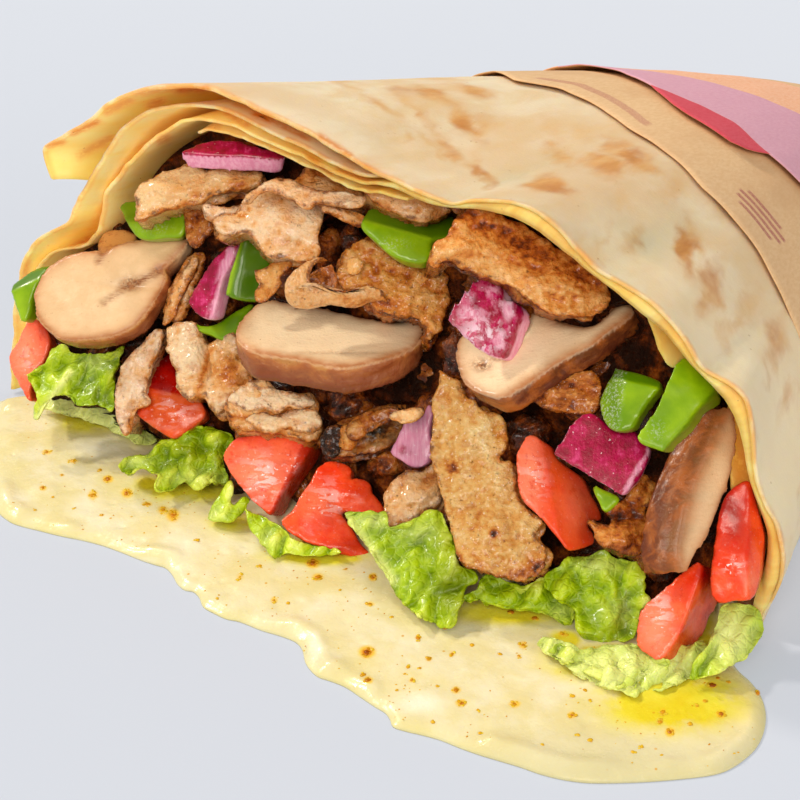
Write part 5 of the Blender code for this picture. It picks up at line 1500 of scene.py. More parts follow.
def meat_loop(name, at, off, seed):
    """A thin strip of meat curled into a loop that is open to the right, its lower edge running on as a band."""
    place = on_plane([at], HEAP_POINT + HEAP_NORMAL * off, HEAP_NORMAL)[0]
    v, turn = np.meshgrid(np.linspace(0, 1, 64), np.linspace(math.radians(-196), math.radians(138), 70), indexing="ij")
    deg = np.degrees(turn)
    band = smoothstep(-84, -66, deg) * (1 - smoothstep(18, 40, deg))
    along_it = v * (1.0 + 1.95 * band)
    t = np.clip(along_it, 0, 1)
    open_to = np.clip(along_it - 1, 0, None)
    soft = smoothstep(0, 1, t)
    cx = -3.4 + 5.4 * t + 5.9 * open_to
    cy = -1.5 + 1.5 * soft - 0.9 * smoothstep(0, 0.6, open_to) + 0.8 * smoothstep(0.9, 1.95, open_to) + 0.35 * np.sin(open_to * 5.2)
    deep = 1.3 + 1.7 * np.sqrt(np.clip(t * 1.6, 0, 1))
    tall = 1.9 + 2.1 * np.sqrt(np.clip(t * 1.5, 0, 1)) - 0.9 * smoothstep(0, 0.8, open_to)
    wobble = fbm(np.stack([t.ravel() * 6 + open_to.ravel() * 6, turn.ravel() * 2.2, 0 * t.ravel() + seed], axis=1), 1.6, 3, seed).reshape(t.shape)
    right = cx + 0.78 * deep * np.sin(turn) * (1 - 0.6 * smoothstep(0, 1, open_to))
    up = cy - tall * np.cos(turn) + 0.25 * wobble
    near = -0.7 * deep * np.sin(turn) + 0.5 * t + 0.3 * wobble
    near = near - 0.5 * open_to
    edge_in = np.minimum((1 - v) * (1.0 + 1.95 * band) * 6.0, np.minimum(deg + 196, 138 - deg) * 0.045)
    ragged = fbm(np.stack([turn.ravel() * 5, v.ravel() * 9, 0 * v.ravel()], axis=1), 1.2, 3, seed + 3).reshape(t.shape)
    right = right + ragged * 0.35 * smoothstep(0.85, 1.0, v)
    middle = place + right[..., None] * RIGHT + up[..., None] * UP + near[..., None] * BACK
    du, dv = np.gradient(middle, axis=1), np.gradient(middle, axis=0)
    n = np.cross(du, dv)
    n = n / (np.linalg.norm(n, axis=-1, keepdims=True) + 1e-9)
    spine = place + cx[..., None] * RIGHT + cy[..., None] * UP + (0.5 * t - 0.5 * open_to)[..., None] * BACK
    if np.mean(np.sum(n * (middle - spine), axis=-1)) < 0:
        n = -n
    thick = 0.34 + 0.14 * wobble - 0.18 * np.exp(-edge_in / 0.5)
    bumps = fbm(middle.reshape(-1, 3), 1.3, 3, seed + 5).reshape(t.shape) * 0.16
    outer = middle + n * (thick + bumps)[..., None]
    inner = middle - n * (thick - 0.5 * bumps)[..., None]
    points, faces, edge = shell_of(outer, inner)
    if np.mean(np.sum(normals(points, faces)[:t.size] * n.reshape(-1, 3), axis=1)) < 0:
        faces = np.asarray(faces)[:, ::-1]
    rim = np.exp(-(edge_in / 0.85) ** 1.3)
    shade = fbm(middle.reshape(-1, 3), 4, 2, seed + 8).reshape(t.shape)
    q = picture(middle.reshape(-1, 3)).reshape(t.shape + (2,))
    # Darker towards the lower right, by the loop's opening: painted shade.
    tone = 0.62 + 0.14 * shade - 0.18 * smoothstep(318, 345, q[..., 0]) * smoothstep(292, 300, q[..., 1]) * (v > 0.6)

    def both_sides(face_value, back_value, edge_value):
        return np.concatenate([face_value.ravel(), back_value.ravel(), edge_value.ravel()[edge[0] * t.shape[1] + edge[1]]])

    full = np.ones(t.shape)
    # The inside of the loop is darker: painted shade.
    values = {"relief": both_sides(0.5 + bumps, 0.4 + bumps, 0.5 * full), "tone": both_sides(tone, tone - 0.40 + 0.12 * (deg > 30), tone - 0.16),
              "char": both_sides(0.0 * full, 0.8 * (1 - smoothstep(0.35, 0.8, t)) * (deg < 30), 0.05 * full), "glaze": both_sides(0.5 * full, 0.8 * full, 0.6 * full),
              "edge": both_sides(1.3 * rim, 0.5 + 0.6 * rim, 1.0 * full), "gold": both_sides(0.35 * full, 0.7 * full, 0.9 * full)}
    values = {k: np.clip(x, 0, 1) for k, x in values.items()}
    values["flat"], values["olive"] = points, np.zeros(len(points))
    SHOWN.append(points)
    return add_mesh("food_" + name, points, faces, LOOKS["meat"], values, [name])


def make_wrap(s, o):
    s.push(fbm(s.p, 4, 2, s.seed) * 0.3)
    none = np.zeros(len(s.p))
    s.done(crepe_look, "crepe", {"inner": none + 1, "rim": 4 + 26 * np.clip(s.w, 0, 1), "toast": none,
                               # The mark darkens these scraps towards brown; on the scrap behind the right rim this is
                               # painted shade.
                               "mark": none + o.get("mark", 0.0)})


MAKERS = {"wrap": make_wrap, "mushroom": make_mushroom, "tomato": make_tomato, "pepper": make_pepper, "onion": make_onion, "lettuce": make_lettuce, "meat": make_meat}


# ------------------------------------------------ the pieces
# name, kind, (picture point, mm in front of the heap plane or ("z", mm)), normal, vector to the back, outline, looks

PIECES = [
    ("meat_flap", "meat", (503, 478), 3, (-.1, .25, 1), (1.2, -0.6, -3.2),
     [(440, 368), (447, 375), (455, 378), (460, 385), (465, 395), (475, 402), (485, 408), (495, 412), (503, 420), (506, 432), (505, 445),
      (500, 460), (510, 461), (515, 465), (516, 480), (518, 495), (525, 508), (535, 517), (542, 520), (540, 530), (535, 537), (542, 545),
      (547, 553), (546, 565), (540, 575), (530, 580), (515, 582), (500, 578), (485, 572), (475, 570), (465, 568), (457, 560), (453, 550),
      (452, 535), (448, 520), (443, 505), (440, 490), (437, 478), (432, 465), (430, 450), (432, 430), (432, 410), (432, 395), (437, 385),
      (438, 375)],
     dict(tone=0.60, ragged=0.5, gold=0.5, olive=0.85, granular=0.85, lump=2.2, granule=0.9, bulge=[(470, 430, 24, 60, 1.3), (500, 540, 26, 26, 1.0), (512, 490, 10, 30, -0.8), (445, 440, 9, 60, -0.9)],
          dark=[(453, 467, 8, 8, 0.5), (494, 533, 4, 4, 0.9), (530, 565, 14, 14, 0.25), (510, 450, 6, 14, 0.3)],
          light=[(480, 440, 20, 40, 0.12)], darks=[(546, 566, 500, 580, 7, 0.3), (453, 550, 465, 568, 5, 0.25)], rough=0.95, glazed=1.0)),
    ("onion_deep", "onion", (601, 456), 1, (.15, .25, 1), (1.6, -0.4, -3.4),
     [(552, 452), (562, 438), (570, 425), (580, 415), (590, 412), (600, 420), (608, 427), (617, 432), (632, 428), (640, 442), (650, 448),
      (645, 465), (638, 480), (630, 490), (622, 497), (610, 490), (590, 478), (570, 465), (553, 455)],
     dict(face=1.0, side=0.25, wet=1.0, lesser=[(650, 448, 622, 497, 3, 0.8)])),
    ("onion_square", "onion", (494, 316), 4, (.3, .15, 1), (3.4, -1.6, -4.2),
     [(446, 319), (452, 305), (460, 297), (467, 285), (475, 278), (487, 277), (497, 284), (500, 300), (512, 298), (518, 310), (513, 325),
      (508, 340), (498, 357), (480, 350), (468, 342), (458, 332)],
     dict(face=1.0, side=0.0, wet=0.8, white=[(505, 306, 9, 16, 0.9)], less=[(480, 318, 34, 40, 0.42), (508, 308, 8, 20, 1.0), (499, 340, 8, 18, 0.7), (492, 290, 9, 8, 0.6)],
          sheer=[(482, 336, 22, 16, 1.0), (470, 316, 10, 10, 0.6), (470, 296, 4, 10, 0.5), (497, 318, 5, 14, 0.6)], bulge=[(480, 312, 20, 20, 0.8)])),
    ("tomato_front", "tomato", (672, 611), 4, (-.35, .35, 1), (5.0, -2.0, -6.5),
     [(694, 562), (700, 563), (704, 575), (700, 592), (690, 612), (680, 632), (668, 650), (662, 659), (655, 660), (640, 650), (635, 640),
      (637, 620), (645, 603), (660, 590), (680, 573)],
     dict(side_deep=0.0, deep=[(704, 574, 8, 14, 1.0)], facets=[(670, 662, 701, 572, 1.0, "orange", 0.9)], wet=[(660, 612, 12, 20, 0.8)], pale=[(655, 625, 20, 36, 1.0)])),
    ("tomato_left", "tomato", (275, 476), 2, (-.1, .3, 1), (2.3, -1.4, -6),
     [(222, 455), (228, 443), (235, 437), (255, 434), (280, 436), (300, 440), (315, 442), (305, 458), (290, 480), (278, 500), (270, 515),
      (262, 510), (250, 500), (238, 485), (228, 470)],
     dict(side_deep=0.15, wet=[(264, 478, 22, 20, 1.0), (290, 465, 8, 8, 1.0)], pale=[(260, 470, 34, 28, 0.9)], deep=[(240, 438, 16, 4, 0.6)],
          facets=[(268, 516, 304, 441, 0.9, "deep", 0.55)], bulge=[(255, 470, 22, 20, 0.5)])),
    ("tomato_mid", "tomato", (340, 505), 1, (.1, .35, 1), (1.0, -1.6, -5.5),
     [(320, 465), (330, 460), (345, 463), (352, 470), (345, 480), (360, 478), (370, 483), (372, 492), (380, 500), (385, 512), (365, 515),
      (340, 510), (345, 520), (352, 530), (362, 545), (372, 555), (375, 560), (355, 558), (330, 550), (305, 542), (290, 533), (280, 521),
      (290, 510), (300, 495), (310, 480)],
     dict(side_deep=0.3, wet=[(330, 500, 20, 18, 0.7)], pale=[(318, 500, 20, 18, 0.45)], deep=[(345, 545, 26, 7, 0.6), (355, 492, 12, 10, 0.5)],
          bulge=[(318, 505, 20, 24, 1.0), (352, 492, 14, 9, 0.9), (345, 545, 22, 8, 0.7)])),
    ("tomato_right", "tomato", (556, 490), 0, (.35, .2, 1), (1.5, -0.5, -6),
     [(515, 458), (520, 442), (527, 434), (533, 434), (540, 440), (552, 448), (553, 455), (565, 465), (575, 472), (585, 480), (592, 495),
      (600, 510), (602, 522), (590, 520), (588, 528), (598, 540), (590, 547), (573, 551), (565, 548), (550, 530), (537, 515), (525, 505),
      (518, 490), (516, 470)],
     dict(side_deep=0.2, pale=[(530, 475, 14, 40, 1.0), (575, 505, 16, 26, 0.6)], facets=[(562, 548, 541, 438, 0.35, "orange", 0.4)], wet=[(533, 480, 13, 22, 0.6)],
          bulge=[(580, 520, 12, 20, 0.8)])),
    ("tomato_edge", "tomato", (737, 545), -2, (-.1, .1, 1), (1.5, -0.6, -6.5),
     [(745, 480), (751, 483), (755, 497), (760, 512), (766, 531), (766, 552), (762, 576), (755, 597), (744, 601), (732, 601),
      (719, 604), (711, 594), (710, 578), (712, 552), (716, 528), (722, 503), (731, 488)],
     dict(side_deep=0.6, facets=[(748, 602, 749, 482, 0.8, "orange", 0.45)], deep=[(730, 510, 24, 48, 1.0), (745, 500, 16, 24, 0.9)], pale=[(752, 582, 7, 10, 0.9)],
          wet=[(733, 566, 10, 7, 1)], bulge=[(735, 560, 18, 30, 1.2)])),
    ("mushroom_edge", "mushroom", (693, 500), 1, (.45, .05, 1), (-6.6, -0.9, -2.6),
     [(729, 406), (735, 412), (739, 430), (738, 448), (732, 480), (723, 503), (712, 530), (697, 558), (688, 572), (681, 570), (678, 548),
      (683, 516), (691, 487), (703, 457), (714, 434), (722, 418)],
     dict(rear=0.97, fair=0.45, brown=0.9, darker=0.1, gill=[(705, 500, 40, 90, 0.12)],
          skins=[(716, 402, 701, 434, 20, 1.0), (701, 434, 679, 487, 22, 1.0), (679, 487, 665, 539, 22, 1.0), (665, 539, 666, 580, 20, 1.0)])),
    ("mushroom_mid", "mushroom", (332, 348), 5, (0, 1.15, .8), (0.3, -5.8, -1.5),
     [(235, 335), (237, 325), (243, 315), (255, 305), (270, 300), (285, 300), (300, 304), (320, 307), (345, 312), (370, 318), (395, 318),
      (415, 318), (424, 326), (422, 337), (412, 347), (395, 354), (375, 360), (350, 365), (330, 364), (300, 358), (275, 354), (250, 349),
      (240, 342)],
     dict(rear=0.93, fair=0.9, brown=0.35, gill=[(395, 320, 12, 4, 1.0), (250, 325, 8, 8, 0.3)], burn=[(330, 352, 50, 1.5, 0.3)], bulge=[(395, 320, 10, 4, -1.0)])),
    ("mushroom_right", "mushroom", (556, 358), 0, (-.35, .75, .8), (2.5, -3.0, -3),
     [(456, 352), (460, 335), (480, 325), (510, 318), (540, 309), (550, 315), (565, 322), (585, 326), (600, 320), (610, 308), (625, 303),
      (633, 308), (625, 318), (605, 333), (590, 345), (570, 355), (545, 370), (520, 387), (500, 397), (480, 393), (465, 383), (458, 370)],
     dict(rear=0.97, fair=1.0, darker=0.2, brown=1.0, burn=[(482, 364, 9, 6, 1.0), (497, 358, 8, 3, 0.5)], gill=[(560, 322, 18, 5, 0.6)])),
    ("mushroom_left", "mushroom", (111, 293), 4, (-.2, .35, 1), (1.4, -2.0, -4.6),
     [(187, 241), (183, 236), (160, 237), (140, 239), (120, 242), (110, 247), (103, 252), (100, 250), (85, 251), (70, 254), (55, 262),
      (45, 270), (38, 280), (33, 295), (35, 310), (40, 322), (50, 332), (62, 339), (85, 340), (100, 338), (115, 335), (135, 325),
      (148, 310), (157, 297), (164, 284), (166, 273), (160, 268), (165, 266), (175, 256), (187, 244)],
     dict(rear=0.97, brown=0.35, burn=[(132, 283, 11, 7, 0.8), (158, 270, 6, 5, 0.6)], gills=[(162, 270, 122, 289, 4.5, 1.0), (122, 289, 104, 303, 4, 0.7), (104, 250, 98, 262, 4, 0.8)], bulge=[(150, 305, 22, 16, 0.6), (135, 286, 26, 5, -0.9)],
          bare=[(175, 250, 24, 14, 1.0)])),
    ("pepper_right", "pepper", (678, 404), 2, (.2, .2, 1), (2.0, -1.2, -4.4),
     [(679, 358), (692, 361), (718, 392), (712, 400), (700, 408), (690, 425), (672, 440), (663, 451), (650, 447), (637, 442), (638, 432),
      (650, 415), (662, 395), (670, 375)],
     dict(cuts=[(637, 440, 665, 385, 2.2, 0.9)], facets=[(672, 440, 718, 385, 1.1, "dark", 0.85)], shine=[(655, 430, 9, 10, 0.3)], edge=0.3)),
    ("pepper_right_b", "pepper", (630, 400), -1, (-.3, .3, 1), (1.6, -1.0, -4.4),
     [(601, 400), (605, 390), (612, 375), (617, 367), (625, 369), (640, 373), (655, 378), (662, 384), (650, 400), (640, 415), (632, 428),
      (618, 431), (608, 427), (601, 410)],
     dict(facets=[(662, 389, 620, 379, 1.0, "dark", 0.9), (626, 378, 619, 431, 0.8, "shine", 0.4)], dark=[(612, 405, 10, 24, 0.5)], edge=0.3)),
    ("meat_big", "meat", (524, 268), 3, (.2, .25, 1), (1.0, -0.4, -3.6),
     [(427, 262), (432, 250), (433, 243), (445, 236), (450, 226), (455, 215), (470, 206), (485, 210), (510, 218), (535, 232), (555, 245),
      (580, 262), (600, 278), (612, 295), (607, 307), (600, 313), (590, 318), (575, 316), (560, 317), (550, 313), (540, 309), (530, 300),
      (515, 290), (495, 280), (480, 275), (465, 268), (450, 260), (440, 262), (430, 268)],
     dict(tone=0.49, ragged=0.4, gold=0.9, granular=1.0, lump=2.8, rough=1.3, bulge=[(460, 250, 20, 10, 1.2), (540, 285, 50, 16, 1.1), (520, 235, 40, 8, -0.8)],
          # The dark stroke is the crepe rim's shadow across the top of the slice, the light one its sunlit lower edge:
          # painted shade and painted light.
          darks=[(462, 212, 600, 280, 12, 0.2)], lights=[(440, 254, 590, 305, 12, 0.12)], glazed=0.3)),
    ("meat_wing", "meat", (428, 497), 0, (-.2, .3, 1), (0.5, -0.8, -3),
     [(383, 495), (390, 485), (400, 475), (410, 470), (420, 472), (435, 465), (440, 480), (440, 500), (435, 508), (425, 512), (410, 520),
      (395, 525), (385, 528), (378, 527), (385, 515), (383, 505)],
     dict(tone=0.62, granular=0.4, bulge=[(410, 495, 18, 18, 0.8)], dark=[(432, 475, 12, 10, 0.3)], glazed=0.35)),
    ("lettuce_mid", "lettuce", (412, 572), ("z", 9), (-.15, .5, 1), (0.8, -1.6, -3),
     [(343, 512), (360, 510), (378, 512), (388, 512), (385, 522), (395, 527), (410, 520), (425, 512), (440, 510), (445, 520), (452, 535),
      (455, 550), (460, 565), (475, 572), (478, 580), (465, 590), (462, 600), (455, 622), (445, 630), (430, 622), (415, 615), (400, 602),
      (392, 590), (385, 575), (375, 560), (365, 545), (355, 532), (348, 522)],
     dict(amp=1.1, ribs=[(350, 520, 392, 580, 6, 0.7)], pale=[(372, 520, 18, 8, 0.5), (420, 530, 20, 10, 0.3)],
          dark=[(450, 590, 22, 30, 0.9), (440, 545, 10, 14, 0.4)])),
    ("lettuce_right", "lettuce", (600, 595), 1, (-.1, .35, 1), (0.6, -1.2, -3.4),
     [(541, 581), (550, 570), (562, 562), (572, 556), (590, 556), (600, 550), (608, 550), (615, 557), (625, 560), (643, 562), (645, 575),
      (645, 590), (650, 600), (643, 605), (638, 620), (637, 635), (630, 640), (610, 642), (600, 645), (590, 648), (583, 640), (578, 625),
      (575, 610), (565, 603), (555, 598)],
     dict(amp=1.0, pale=[(600, 565, 24, 8, 0.4), (620, 612, 16, 12, 0.3)], dark=[(595, 625, 14, 10, 0.3)])),
    ("lettuce_low", "lettuce", (618, 660), ("z", 4.6), (-.1, .9, 1), (0.3, -1.6, -2.4),
     [(548, 650), (560, 643), (580, 650), (600, 650), (610, 645), (640, 645), (655, 652), (668, 662), (660, 674), (645, 678), (632, 688),
      (620, 685), (605, 682), (590, 675), (572, 668), (556, 658)],
     dict(amp=1.25, ragged=1.1, pale=[(615, 662, 60, 24, 0.9)])),
    ("lettuce_edge", "lettuce", (728, 637), 0, (.2, .5, 1), (0.3, -1.2, -3),
     [(722, 606), (735, 602), (750, 604), (762, 610), (765, 630), (758, 642), (748, 656), (738, 662), (725, 668), (708, 674), (692, 680),
      (690, 668), (700, 652), (712, 638), (718, 620)],
     dict(amp=0.9, pale=[(730, 636, 24, 32, 1.0)])),
    ("lettuce_between", "lettuce", (520, 592), ("z", 6.5), (0, .5, 1), (0.3, -1.6, -2.6),
     [(462, 600), (468, 592), (475, 590), (478, 580), (485, 572), (495, 572), (505, 580), (520, 585), (532, 582), (545, 575), (555, 590),
      (575, 605), (575, 620), (568, 627), (558, 620), (545, 612), (530, 610), (515, 608), (500, 605), (485, 603), (475, 598), (465, 604)],
     dict(amp=0.9, dark=[(480, 590, 12, 10, 0.5), (520, 590, 24, 6, 0.4)], pale=[(560, 612, 12, 8, 0.4)])),
    ("meat_crust", "meat", (622, 520), -1, (.1, .2, 1), (1.0, -0.8, -3.4),
     [(588, 520), (600, 525), (612, 526), (606, 512), (612, 506), (620, 502), (628, 490), (634, 478), (645, 472), (652, 480), (658, 482),
      (655, 495), (648, 503), (642, 510), (648, 518), (650, 530), (647, 545), (640, 553), (630, 555), (618, 553), (605, 547), (597, 540),
      (592, 530)],
     dict(tone=0.35, ragged=0.6, gold=1.0, granular=0.6, bulge=[(620, 540, 24, 12, 1.3), (640, 490, 9, 14, 1.0), (625, 520, 24, 5, -1.0)],
          darks=[(600, 522, 645, 512, 5, 0.5)], light=[(615, 540, 14, 8, 0.1)], rough=1.1, glazed=0.4)),
    ("meat_chunk", "meat", (203, 362), 1, (-.2, .2, 1), (1.6, -1.2, -5.5),
     [(165, 325), (180, 325), (195, 322), (200, 335), (210, 343), (222, 340), (235, 335), (240, 350), (245, 365), (252, 378), (245, 390),
      (235, 395), (225, 408), (215, 412), (205, 400), (197, 392), (188, 397), (180, 385), (175, 370), (170, 355), (167, 340)],
     dict(tone=0.80, gold=0.6, grain=70, bulge=[(190, 355, 14, 22, 1.6), (226, 372, 16, 22, 1.4), (208, 366, 5, 26, -1.6)], darks=[(212, 345, 198, 392, 4, 0.4)],
          dark=[(230, 374, 18, 26, 0.62)], golds=[(230, 372, 20, 28, 1.0)], glaze=[(230, 372, 20, 28, 1.0)], light=[(188, 352, 12, 22, 0.12)], rough=1.35, ragged=0.8)),
    ("meat_chunk_b", "meat", (288, 408), 0, (0, .2, 1), (1.0, -1.6, -5.5),
     [(250, 382), (262, 384), (275, 390), (290, 395), (308, 395), (315, 400), (318, 412), (318, 425), (315, 438), (300, 438), (280, 433),
      (255, 430), (235, 426), (225, 412), (228, 400), (240, 390)],
     dict(tone=0.62, ragged=1.0, granular=0.3, gold=0.7, bulge=[(265, 402, 30, 10, 1.6), (280, 420, 34, 4, -1.3), (240, 400, 8, 14, -0.8), (300, 405, 8, 10, 0.8)],
          darks=[(228, 416, 316, 424, 4, 0.32), (262, 386, 256, 408, 3, 0.2)], rough=1.6, glazed=0.5)),
    ("meat_char", "meat", (362, 430), -2, (.1, .2, 1), (0.6, -0.8, -4.4),
     [(322, 440), (325, 430), (332, 424), (343, 418), (360, 412), (380, 408), (400, 406), (418, 408), (425, 414), (418, 424), (405, 430),
      (395, 440), (385, 448), (370, 452), (350, 456), (335, 456), (328, 455)],
     dict(tone=0.36, charred=0.35, granular=0.5, char=[(333, 440, 11, 16, 1.0), (375, 432, 30, 16, 1.0)], light=[(405, 415, 16, 6, 0.35), (345, 438, 6, 10, 0.3)],
          rough=1.2, ragged=0.4)),
    ("onion_pale", "onion", (413, 436), -3, (-.3, .1, 1), (0.8, -0.8, -3),
     [(390, 452), (400, 430), (405, 422), (420, 417), (428, 402), (433, 410), (430, 430), (432, 445), (430, 460), (420, 468), (410, 467),
      (400, 460)],
     dict(face=0.18, side=0.1, wet=0.6, more=[(405, 450, 10, 8, 0.5)])),
    ("meat_strip", "meat", (139, 383), 3, (-.3, .1, 1), (1.2, -0.4, -3),
     [(160, 328), (163, 330), (160, 345), (152, 360), (147, 375), (143, 395), (150, 400), (145, 405), (135, 408), (130, 420), (129, 433),
      (125, 437), (120, 430), (118, 420), (115, 400), (116, 385), (120, 370), (130, 355), (145, 340), (155, 328)],
     dict(tone=0.74, rough=0.7, gold=0.3, bulge=[(130, 385, 9, 30, 0.9)], dark=[(140, 370, 8, 20, 0.15)], glazed=0.3)),
    ("tomato_small", "tomato", (172, 398), -1, (-.2, .2, 1), (1.2, -1.2, -6.5),
     [(145, 368), (160, 358), (168, 352), (174, 372), (180, 385), (190, 393), (200, 400), (206, 415), (195, 425), (175, 438), (165, 435),
      (150, 425), (135, 412), (142, 405), (150, 400), (143, 395), (145, 380)],
     dict(side_deep=0.3, facets=[(208, 402, 140, 386, 0.6, "deep", 1.0)], orange=[(175, 412, 34, 26, 1.6)], wet=[(172, 410, 20, 14, 0.6)],
          bulge=[(172, 410, 20, 14, 1.0)])),
    ("lettuce_left", "lettuce", (78, 383), 2, (-.3, .3, 1), (0.6, -0.8, -3),
     [(27, 375), (35, 368), (45, 360), (48, 350), (55, 345), (62, 343), (70, 350), (75, 352), (90, 353), (110, 352), (125, 345), (120, 360),
      (115, 375), (115, 400), (113, 412), (105, 408), (95, 405), (85, 405), (75, 407), (70, 395), (55, 395), (45, 405), (35, 422),
      (32, 410), (37, 400), (33, 388), (27, 378)],
     dict(amp=1.0, ribs=[(35, 420, 70, 372, 3.5, 0.9)], pale=[(95, 362, 16, 8, 0.3)], dark=[(100, 395, 14, 10, 0.4)])),
    ("tomato_far", "tomato", (30, 360), 0, (-.4, .2, 1), (1.6, -0.6, -6.5),
     [(22, 330), (30, 318), (40, 322), (48, 333), (50, 345), (45, 360), (35, 375), (30, 392), (32, 402), (27, 400), (18, 385), (8, 358),
      (18, 340)],
     dict(side_deep=0.1, deep=[(44, 330, 6, 8, 0.4)], pale=[(26, 358, 20, 36, 1.0)], wet=[(30, 362, 8, 14, 0.5)], bulge=[(28, 355, 12, 22, 0.9)])),
    ("pepper_far", "pepper", (31, 293), 1, (-.4, .2, 1), (1.2, -0.8, -4),
     [(10, 286), (20, 278), (35, 267), (50, 265), (45, 272), (37, 285), (32, 300), (31, 310), (25, 322), (20, 320), (15, 305)],
     dict(facets=[(52, 272, 12, 291, 0.9, "dark", 0.9)], cuts=[(18, 300, 24, 320, 6, 0.6)], edge=0.3)),
    ("lettuce_curl", "lettuce", (177, 458), 2, (-.2, .4, 1), (0.6, -1.4, -3.4),
     [(118, 468), (122, 457), (140, 455), (150, 450), (160, 440), (175, 438), (190, 428), (200, 425), (215, 428), (228, 432), (235, 440),
      (225, 452), (222, 460), (225, 470), (230, 480), (225, 485), (210, 482), (195, 488), (185, 482), (175, 487), (160, 492), (155, 485),
      (160, 475), (150, 472), (140, 468), (125, 475)],
     dict(amp=1.25, pale=[(190, 478, 30, 8, 0.4), (135, 462, 14, 6, 0.5)], dark=[(190, 452, 30, 9, 0.8), (175, 464, 20, 6, 0.7)])),
    ("lettuce_stub", "lettuce", (229, 503), ("z", 6.5), (-.2, .4, 1), (0.3, -1.2, -2.8),
     [(206, 518), (212, 505), (220, 490), (230, 478), (234, 490), (230, 505), (240, 500), (245, 495), (250, 500), (243, 510), (238, 515),
      (225, 523), (212, 522)],
     dict(amp=0.7, pale=[(215, 515, 10, 8, 0.5)])),
    ("lettuce_stub_b", "lettuce", (283, 533), ("z", 5.5), (-.2, .6, 1), (0.3, -1.4, -2.8),
     [(244, 506), (252, 512), (262, 516), (275, 522), (285, 530), (295, 540), (310, 545), (330, 548), (345, 552), (320, 555), (300, 555),
      (285, 552), (275, 560), (270, 555), (262, 545), (255, 535), (248, 525)],
     dict(amp=0.8, pale=[(270, 540, 14, 10, 0.4)])),
    ("onion_strip", "onion", (212, 277), 0, (-.5, .1, 1), (2.0, -0.6, -3.4),
     [(238, 238), (233, 262), (222, 280), (218, 300), (212, 319), (200, 317), (190, 308), (187, 303), (192, 292), (198, 280), (205, 268),
      (213, 257), (222, 250)],
     dict(face=1.0, side=0.15, wet=1.0, lesser=[(231, 250, 213, 318, 6, 0.95)])),
    ("pepper_mid", "pepper", (249, 270), 0, (-.2, .1, 1), (0.9, -0.6, -4.2),
     [(241, 235), (250, 240), (262, 250), (275, 258), (288, 258), (280, 268), (272, 278), (266, 288), (260, 296), (257, 301), (240, 300),
      (225, 295), (227, 285), (232, 265), (238, 245)],
     dict(dark=[(255, 268, 44, 50, 1.3)], cuts=[(240, 240, 228, 292, 2.5, 0.9)], facets=[(236, 300, 247, 238, 0.5, "dark", 0.5)], edge=0.2)),
    ("pepper_low", "pepper", (221, 325), -2, (-.2, .5, 1), (0.6, -0.8, -3.8),
     [(190, 320), (200, 325), (212, 325), (225, 318), (240, 308), (255, 303), (240, 325), (233, 338), (220, 340), (210, 335), (200, 332),
      (193, 325)],
     dict(dark=[(225, 320, 34, 10, 0.7)], edge=0.3)),
    ("meat_curl", "meat", (287, 228), 3, (-.1, .3, 1), (0.5, -0.6, -2.8),
     [(243, 203), (248, 193), (258, 187), (268, 180), (280, 178), (292, 180), (305, 185), (318, 192), (324, 205), (321, 225), (318, 240),
      (320, 255), (305, 262), (290, 258), (270, 257), (262, 250), (255, 240), (245, 232), (240, 233), (228, 236), (218, 232), (213, 222),
      (218, 215), (235, 212)],
     dict(tone=0.71, gold=0.5, glazed=1.0, bulge=[(285, 222, 26, 24, 1.6), (228, 226, 12, 7, 0.8), (255, 240, 6, 10, -0.7)],
          dark=[(262, 248, 22, 9, 0.3), (305, 252, 18, 8, 0.3), (318, 215, 5, 24, 0.2)], rough=0.6, ragged=0.3, sway=0.5)),
    ("meat_fringe", "meat", (312, 197), 1, (0, .7, 1), (0.3, -1.0, -2.6),
     [(290, 184), (296, 178), (302, 172), (306, 165), (318, 163), (325, 170), (335, 180), (350, 188), (362, 193), (368, 200), (362, 207),
      (345, 208), (330, 206), (320, 203), (308, 195)],
     dict(tone=0.58, rough=0.8, ragged=0.4, dark=[(350, 198, 20, 8, 0.16)], glazed=0.5)),
    ("meat_top", "meat", (203, 190), 2, (-.1, .4, 1), (0.5, -1.0, -3.6),
     [(133, 222), (136, 210), (135, 200), (137, 188), (150, 180), (165, 172), (180, 167), (195, 163), (205, 170), (220, 168), (237, 164),
      (245, 170), (258, 168), (262, 180), (250, 190), (235, 188), (225, 192), (210, 196), (200, 202), (185, 202), (170, 208), (155, 213),
      (140, 220)],
     dict(tone=0.80, ragged=0.6, granular=0.35, glazed=0.6, gold=0.8, golds=[(225, 180, 20, 10, 1.0)], bulge=[(170, 188, 26, 10, 1.3), (225, 180, 22, 8, 1.0), (203, 178, 5, 14, -0.8)], rough=1.0,
          darks=[(140, 215, 200, 198, 4, 0.25), (196, 196, 256, 182, 6, 0.3)], dark=[(238, 182, 14, 7, 0.25)])),
    ("onion_top", "onion", (237, 154), 2, (0, .9, 1), (0.3, -3.0, -2.0),
     [(180, 152), (190, 146), (205, 140), (220, 138), (240, 140), (255, 145), (270, 149), (283, 152), (284, 157), (270, 158), (255, 156),
      (225, 155), (200, 153)],
     dict(face=1.0, side=0.12, wet=0.4)),
    ("pepper_top_left", "pepper", (154, 220), -1, (-.3, .2, 1), (0.6, -0.8, -4.2),
     [(116, 206), (123, 200), (137, 200), (136, 210), (134, 222), (150, 215), (170, 209), (180, 203), (188, 203), (187, 215), (183, 235),
      (165, 238), (140, 239), (130, 228), (120, 210)],
     dict(facets=[(188, 212, 134, 222, 0.8, "dark", 0.55)], cuts=[(125, 225, 180, 232, 6, 0.4)], shine=[(155, 228, 14, 5, 0.3)], edge=0.3)),
    ("meat_rim", "meat", (408, 203), 1, (0, .1, 1), (0.3, -0.6, -3.6),
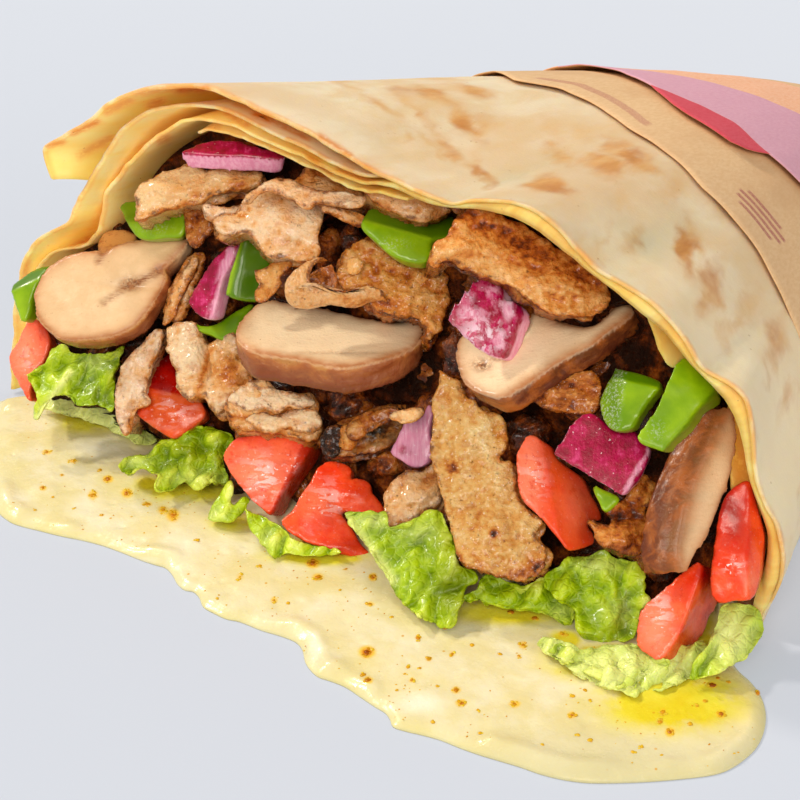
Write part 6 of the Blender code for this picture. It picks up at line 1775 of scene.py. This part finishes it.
     [(362, 190), (375, 184), (395, 183), (415, 188), (435, 195), (450, 203), (450, 210), (435, 218), (425, 221), (410, 220), (395, 212),
      (380, 205), (365, 195)],
     dict(tone=0.56, ragged=0.4, rough=0.9, dark=[(430, 205, 16, 10, 0.12)], glazed=0.5)),
    ("pepper_top", "pepper", (405, 234), 0, (0, .3, 1), (0.9, -1.4, -4.2),
     [(360, 222), (365, 212), (375, 204), (390, 212), (405, 220), (425, 221), (440, 215), (452, 210), (454, 222), (448, 235), (432, 240),
      (431, 255), (425, 262), (410, 262), (395, 257), (382, 248), (370, 237), (361, 228)],
     dict(facets=[(450, 243, 361, 221, 0.9, "dark", 0.8)], cuts=[(365, 221, 430, 239, 1.6, 0.7)],
          shine=[(390, 245, 16, 6, 0.3)], edge=0.2)),
    ("meat_gravel", "meat", (382, 282), -1, (0, .2, 1), (0.6, -1.2, -5.5),
     [(355, 242), (372, 238), (384, 250), (396, 259), (410, 264), (426, 263), (436, 262), (445, 272), (450, 290), (448, 305), (444, 318),
      (438, 334), (428, 340), (424, 324), (412, 316), (395, 315), (380, 312), (366, 300), (352, 294), (342, 286), (336, 274), (342, 256)],
     dict(tone=0.46, rough=2.0, ragged=0.4, lump=2.6, granule=2.4, granular=1.0, least=0.8, glazed=1.0, gold=1.0, dark=[(372, 262, 14, 20, 0.1)], light=[(353, 265, 9, 9, 0.3)])),
    ("meat_back", "meat", (335, 188), -3, (0, .2, 1), (0.3, -0.8, -3.8),
     [(300, 180), (304, 170), (318, 166), (330, 170), (345, 178), (362, 184), (374, 190), (378, 200), (368, 210), (345, 212), (320, 208),
      (305, 196)],
     dict(tone=0.40, rough=1.0, ragged=0.4)),
    ("meat_back_left", "meat", (192, 285), -4, (-.3, .1, 1), (0.5, -0.6, -3.8),
     [(183, 318), (175, 322), (167, 315), (166, 300), (172, 285), (180, 272), (188, 260), (197, 252), (205, 255), (202, 268), (196, 285),
      (190, 300)],
     dict(tone=0.38, rough=1.0, ragged=0.4, glazed=0.6)),
    ("mushroom_back", "mushroom", (112, 243), -3, (-.2, .6, 1), (0.3, -1.0, -3.6),
     [(100, 252), (98, 241), (103, 232), (115, 229), (127, 230), (136, 236), (132, 246), (118, 252)],
     dict(skin=1.0)),
]

UNDER = {"meat_flap": (4, 3), "meat_top": (3, 7), "meat_curl": (-5, 5), "meat_big": (-4, 5), "meat_chunk": (4, 6), "meat_chunk_b": (2, 9),
         "meat_wing": (4, 6), "meat_crust": (5, 6), "meat_rim": (-4, 6), "meat_strip": (5, 2), "meat_fringe": (3, 5), "meat_char": (3, 6),
         "meat_gravel": (-3, 5)}

SCRAPS = [
    ("curl_layer", "meat", (310, 192), 5.5, (-.1, .5, 1), (0.2, -0.5, -1.8),
     [(241, 205), (247, 194), (258, 187), (268, 180), (280, 178), (292, 180), (305, 185), (320, 190), (340, 192), (355, 195), (368, 197),
      (362, 206), (345, 207), (330, 204), (318, 203), (308, 209), (295, 201), (280, 194), (264, 191), (252, 197)],
     dict(tone=0.74, gold=0.4, rough=0.7, ragged=0.35, thin=0.8, least=0.5, glazed=0.5)),
    ("curl_tongue", "meat", (222, 218), 4.5, (-.2, .3, 1), (0.2, -0.6, -1.8),
     [(203, 204), (214, 206), (228, 207), (240, 205), (246, 212), (238, 217), (224, 216), (213, 221), (206, 217)],
     dict(tone=0.72, gold=0.4, rough=0.6, ragged=0.3, thin=0.8, least=0.5, glazed=0.5)),
    ("orange_bit", "meat", (272, 280), 5, (-.1, .3, 1), (0.4, -0.6, -2.4),
     [(252, 268), (264, 270), (275, 263), (292, 261), (288, 269), (280, 276), (281, 285), (275, 292), (268, 299), (258, 301), (254, 294),
      (260, 284), (256, 277)],
     dict(tone=0.62, gold=1.0, rough=1.0, ragged=0.6, granular=0.4, glazed=0.6, charred=0.05)),
    ("reddish_strip", "meat", (345, 213), 2, (0, .3, 1), (0.3, -0.6, -2.2),
     [(322, 205), (334, 207), (348, 211), (360, 214), (369, 222), (358, 224), (345, 220), (332, 214), (323, 210)],
     dict(tone=0.42, gold=0.3, rough=0.8, ragged=0.4, glazed=0.8)),
    ("dark_column", "meat", (198, 226), -2, (-.2, .2, 1), (0.4, -0.6, -3.0),
     [(186, 206), (196, 203), (208, 208), (210, 220), (213, 230), (204, 238), (196, 246), (188, 240), (186, 225)],
     dict(tone=0.24, gold=0.4, rough=1.2, ragged=0.5, glazed=0.9, granular=0.4)),
    ("dark_strip", "meat", (176, 296), -1, (-.3, .1, 1), (0.4, -0.6, -2.6),
     [(188, 262), (196, 256), (194, 270), (186, 288), (178, 306), (170, 322), (163, 326), (165, 312), (172, 292), (180, 276)],
     dict(tone=0.50, gold=0.6, rough=0.8, ragged=0.4, glazed=0.8)),
    ("tan_slice", "meat", (404, 413), 3, (-.1, .4, 1), (0.2, -0.4, -1.6),
     [(389, 416), (400, 410), (414, 407), (424, 409), (420, 417), (406, 422), (396, 421)],
     dict(tone=0.72, gold=0.8, rough=0.7, ragged=0.4, thin=0.8, glazed=0.5)),
    ("char_lump", "meat", (332, 441), 3, (-.2, .2, 1), (0.5, -0.6, -3.0),
     [(321, 441), (325, 431), (332, 425), (341, 427), (343, 436), (339, 446), (340, 452), (333, 458), (326, 455), (323, 448)],
     dict(tone=0.20, charred=0.95, rough=1.6, ragged=0.5, granular=0.8, glazed=0.9)),
    ("char_ember", "meat", (347, 437), 1.5, (-.2, .2, 1), (0.4, -0.6, -2.4),
     [(340, 430), (346, 426), (353, 428), (356, 436), (352, 446), (345, 450), (340, 444), (342, 437)],
     dict(tone=0.44, gold=1.0, rough=1.2, ragged=0.4, glazed=0.9)),
    ("char_shred", "meat", (372, 428), 0.5, (-.1, .4, 1), (0.3, -0.5, -2.0),
     [(346, 426), (356, 416), (372, 410), (390, 408), (402, 412), (392, 418), (378, 424), (364, 434), (354, 440), (348, 436)],
     dict(tone=0.34, gold=0.8, charred=0.2, rough=1.1, ragged=0.6, granular=0.3, glazed=0.6)),
    ("grain_slice", "meat", (572, 392), -2, (-.2, .3, 1), (0.4, -0.8, -3.0),
     [(530, 398), (545, 388), (560, 378), (580, 370), (596, 374), (602, 386), (600, 402), (592, 412), (575, 414), (556, 410), (540, 406)],
     dict(tone=0.22, gold=0.2, rough=1.1, ragged=0.4, granular=0.4, glazed=0.9)),
    ("caramel_lump", "meat", (353, 265), 3.5, (-.1, .2, 1), (0.5, -0.8, -2.6),
     [(345, 266), (347, 258), (354, 256), (361, 260), (362, 268), (357, 274), (349, 273)],
     dict(tone=0.66, gold=1.0, rough=0.9, granular=0.6, glazed=1.0)),
    ("small_bit", "meat", (461, 207), 2, (0, .3, 1), (0.3, -0.6, -2.2),
     [(452, 206), (458, 202), (466, 203), (471, 208), (465, 212), (456, 212)],
     dict(tone=0.56, gold=0.2, rough=0.9, ragged=0.3)),
    ("wedge", "wrap", (668, 340), -4, (.3, .2, 1), (0.6, -0.4, -3.0),
     [(646, 314), (662, 316), (676, 330), (688, 345), (692, 358), (682, 360), (674, 368), (666, 364), (659, 350), (653, 333)], dict(ragged=0.2)),
    ("green_bit", "pepper", (607, 497), 0.5, (0, .3, 1), (0.3, -0.6, -2.0),
     [(592, 485), (605, 490), (620, 498), (612, 508), (604, 512), (599, 503)], dict(edge=0.9, side=0.9)),
    ("leaf_under", "lettuce", (88, 412), ("z", 5.0), (-.3, .5, 1), (0.3, -1.0, -1.6),
     [(28, 396), (45, 392), (70, 396), (100, 398), (118, 410), (122, 420), (138, 426), (158, 438), (148, 446), (125, 438), (98, 424),
      (66, 414), (38, 406)],
     dict(amp=0.6, pale=[(88, 415, 120, 60, 1.0)])),
    ("leaf_bridge", "lettuce", (680, 666), ("z", 4.2), (-.1, .8, 1), (0.3, -1.4, -2.0),
     [(640, 668), (655, 652), (675, 650), (698, 642), (712, 650), (706, 666), (692, 676), (674, 683), (656, 690), (636, 690)],
     dict(amp=1.2, ragged=1.0, pale=[(675, 668, 50, 30, 0.9)])),
    ("leaf_left_low", "lettuce", (545, 645), ("z", 5.0), (-.2, .8, 1), (0.3, -1.4, -2.0),
     [(536, 642), (548, 636), (562, 640), (574, 646), (580, 655), (572, 662), (556, 656), (544, 650)],
     dict(amp=1.2, ragged=1.0, pale=[(556, 650, 30, 20, 0.9)])),
    ("wall_right", "wrap", (742, 500), -6.5, (.3, .1, 1), (0.6, -0.3, -2.4),
     [(728, 398), (738, 405), (748, 425), (755, 455), (759, 485), (763, 508), (758, 522), (746, 532), (737, 520), (730, 490),
      # The mark darkens this inner layer behind the rim to brown amber: painted shade.
      (728, 450), (727, 420)], dict(ragged=0.2, mark=0.6)),
    ("chunk_layer", "meat", (270, 398), 2.6, (-.1, .4, 1), (0.2, -0.5, -1.8),
     [(228, 400), (236, 391), (250, 384), (264, 388), (276, 392), (292, 394), (306, 396), (314, 403), (304, 409), (288, 407), (276, 412),
      (262, 408), (250, 411), (240, 407)],
     dict(tone=0.82, gold=0.5, rough=1.2, ragged=0.7, thin=0.8, granular=0.3, glazed=0.5)),
    ("chunk_layer_low", "meat", (286, 420), 2.0, (-.1, .3, 1), (0.2, -0.5, -1.8),
     [(246, 414), (260, 410), (276, 414), (292, 411), (310, 409), (320, 416), (317, 427), (304, 432), (288, 428), (272, 431), (258, 426),
      (248, 422)],
     dict(tone=0.80, gold=0.6, rough=1.2, ragged=0.8, thin=0.8, granular=0.3, glazed=0.6)),
    ("leaf_frill", "lettuce", (602, 676), ("z", 4.0), (-.1, .9, 1), (0.3, -1.2, -2.0),
     [(560, 657), (575, 660), (596, 664), (620, 668), (645, 672), (650, 682), (636, 692), (616, 691), (596, 684), (576, 674), (564, 665)],
     dict(amp=1.3, ragged=1.2, pale=[(600, 676, 80, 30, 1.0)])),
]


def make_piece(number, name, kind, at, off, normal, back, marks, looks, under=None, loose=False):
    ragged = looks.get("ragged", {"meat": 0.4, "lettuce": 0.5}.get(kind, 0.08))
    ease = {"mushroom": 5, "lettuce": 4, "meat": 3}.get(kind, 2)
    if kind == "meat":
        back = (back[0] * 0.7, back[1] * 0.7, back[2] * 0.7)
        ragged = ragged * 1.3
    if under is not None:
        dx, dy = UNDER[name]
        marks = [(x + dx, y + dy) for x, y in marks]
        off, ragged = off - 2.2, 1.2
        # The copies set behind are darker: painted shade.
        looks = dict(looks, tone=looks.get("tone", 0.6) - 0.14, bulge=[], light=[], lights=[], char=[], dark=[], darks=[],
                     charred=looks.get("charred", 0.0) + 0.1, thin=2.0)
    piece = Slice(name, marks, at, off, normal, back, 50 + number,
                  voxel=0.42 if kind in ("meat", "lettuce") and under is None else 0.5, rear=looks.get("rear", 0.9), ragged=ragged, ease=ease)
    piece.under, piece.loose = under, under is not None or loose
    MAKERS[kind](piece, looks)


for number, row in enumerate(PIECES):
    make_piece(number, *row)
meat_loop("meat_roll", (312, 282), 7.5, 77)
for number, row in enumerate(SCRAPS):
    make_piece(number + 200, *row, loose=True)
grid = shown_depth()
for number, row in enumerate(PIECES):
    if row[0] in UNDER:
        make_piece(number + 100, *row, under=grid)
join_loose()


# ---------------------------------------------------------------- the body of the filling, and what fills the gaps

def core_ring(count, run):
    """The inside of the crepe where the heap's plane, moved back by run mm, meets it: a closed loop of points."""
    t = np.linspace(3, 177, count)
    y = np.full(count, 6.0)
    for _ in range(8):
        arch = wall(t, y, -5.2)
        y = np.maximum(5.0, -6.5 + 0.36 * arch[:, 2] + run)
    floor_x = np.linspace(arch[-1, 0], arch[0, 0], count // 2 + 2)[1:-1]
    floor_line = np.stack([floor_x, np.full(count // 2, max(5.0, run - 5.6)), np.full(count // 2, 2.8)], axis=1)
    return np.concatenate([arch, floor_line])


front_ring = core_ring(190, 0.0)
hub = np.array([0.0, 3.0, 26.0])
layers = []
for share in np.linspace(0.02, 1, 66):
    ring = hub + (front_ring - hub) * share
    level = -6.5 + 0.36 * ring[:, 2]
    ring[:, 1] = level + (np.maximum(ring[:, 1], level) - level) * smoothstep(0.9, 1.0, share)
    layers.append(ring)
for run in np.linspace(5, 66, 10):
    layers.append(core_ring(190, run))
m = len(front_ring)
core = np.concatenate(layers)
faces = grid_faces(len(layers), m, wrap=True)
caps = [[*range(m)][::-1], [*range((len(layers) - 1) * m, len(layers) * m)]]
front = (np.arange(len(core)) // m) < 64
lumps = fbm(core, 8, 3, 71) * 1.8 + (0.5 - cells(core, 5.0, 7)[0]) * 1.8 + fbm(core, 2.4, 3, 73) * 0.6
edge_share = np.repeat(np.concatenate([np.linspace(0.02, 1, 66), np.ones(10)]), m)
lift = lumps * front * (1 - smoothstep(0.9, 1.0, edge_share))
core = core + lift[:, None] * np.array([0, -1, 0.36]) / 1.063
core = core - BACK * (behind(core, grid, 1.6) * front)[:, None]
foot = (1 - smoothstep(1, 15, core[:, 2])) * smoothstep(20, 60, core[:, 0] - TIP_X * core[:, 1] / CONE_LENGTH)
core[:, 0] = core[:, 0] - 3.4 * foot * smoothstep(2, 20, core[:, 1])
# The core's tone is kept near black-brown and charred: painted shade in the gaps between the pieces.
values = {"relief": np.clip(0.5 + lumps * 0.2, 0, 1), "tone": np.clip(0.03 + 0.08 * fbm(core, 9, 2, 74) + lumps * 0.04, 0, 1),
          "char": np.clip(0.62 - lumps * 0.25, 0, 1), "glaze": np.full(len(core), 0.3), "edge": np.full(len(core), 0.3), "gold": np.full(len(core), 0.5), "olive": np.zeros(len(core)), "flat": core}
all_faces = [list(f) for f in faces] + caps
add_mesh("filling_core", core, all_faces, CORE_LOOK, values, ["filling"])


def ball(level=3):
    """A sphere of evenly sized triangles."""
    t = (1 + math.sqrt(5)) / 2
    p = [(-1, t, 0), (1, t, 0), (-1, -t, 0), (1, -t, 0), (0, -1, t), (0, 1, t), (0, -1, -t), (0, 1, -t), (t, 0, -1), (t, 0, 1), (-t, 0, -1), (-t, 0, 1)]
    f = [(0, 11, 5), (0, 5, 1), (0, 1, 7), (0, 7, 10), (0, 10, 11), (1, 5, 9), (5, 11, 4), (11, 10, 2), (10, 7, 6), (7, 1, 8),
         (3, 9, 4), (3, 4, 2), (3, 2, 6), (3, 6, 8), (3, 8, 9), (4, 9, 5), (2, 4, 11), (6, 2, 10), (8, 6, 7), (9, 8, 1)]
    p = np.array(p, float)
    p /= np.linalg.norm(p, axis=1)[:, None]
    f = np.array(f)
    for _ in range(level):
        e = edges_of(f)
        where = {tuple(x): i + len(p) for i, x in enumerate(e.tolist())}
        middle = p[e[:, 0]] + p[e[:, 1]]
        middle /= np.linalg.norm(middle, axis=1)[:, None]
        new = []
        for a, b, c in f.tolist():
            ab, bc, ca = (where[(min(u, v), max(u, v))] for u, v in ((a, b), (b, c), (c, a)))
            new += [(a, ab, ca), (b, bc, ab), (c, ca, bc), (ab, bc, ca)]
        p = np.concatenate([p, middle])
        f = np.array(new)
    return p, f


def turned(rng):
    q = rng.normal(size=4)
    w, x, y, z = q / np.linalg.norm(q)
    return np.array([[1 - 2 * (y * y + z * z), 2 * (x * y - z * w), 2 * (x * z + y * w)],
                     [2 * (x * y + z * w), 1 - 2 * (x * x + z * z), 2 * (y * z - x * w)],
                     [2 * (x * z - y * w), 2 * (y * z + x * w), 1 - 2 * (x * x + y * y)]])


BALL3, BALL2, BALL1 = ball(3), ball(2), ball(1)


def scatter(name, spots, shape, material, rng, rough=0.28, size=3.0, values=None, grid=None):
    """Lumps joined in one mesh: spots holds (place, (a, b, c) half sizes)."""
    p0, f0 = shape
    points, faces, extra = [], [], {}
    for k, (place, half, looks) in enumerate(spots):
        q = p0 * (1 + rough * fbm(p0 * 4.0 + k * 9.1, size, 3, 90)[:, None])
        q = (q * np.array(half)) @ turned(rng).T + place
        if grid is not None:
            q = q - BACK * behind(q, grid, 1.0).max()
        q[:, 2] = np.maximum(q[:, 2], 1.4)
        points.append(q)
        faces.append(f0 + k * len(p0))
        for key, v in looks.items():
            extra.setdefault(key, []).append(np.full(len(q), v))
    points, faces = np.concatenate(points), np.concatenate(faces)
    data = {k: np.concatenate(v) for k, v in extra.items()}
    data["flat"] = points
    if values:
        data.update(values(points))
    return add_mesh(name, points, faces, material, data, ())


rng = np.random.default_rng(5)
outlines = [np.array(p[6], float) for p in PIECES]
bits = []
for row, z in enumerate(np.arange(7, 74, 6.2)):
    half_width = 80 * math.sqrt(max(0.0, 1 - (z / 80) ** 2))
    for x in np.arange(-half_width + 4, half_width - 3, 7.6):
        cx, cz = x + rng.uniform(-3, 3) + (row % 2) * 4.5, z + rng.uniform(-2.5, 2.5)
        if math.hypot(cx / 78, cz / 70) > 0.93:
            continue
        depth = rng.uniform(2.0, 4.5)
        px, py = picture(np.array([[cx, -14 + 0.36 * cz + depth, cz]]))[0]
        if px < 112 and py > 370 or py > 575:
            continue
        size = rng.uniform(3.0, 4.6)
        place = np.array([cx, -14 + 0.36 * cz + depth + 0.3 * size, cz])
        # The crumbs are dark: partly the meat's own brown, partly painted shade in the gaps.
        bits.append((place, (size * rng.uniform(1.0, 1.4), size * rng.uniform(0.7, 1.0), size * rng.uniform(0.5, 0.8)),
                     {"tone": rng.uniform(0.02, 0.28), "char": rng.uniform(0.1, 0.6), "glaze": rng.uniform(0.3, 0.8), "edge": 0.3, "gold": 0.6}))


def bit_relief(points):
    return {"relief": np.clip(0.5 + fbm(points, 2.2, 3, 95) * 0.6, 0, 1)}


scatter("meat_bits", bits, BALL2, LOOKS["meat"], rng, rough=0.6, size=2.6, values=bit_relief, grid=grid)


# ---------------------------------------------------------------- spots of sauce on the cheese

def on_cheese(x, y):
    """The place on the puddle's top that is seen at this picture point, and None off the puddle."""
    z = 1.5
    for _ in range(3):
        place = on_plane([(x, y)], (0, 0, z), np.array([0, 0, 1.0]))[0]
        near = np.argmin(((puddle_top[:, :2] - place[:2]) ** 2).sum(axis=1))
        if math.dist(puddle_top[near, :2], place[:2]) > 1.2:
            return None
        z = puddle_top[near, 2]
    return place


sauce, rng = [], np.random.default_rng(9)
for x, y, a, b, strength in DOTS:
    for k in range(int(np.clip(a * b * 0.42, 2, 13))):
        turn, out = rng.uniform(0, 2 * math.pi), math.sqrt(rng.uniform(0, 1)) * (k > 0)
        place = on_cheese(x + a * 0.85 * out * math.cos(turn), y + b * 0.85 * out * math.sin(turn))
        if place is None:
            continue
        r = rng.uniform(0.16, 0.34) * (1.5 if k == 0 else 1.0) * (0.7 + 0.4 * strength)
        sauce.append((place, r * rng.uniform(0.9, 1.5), r, float(np.clip(1.1 - out * 0.9 + rng.uniform(-0.3, 0.2), 0, 1)) * strength))
while len(sauce) < 620:
    x, y = rng.uniform(5, 765), rng.uniform(410, 770)
    if fbm(np.array([[x, y, 0.0]]), 60, 2, 12)[0] + rng.uniform(-0.4, 0.4) < 0.15:
        continue
    place = on_cheese(x, y)
    if place is not None and place[1] < -12:
        r = rng.uniform(0.08, 0.17)
        sauce.append((place, r * rng.uniform(1.0, 1.6), r, rng.uniform(0.1, 0.7)))


def sauce_material():
    g = Graph("sauce_spots", Roughness=0.22)
    g.set(Base_Color=g.ramp(g.attribute("deep"), (0.0, (222, 186, 44)), (0.35, (214, 158, 22)), (0.7, (190, 112, 12)), (1.0, (142, 66, 6))))
    g.set(Normal=g.bump(g.noise(0.3, 2), 0.2, 0.1))
    g.volume(0.2, (1.0, 0.6, 0.1), 0.8)
    return g.material


def beads(name, rows, shape, flat, material):
    """Small drops in one mesh: rows hold (place, half length, half width, depth of colour)."""
    p0, f0 = shape
    points, faces, deep = [], [], []
    for k, (place, long, wide, tone) in enumerate(rows):
        turn = k * 2.4
        c, n = math.cos(turn), math.sin(turn)
        q = p0 * (1 + 0.22 * fbm(p0 * 2.0 + k * 5.3, 1.5, 2, 14)[:, None]) * (long, wide, wide * flat)
        q = np.stack([q[:, 0] * c - q[:, 1] * n, q[:, 0] * n + q[:, 1] * c, q[:, 2]], axis=1)
        points.append(q + place)
        faces.append(f0 + k * len(p0))
        deep.append(np.full(len(q), tone))
    return add_mesh(name, np.concatenate(points), np.concatenate(faces), material, {"deep": np.concatenate(deep)}, ())


beads("sauce_dots", sauce, BALL1, 0.42, sauce_material())


# ---------------------------------------------------------------- floor, light, camera

def floor_material():
    g = Graph("studio_floor", Roughness=0.6)
    cloud = g.noise(400, 2, 0.4)
    near = g.mix(g.remap(cloud, 0.3, 0.7), (145, 146, 152), (148, 149, 155))
    g.set(Base_Color=g.mix(g.attribute("far"), near, (166, 166, 169)))
    g.set(Emission_Color=(236, 245, 255))
    g.shader.inputs["Emission Strength"].default_value = 0.345
    g.set(Normal=g.bump(g.noise(2.0, 2), 0.02, 0.1))
    g.set(Specular_IOR_Level=0.2)
    return g.material


side = np.linspace(-2600, 2600, 27)
gx, gy = np.meshgrid(side, side)
floor_points = np.stack([gx.ravel(), gy.ravel() + 400, np.full(gx.size, -0.02)], axis=1)
floor = add_mesh("studio_floor", floor_points, grid_faces(27, 27), floor_material(), {"far": smoothstep(-200, 700, floor_points[:, 1])}, stage=True)


def light(name, kind, direction, strength, colour, size):
    data = bpy.data.lights.new(name, kind)
    data.energy = strength
    data.color = colour
    if kind == "SUN":
        data.angle = math.radians(size)
    else:
        data.size = size
    obj = bpy.data.objects.new(name, data)
    d = Vector(direction).normalized()
    obj.rotation_mode = "QUATERNION"
    obj.rotation_quaternion = d.to_track_quat("-Z", "Y")
    obj.location = -d * 1.2
    bpy.context.scene.collection.objects.link(obj)
    return obj


light("key", "SUN", (0.70, 0.14, -0.70), 1.5, (1.0, 0.97, 0.91), 5)
light("back", "SUN", (0.66, -0.20, -0.72), 1.15, (1.0, 0.97, 0.91), 4)
light("front", "SUN", (-0.25, 0.75, -0.60), 1.3, (1.0, 0.98, 0.95), 25)
light("side", "SUN", (-0.80, 0.40, -0.42), 1.0, (1.0, 0.93, 0.84), 30)
sky = bpy.data.worlds.new("studio")
sky.use_nodes = True
sky.node_tree.nodes["Background"].inputs[0].default_value = (0.90, 0.94, 1.0, 1)
sky.node_tree.nodes["Background"].inputs[1].default_value = 0.46
bpy.context.scene.world = sky

view_data = bpy.data.cameras.new("view")
view_data.lens = LENS
view_data.sensor_width = 36
view_data.clip_start, view_data.clip_end = 0.01, 20
view = bpy.data.objects.new("view", view_data)
view.matrix_world = Matrix.Translation(Vector(world(EYE))) @ Matrix(np.stack([RIGHT, UP, BACK], axis=1).tolist()).to_4x4()
bpy.context.scene.collection.objects.link(view)
bpy.context.scene.camera = view
bpy.context.scene.view_settings.view_transform = "Standard"

low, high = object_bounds()
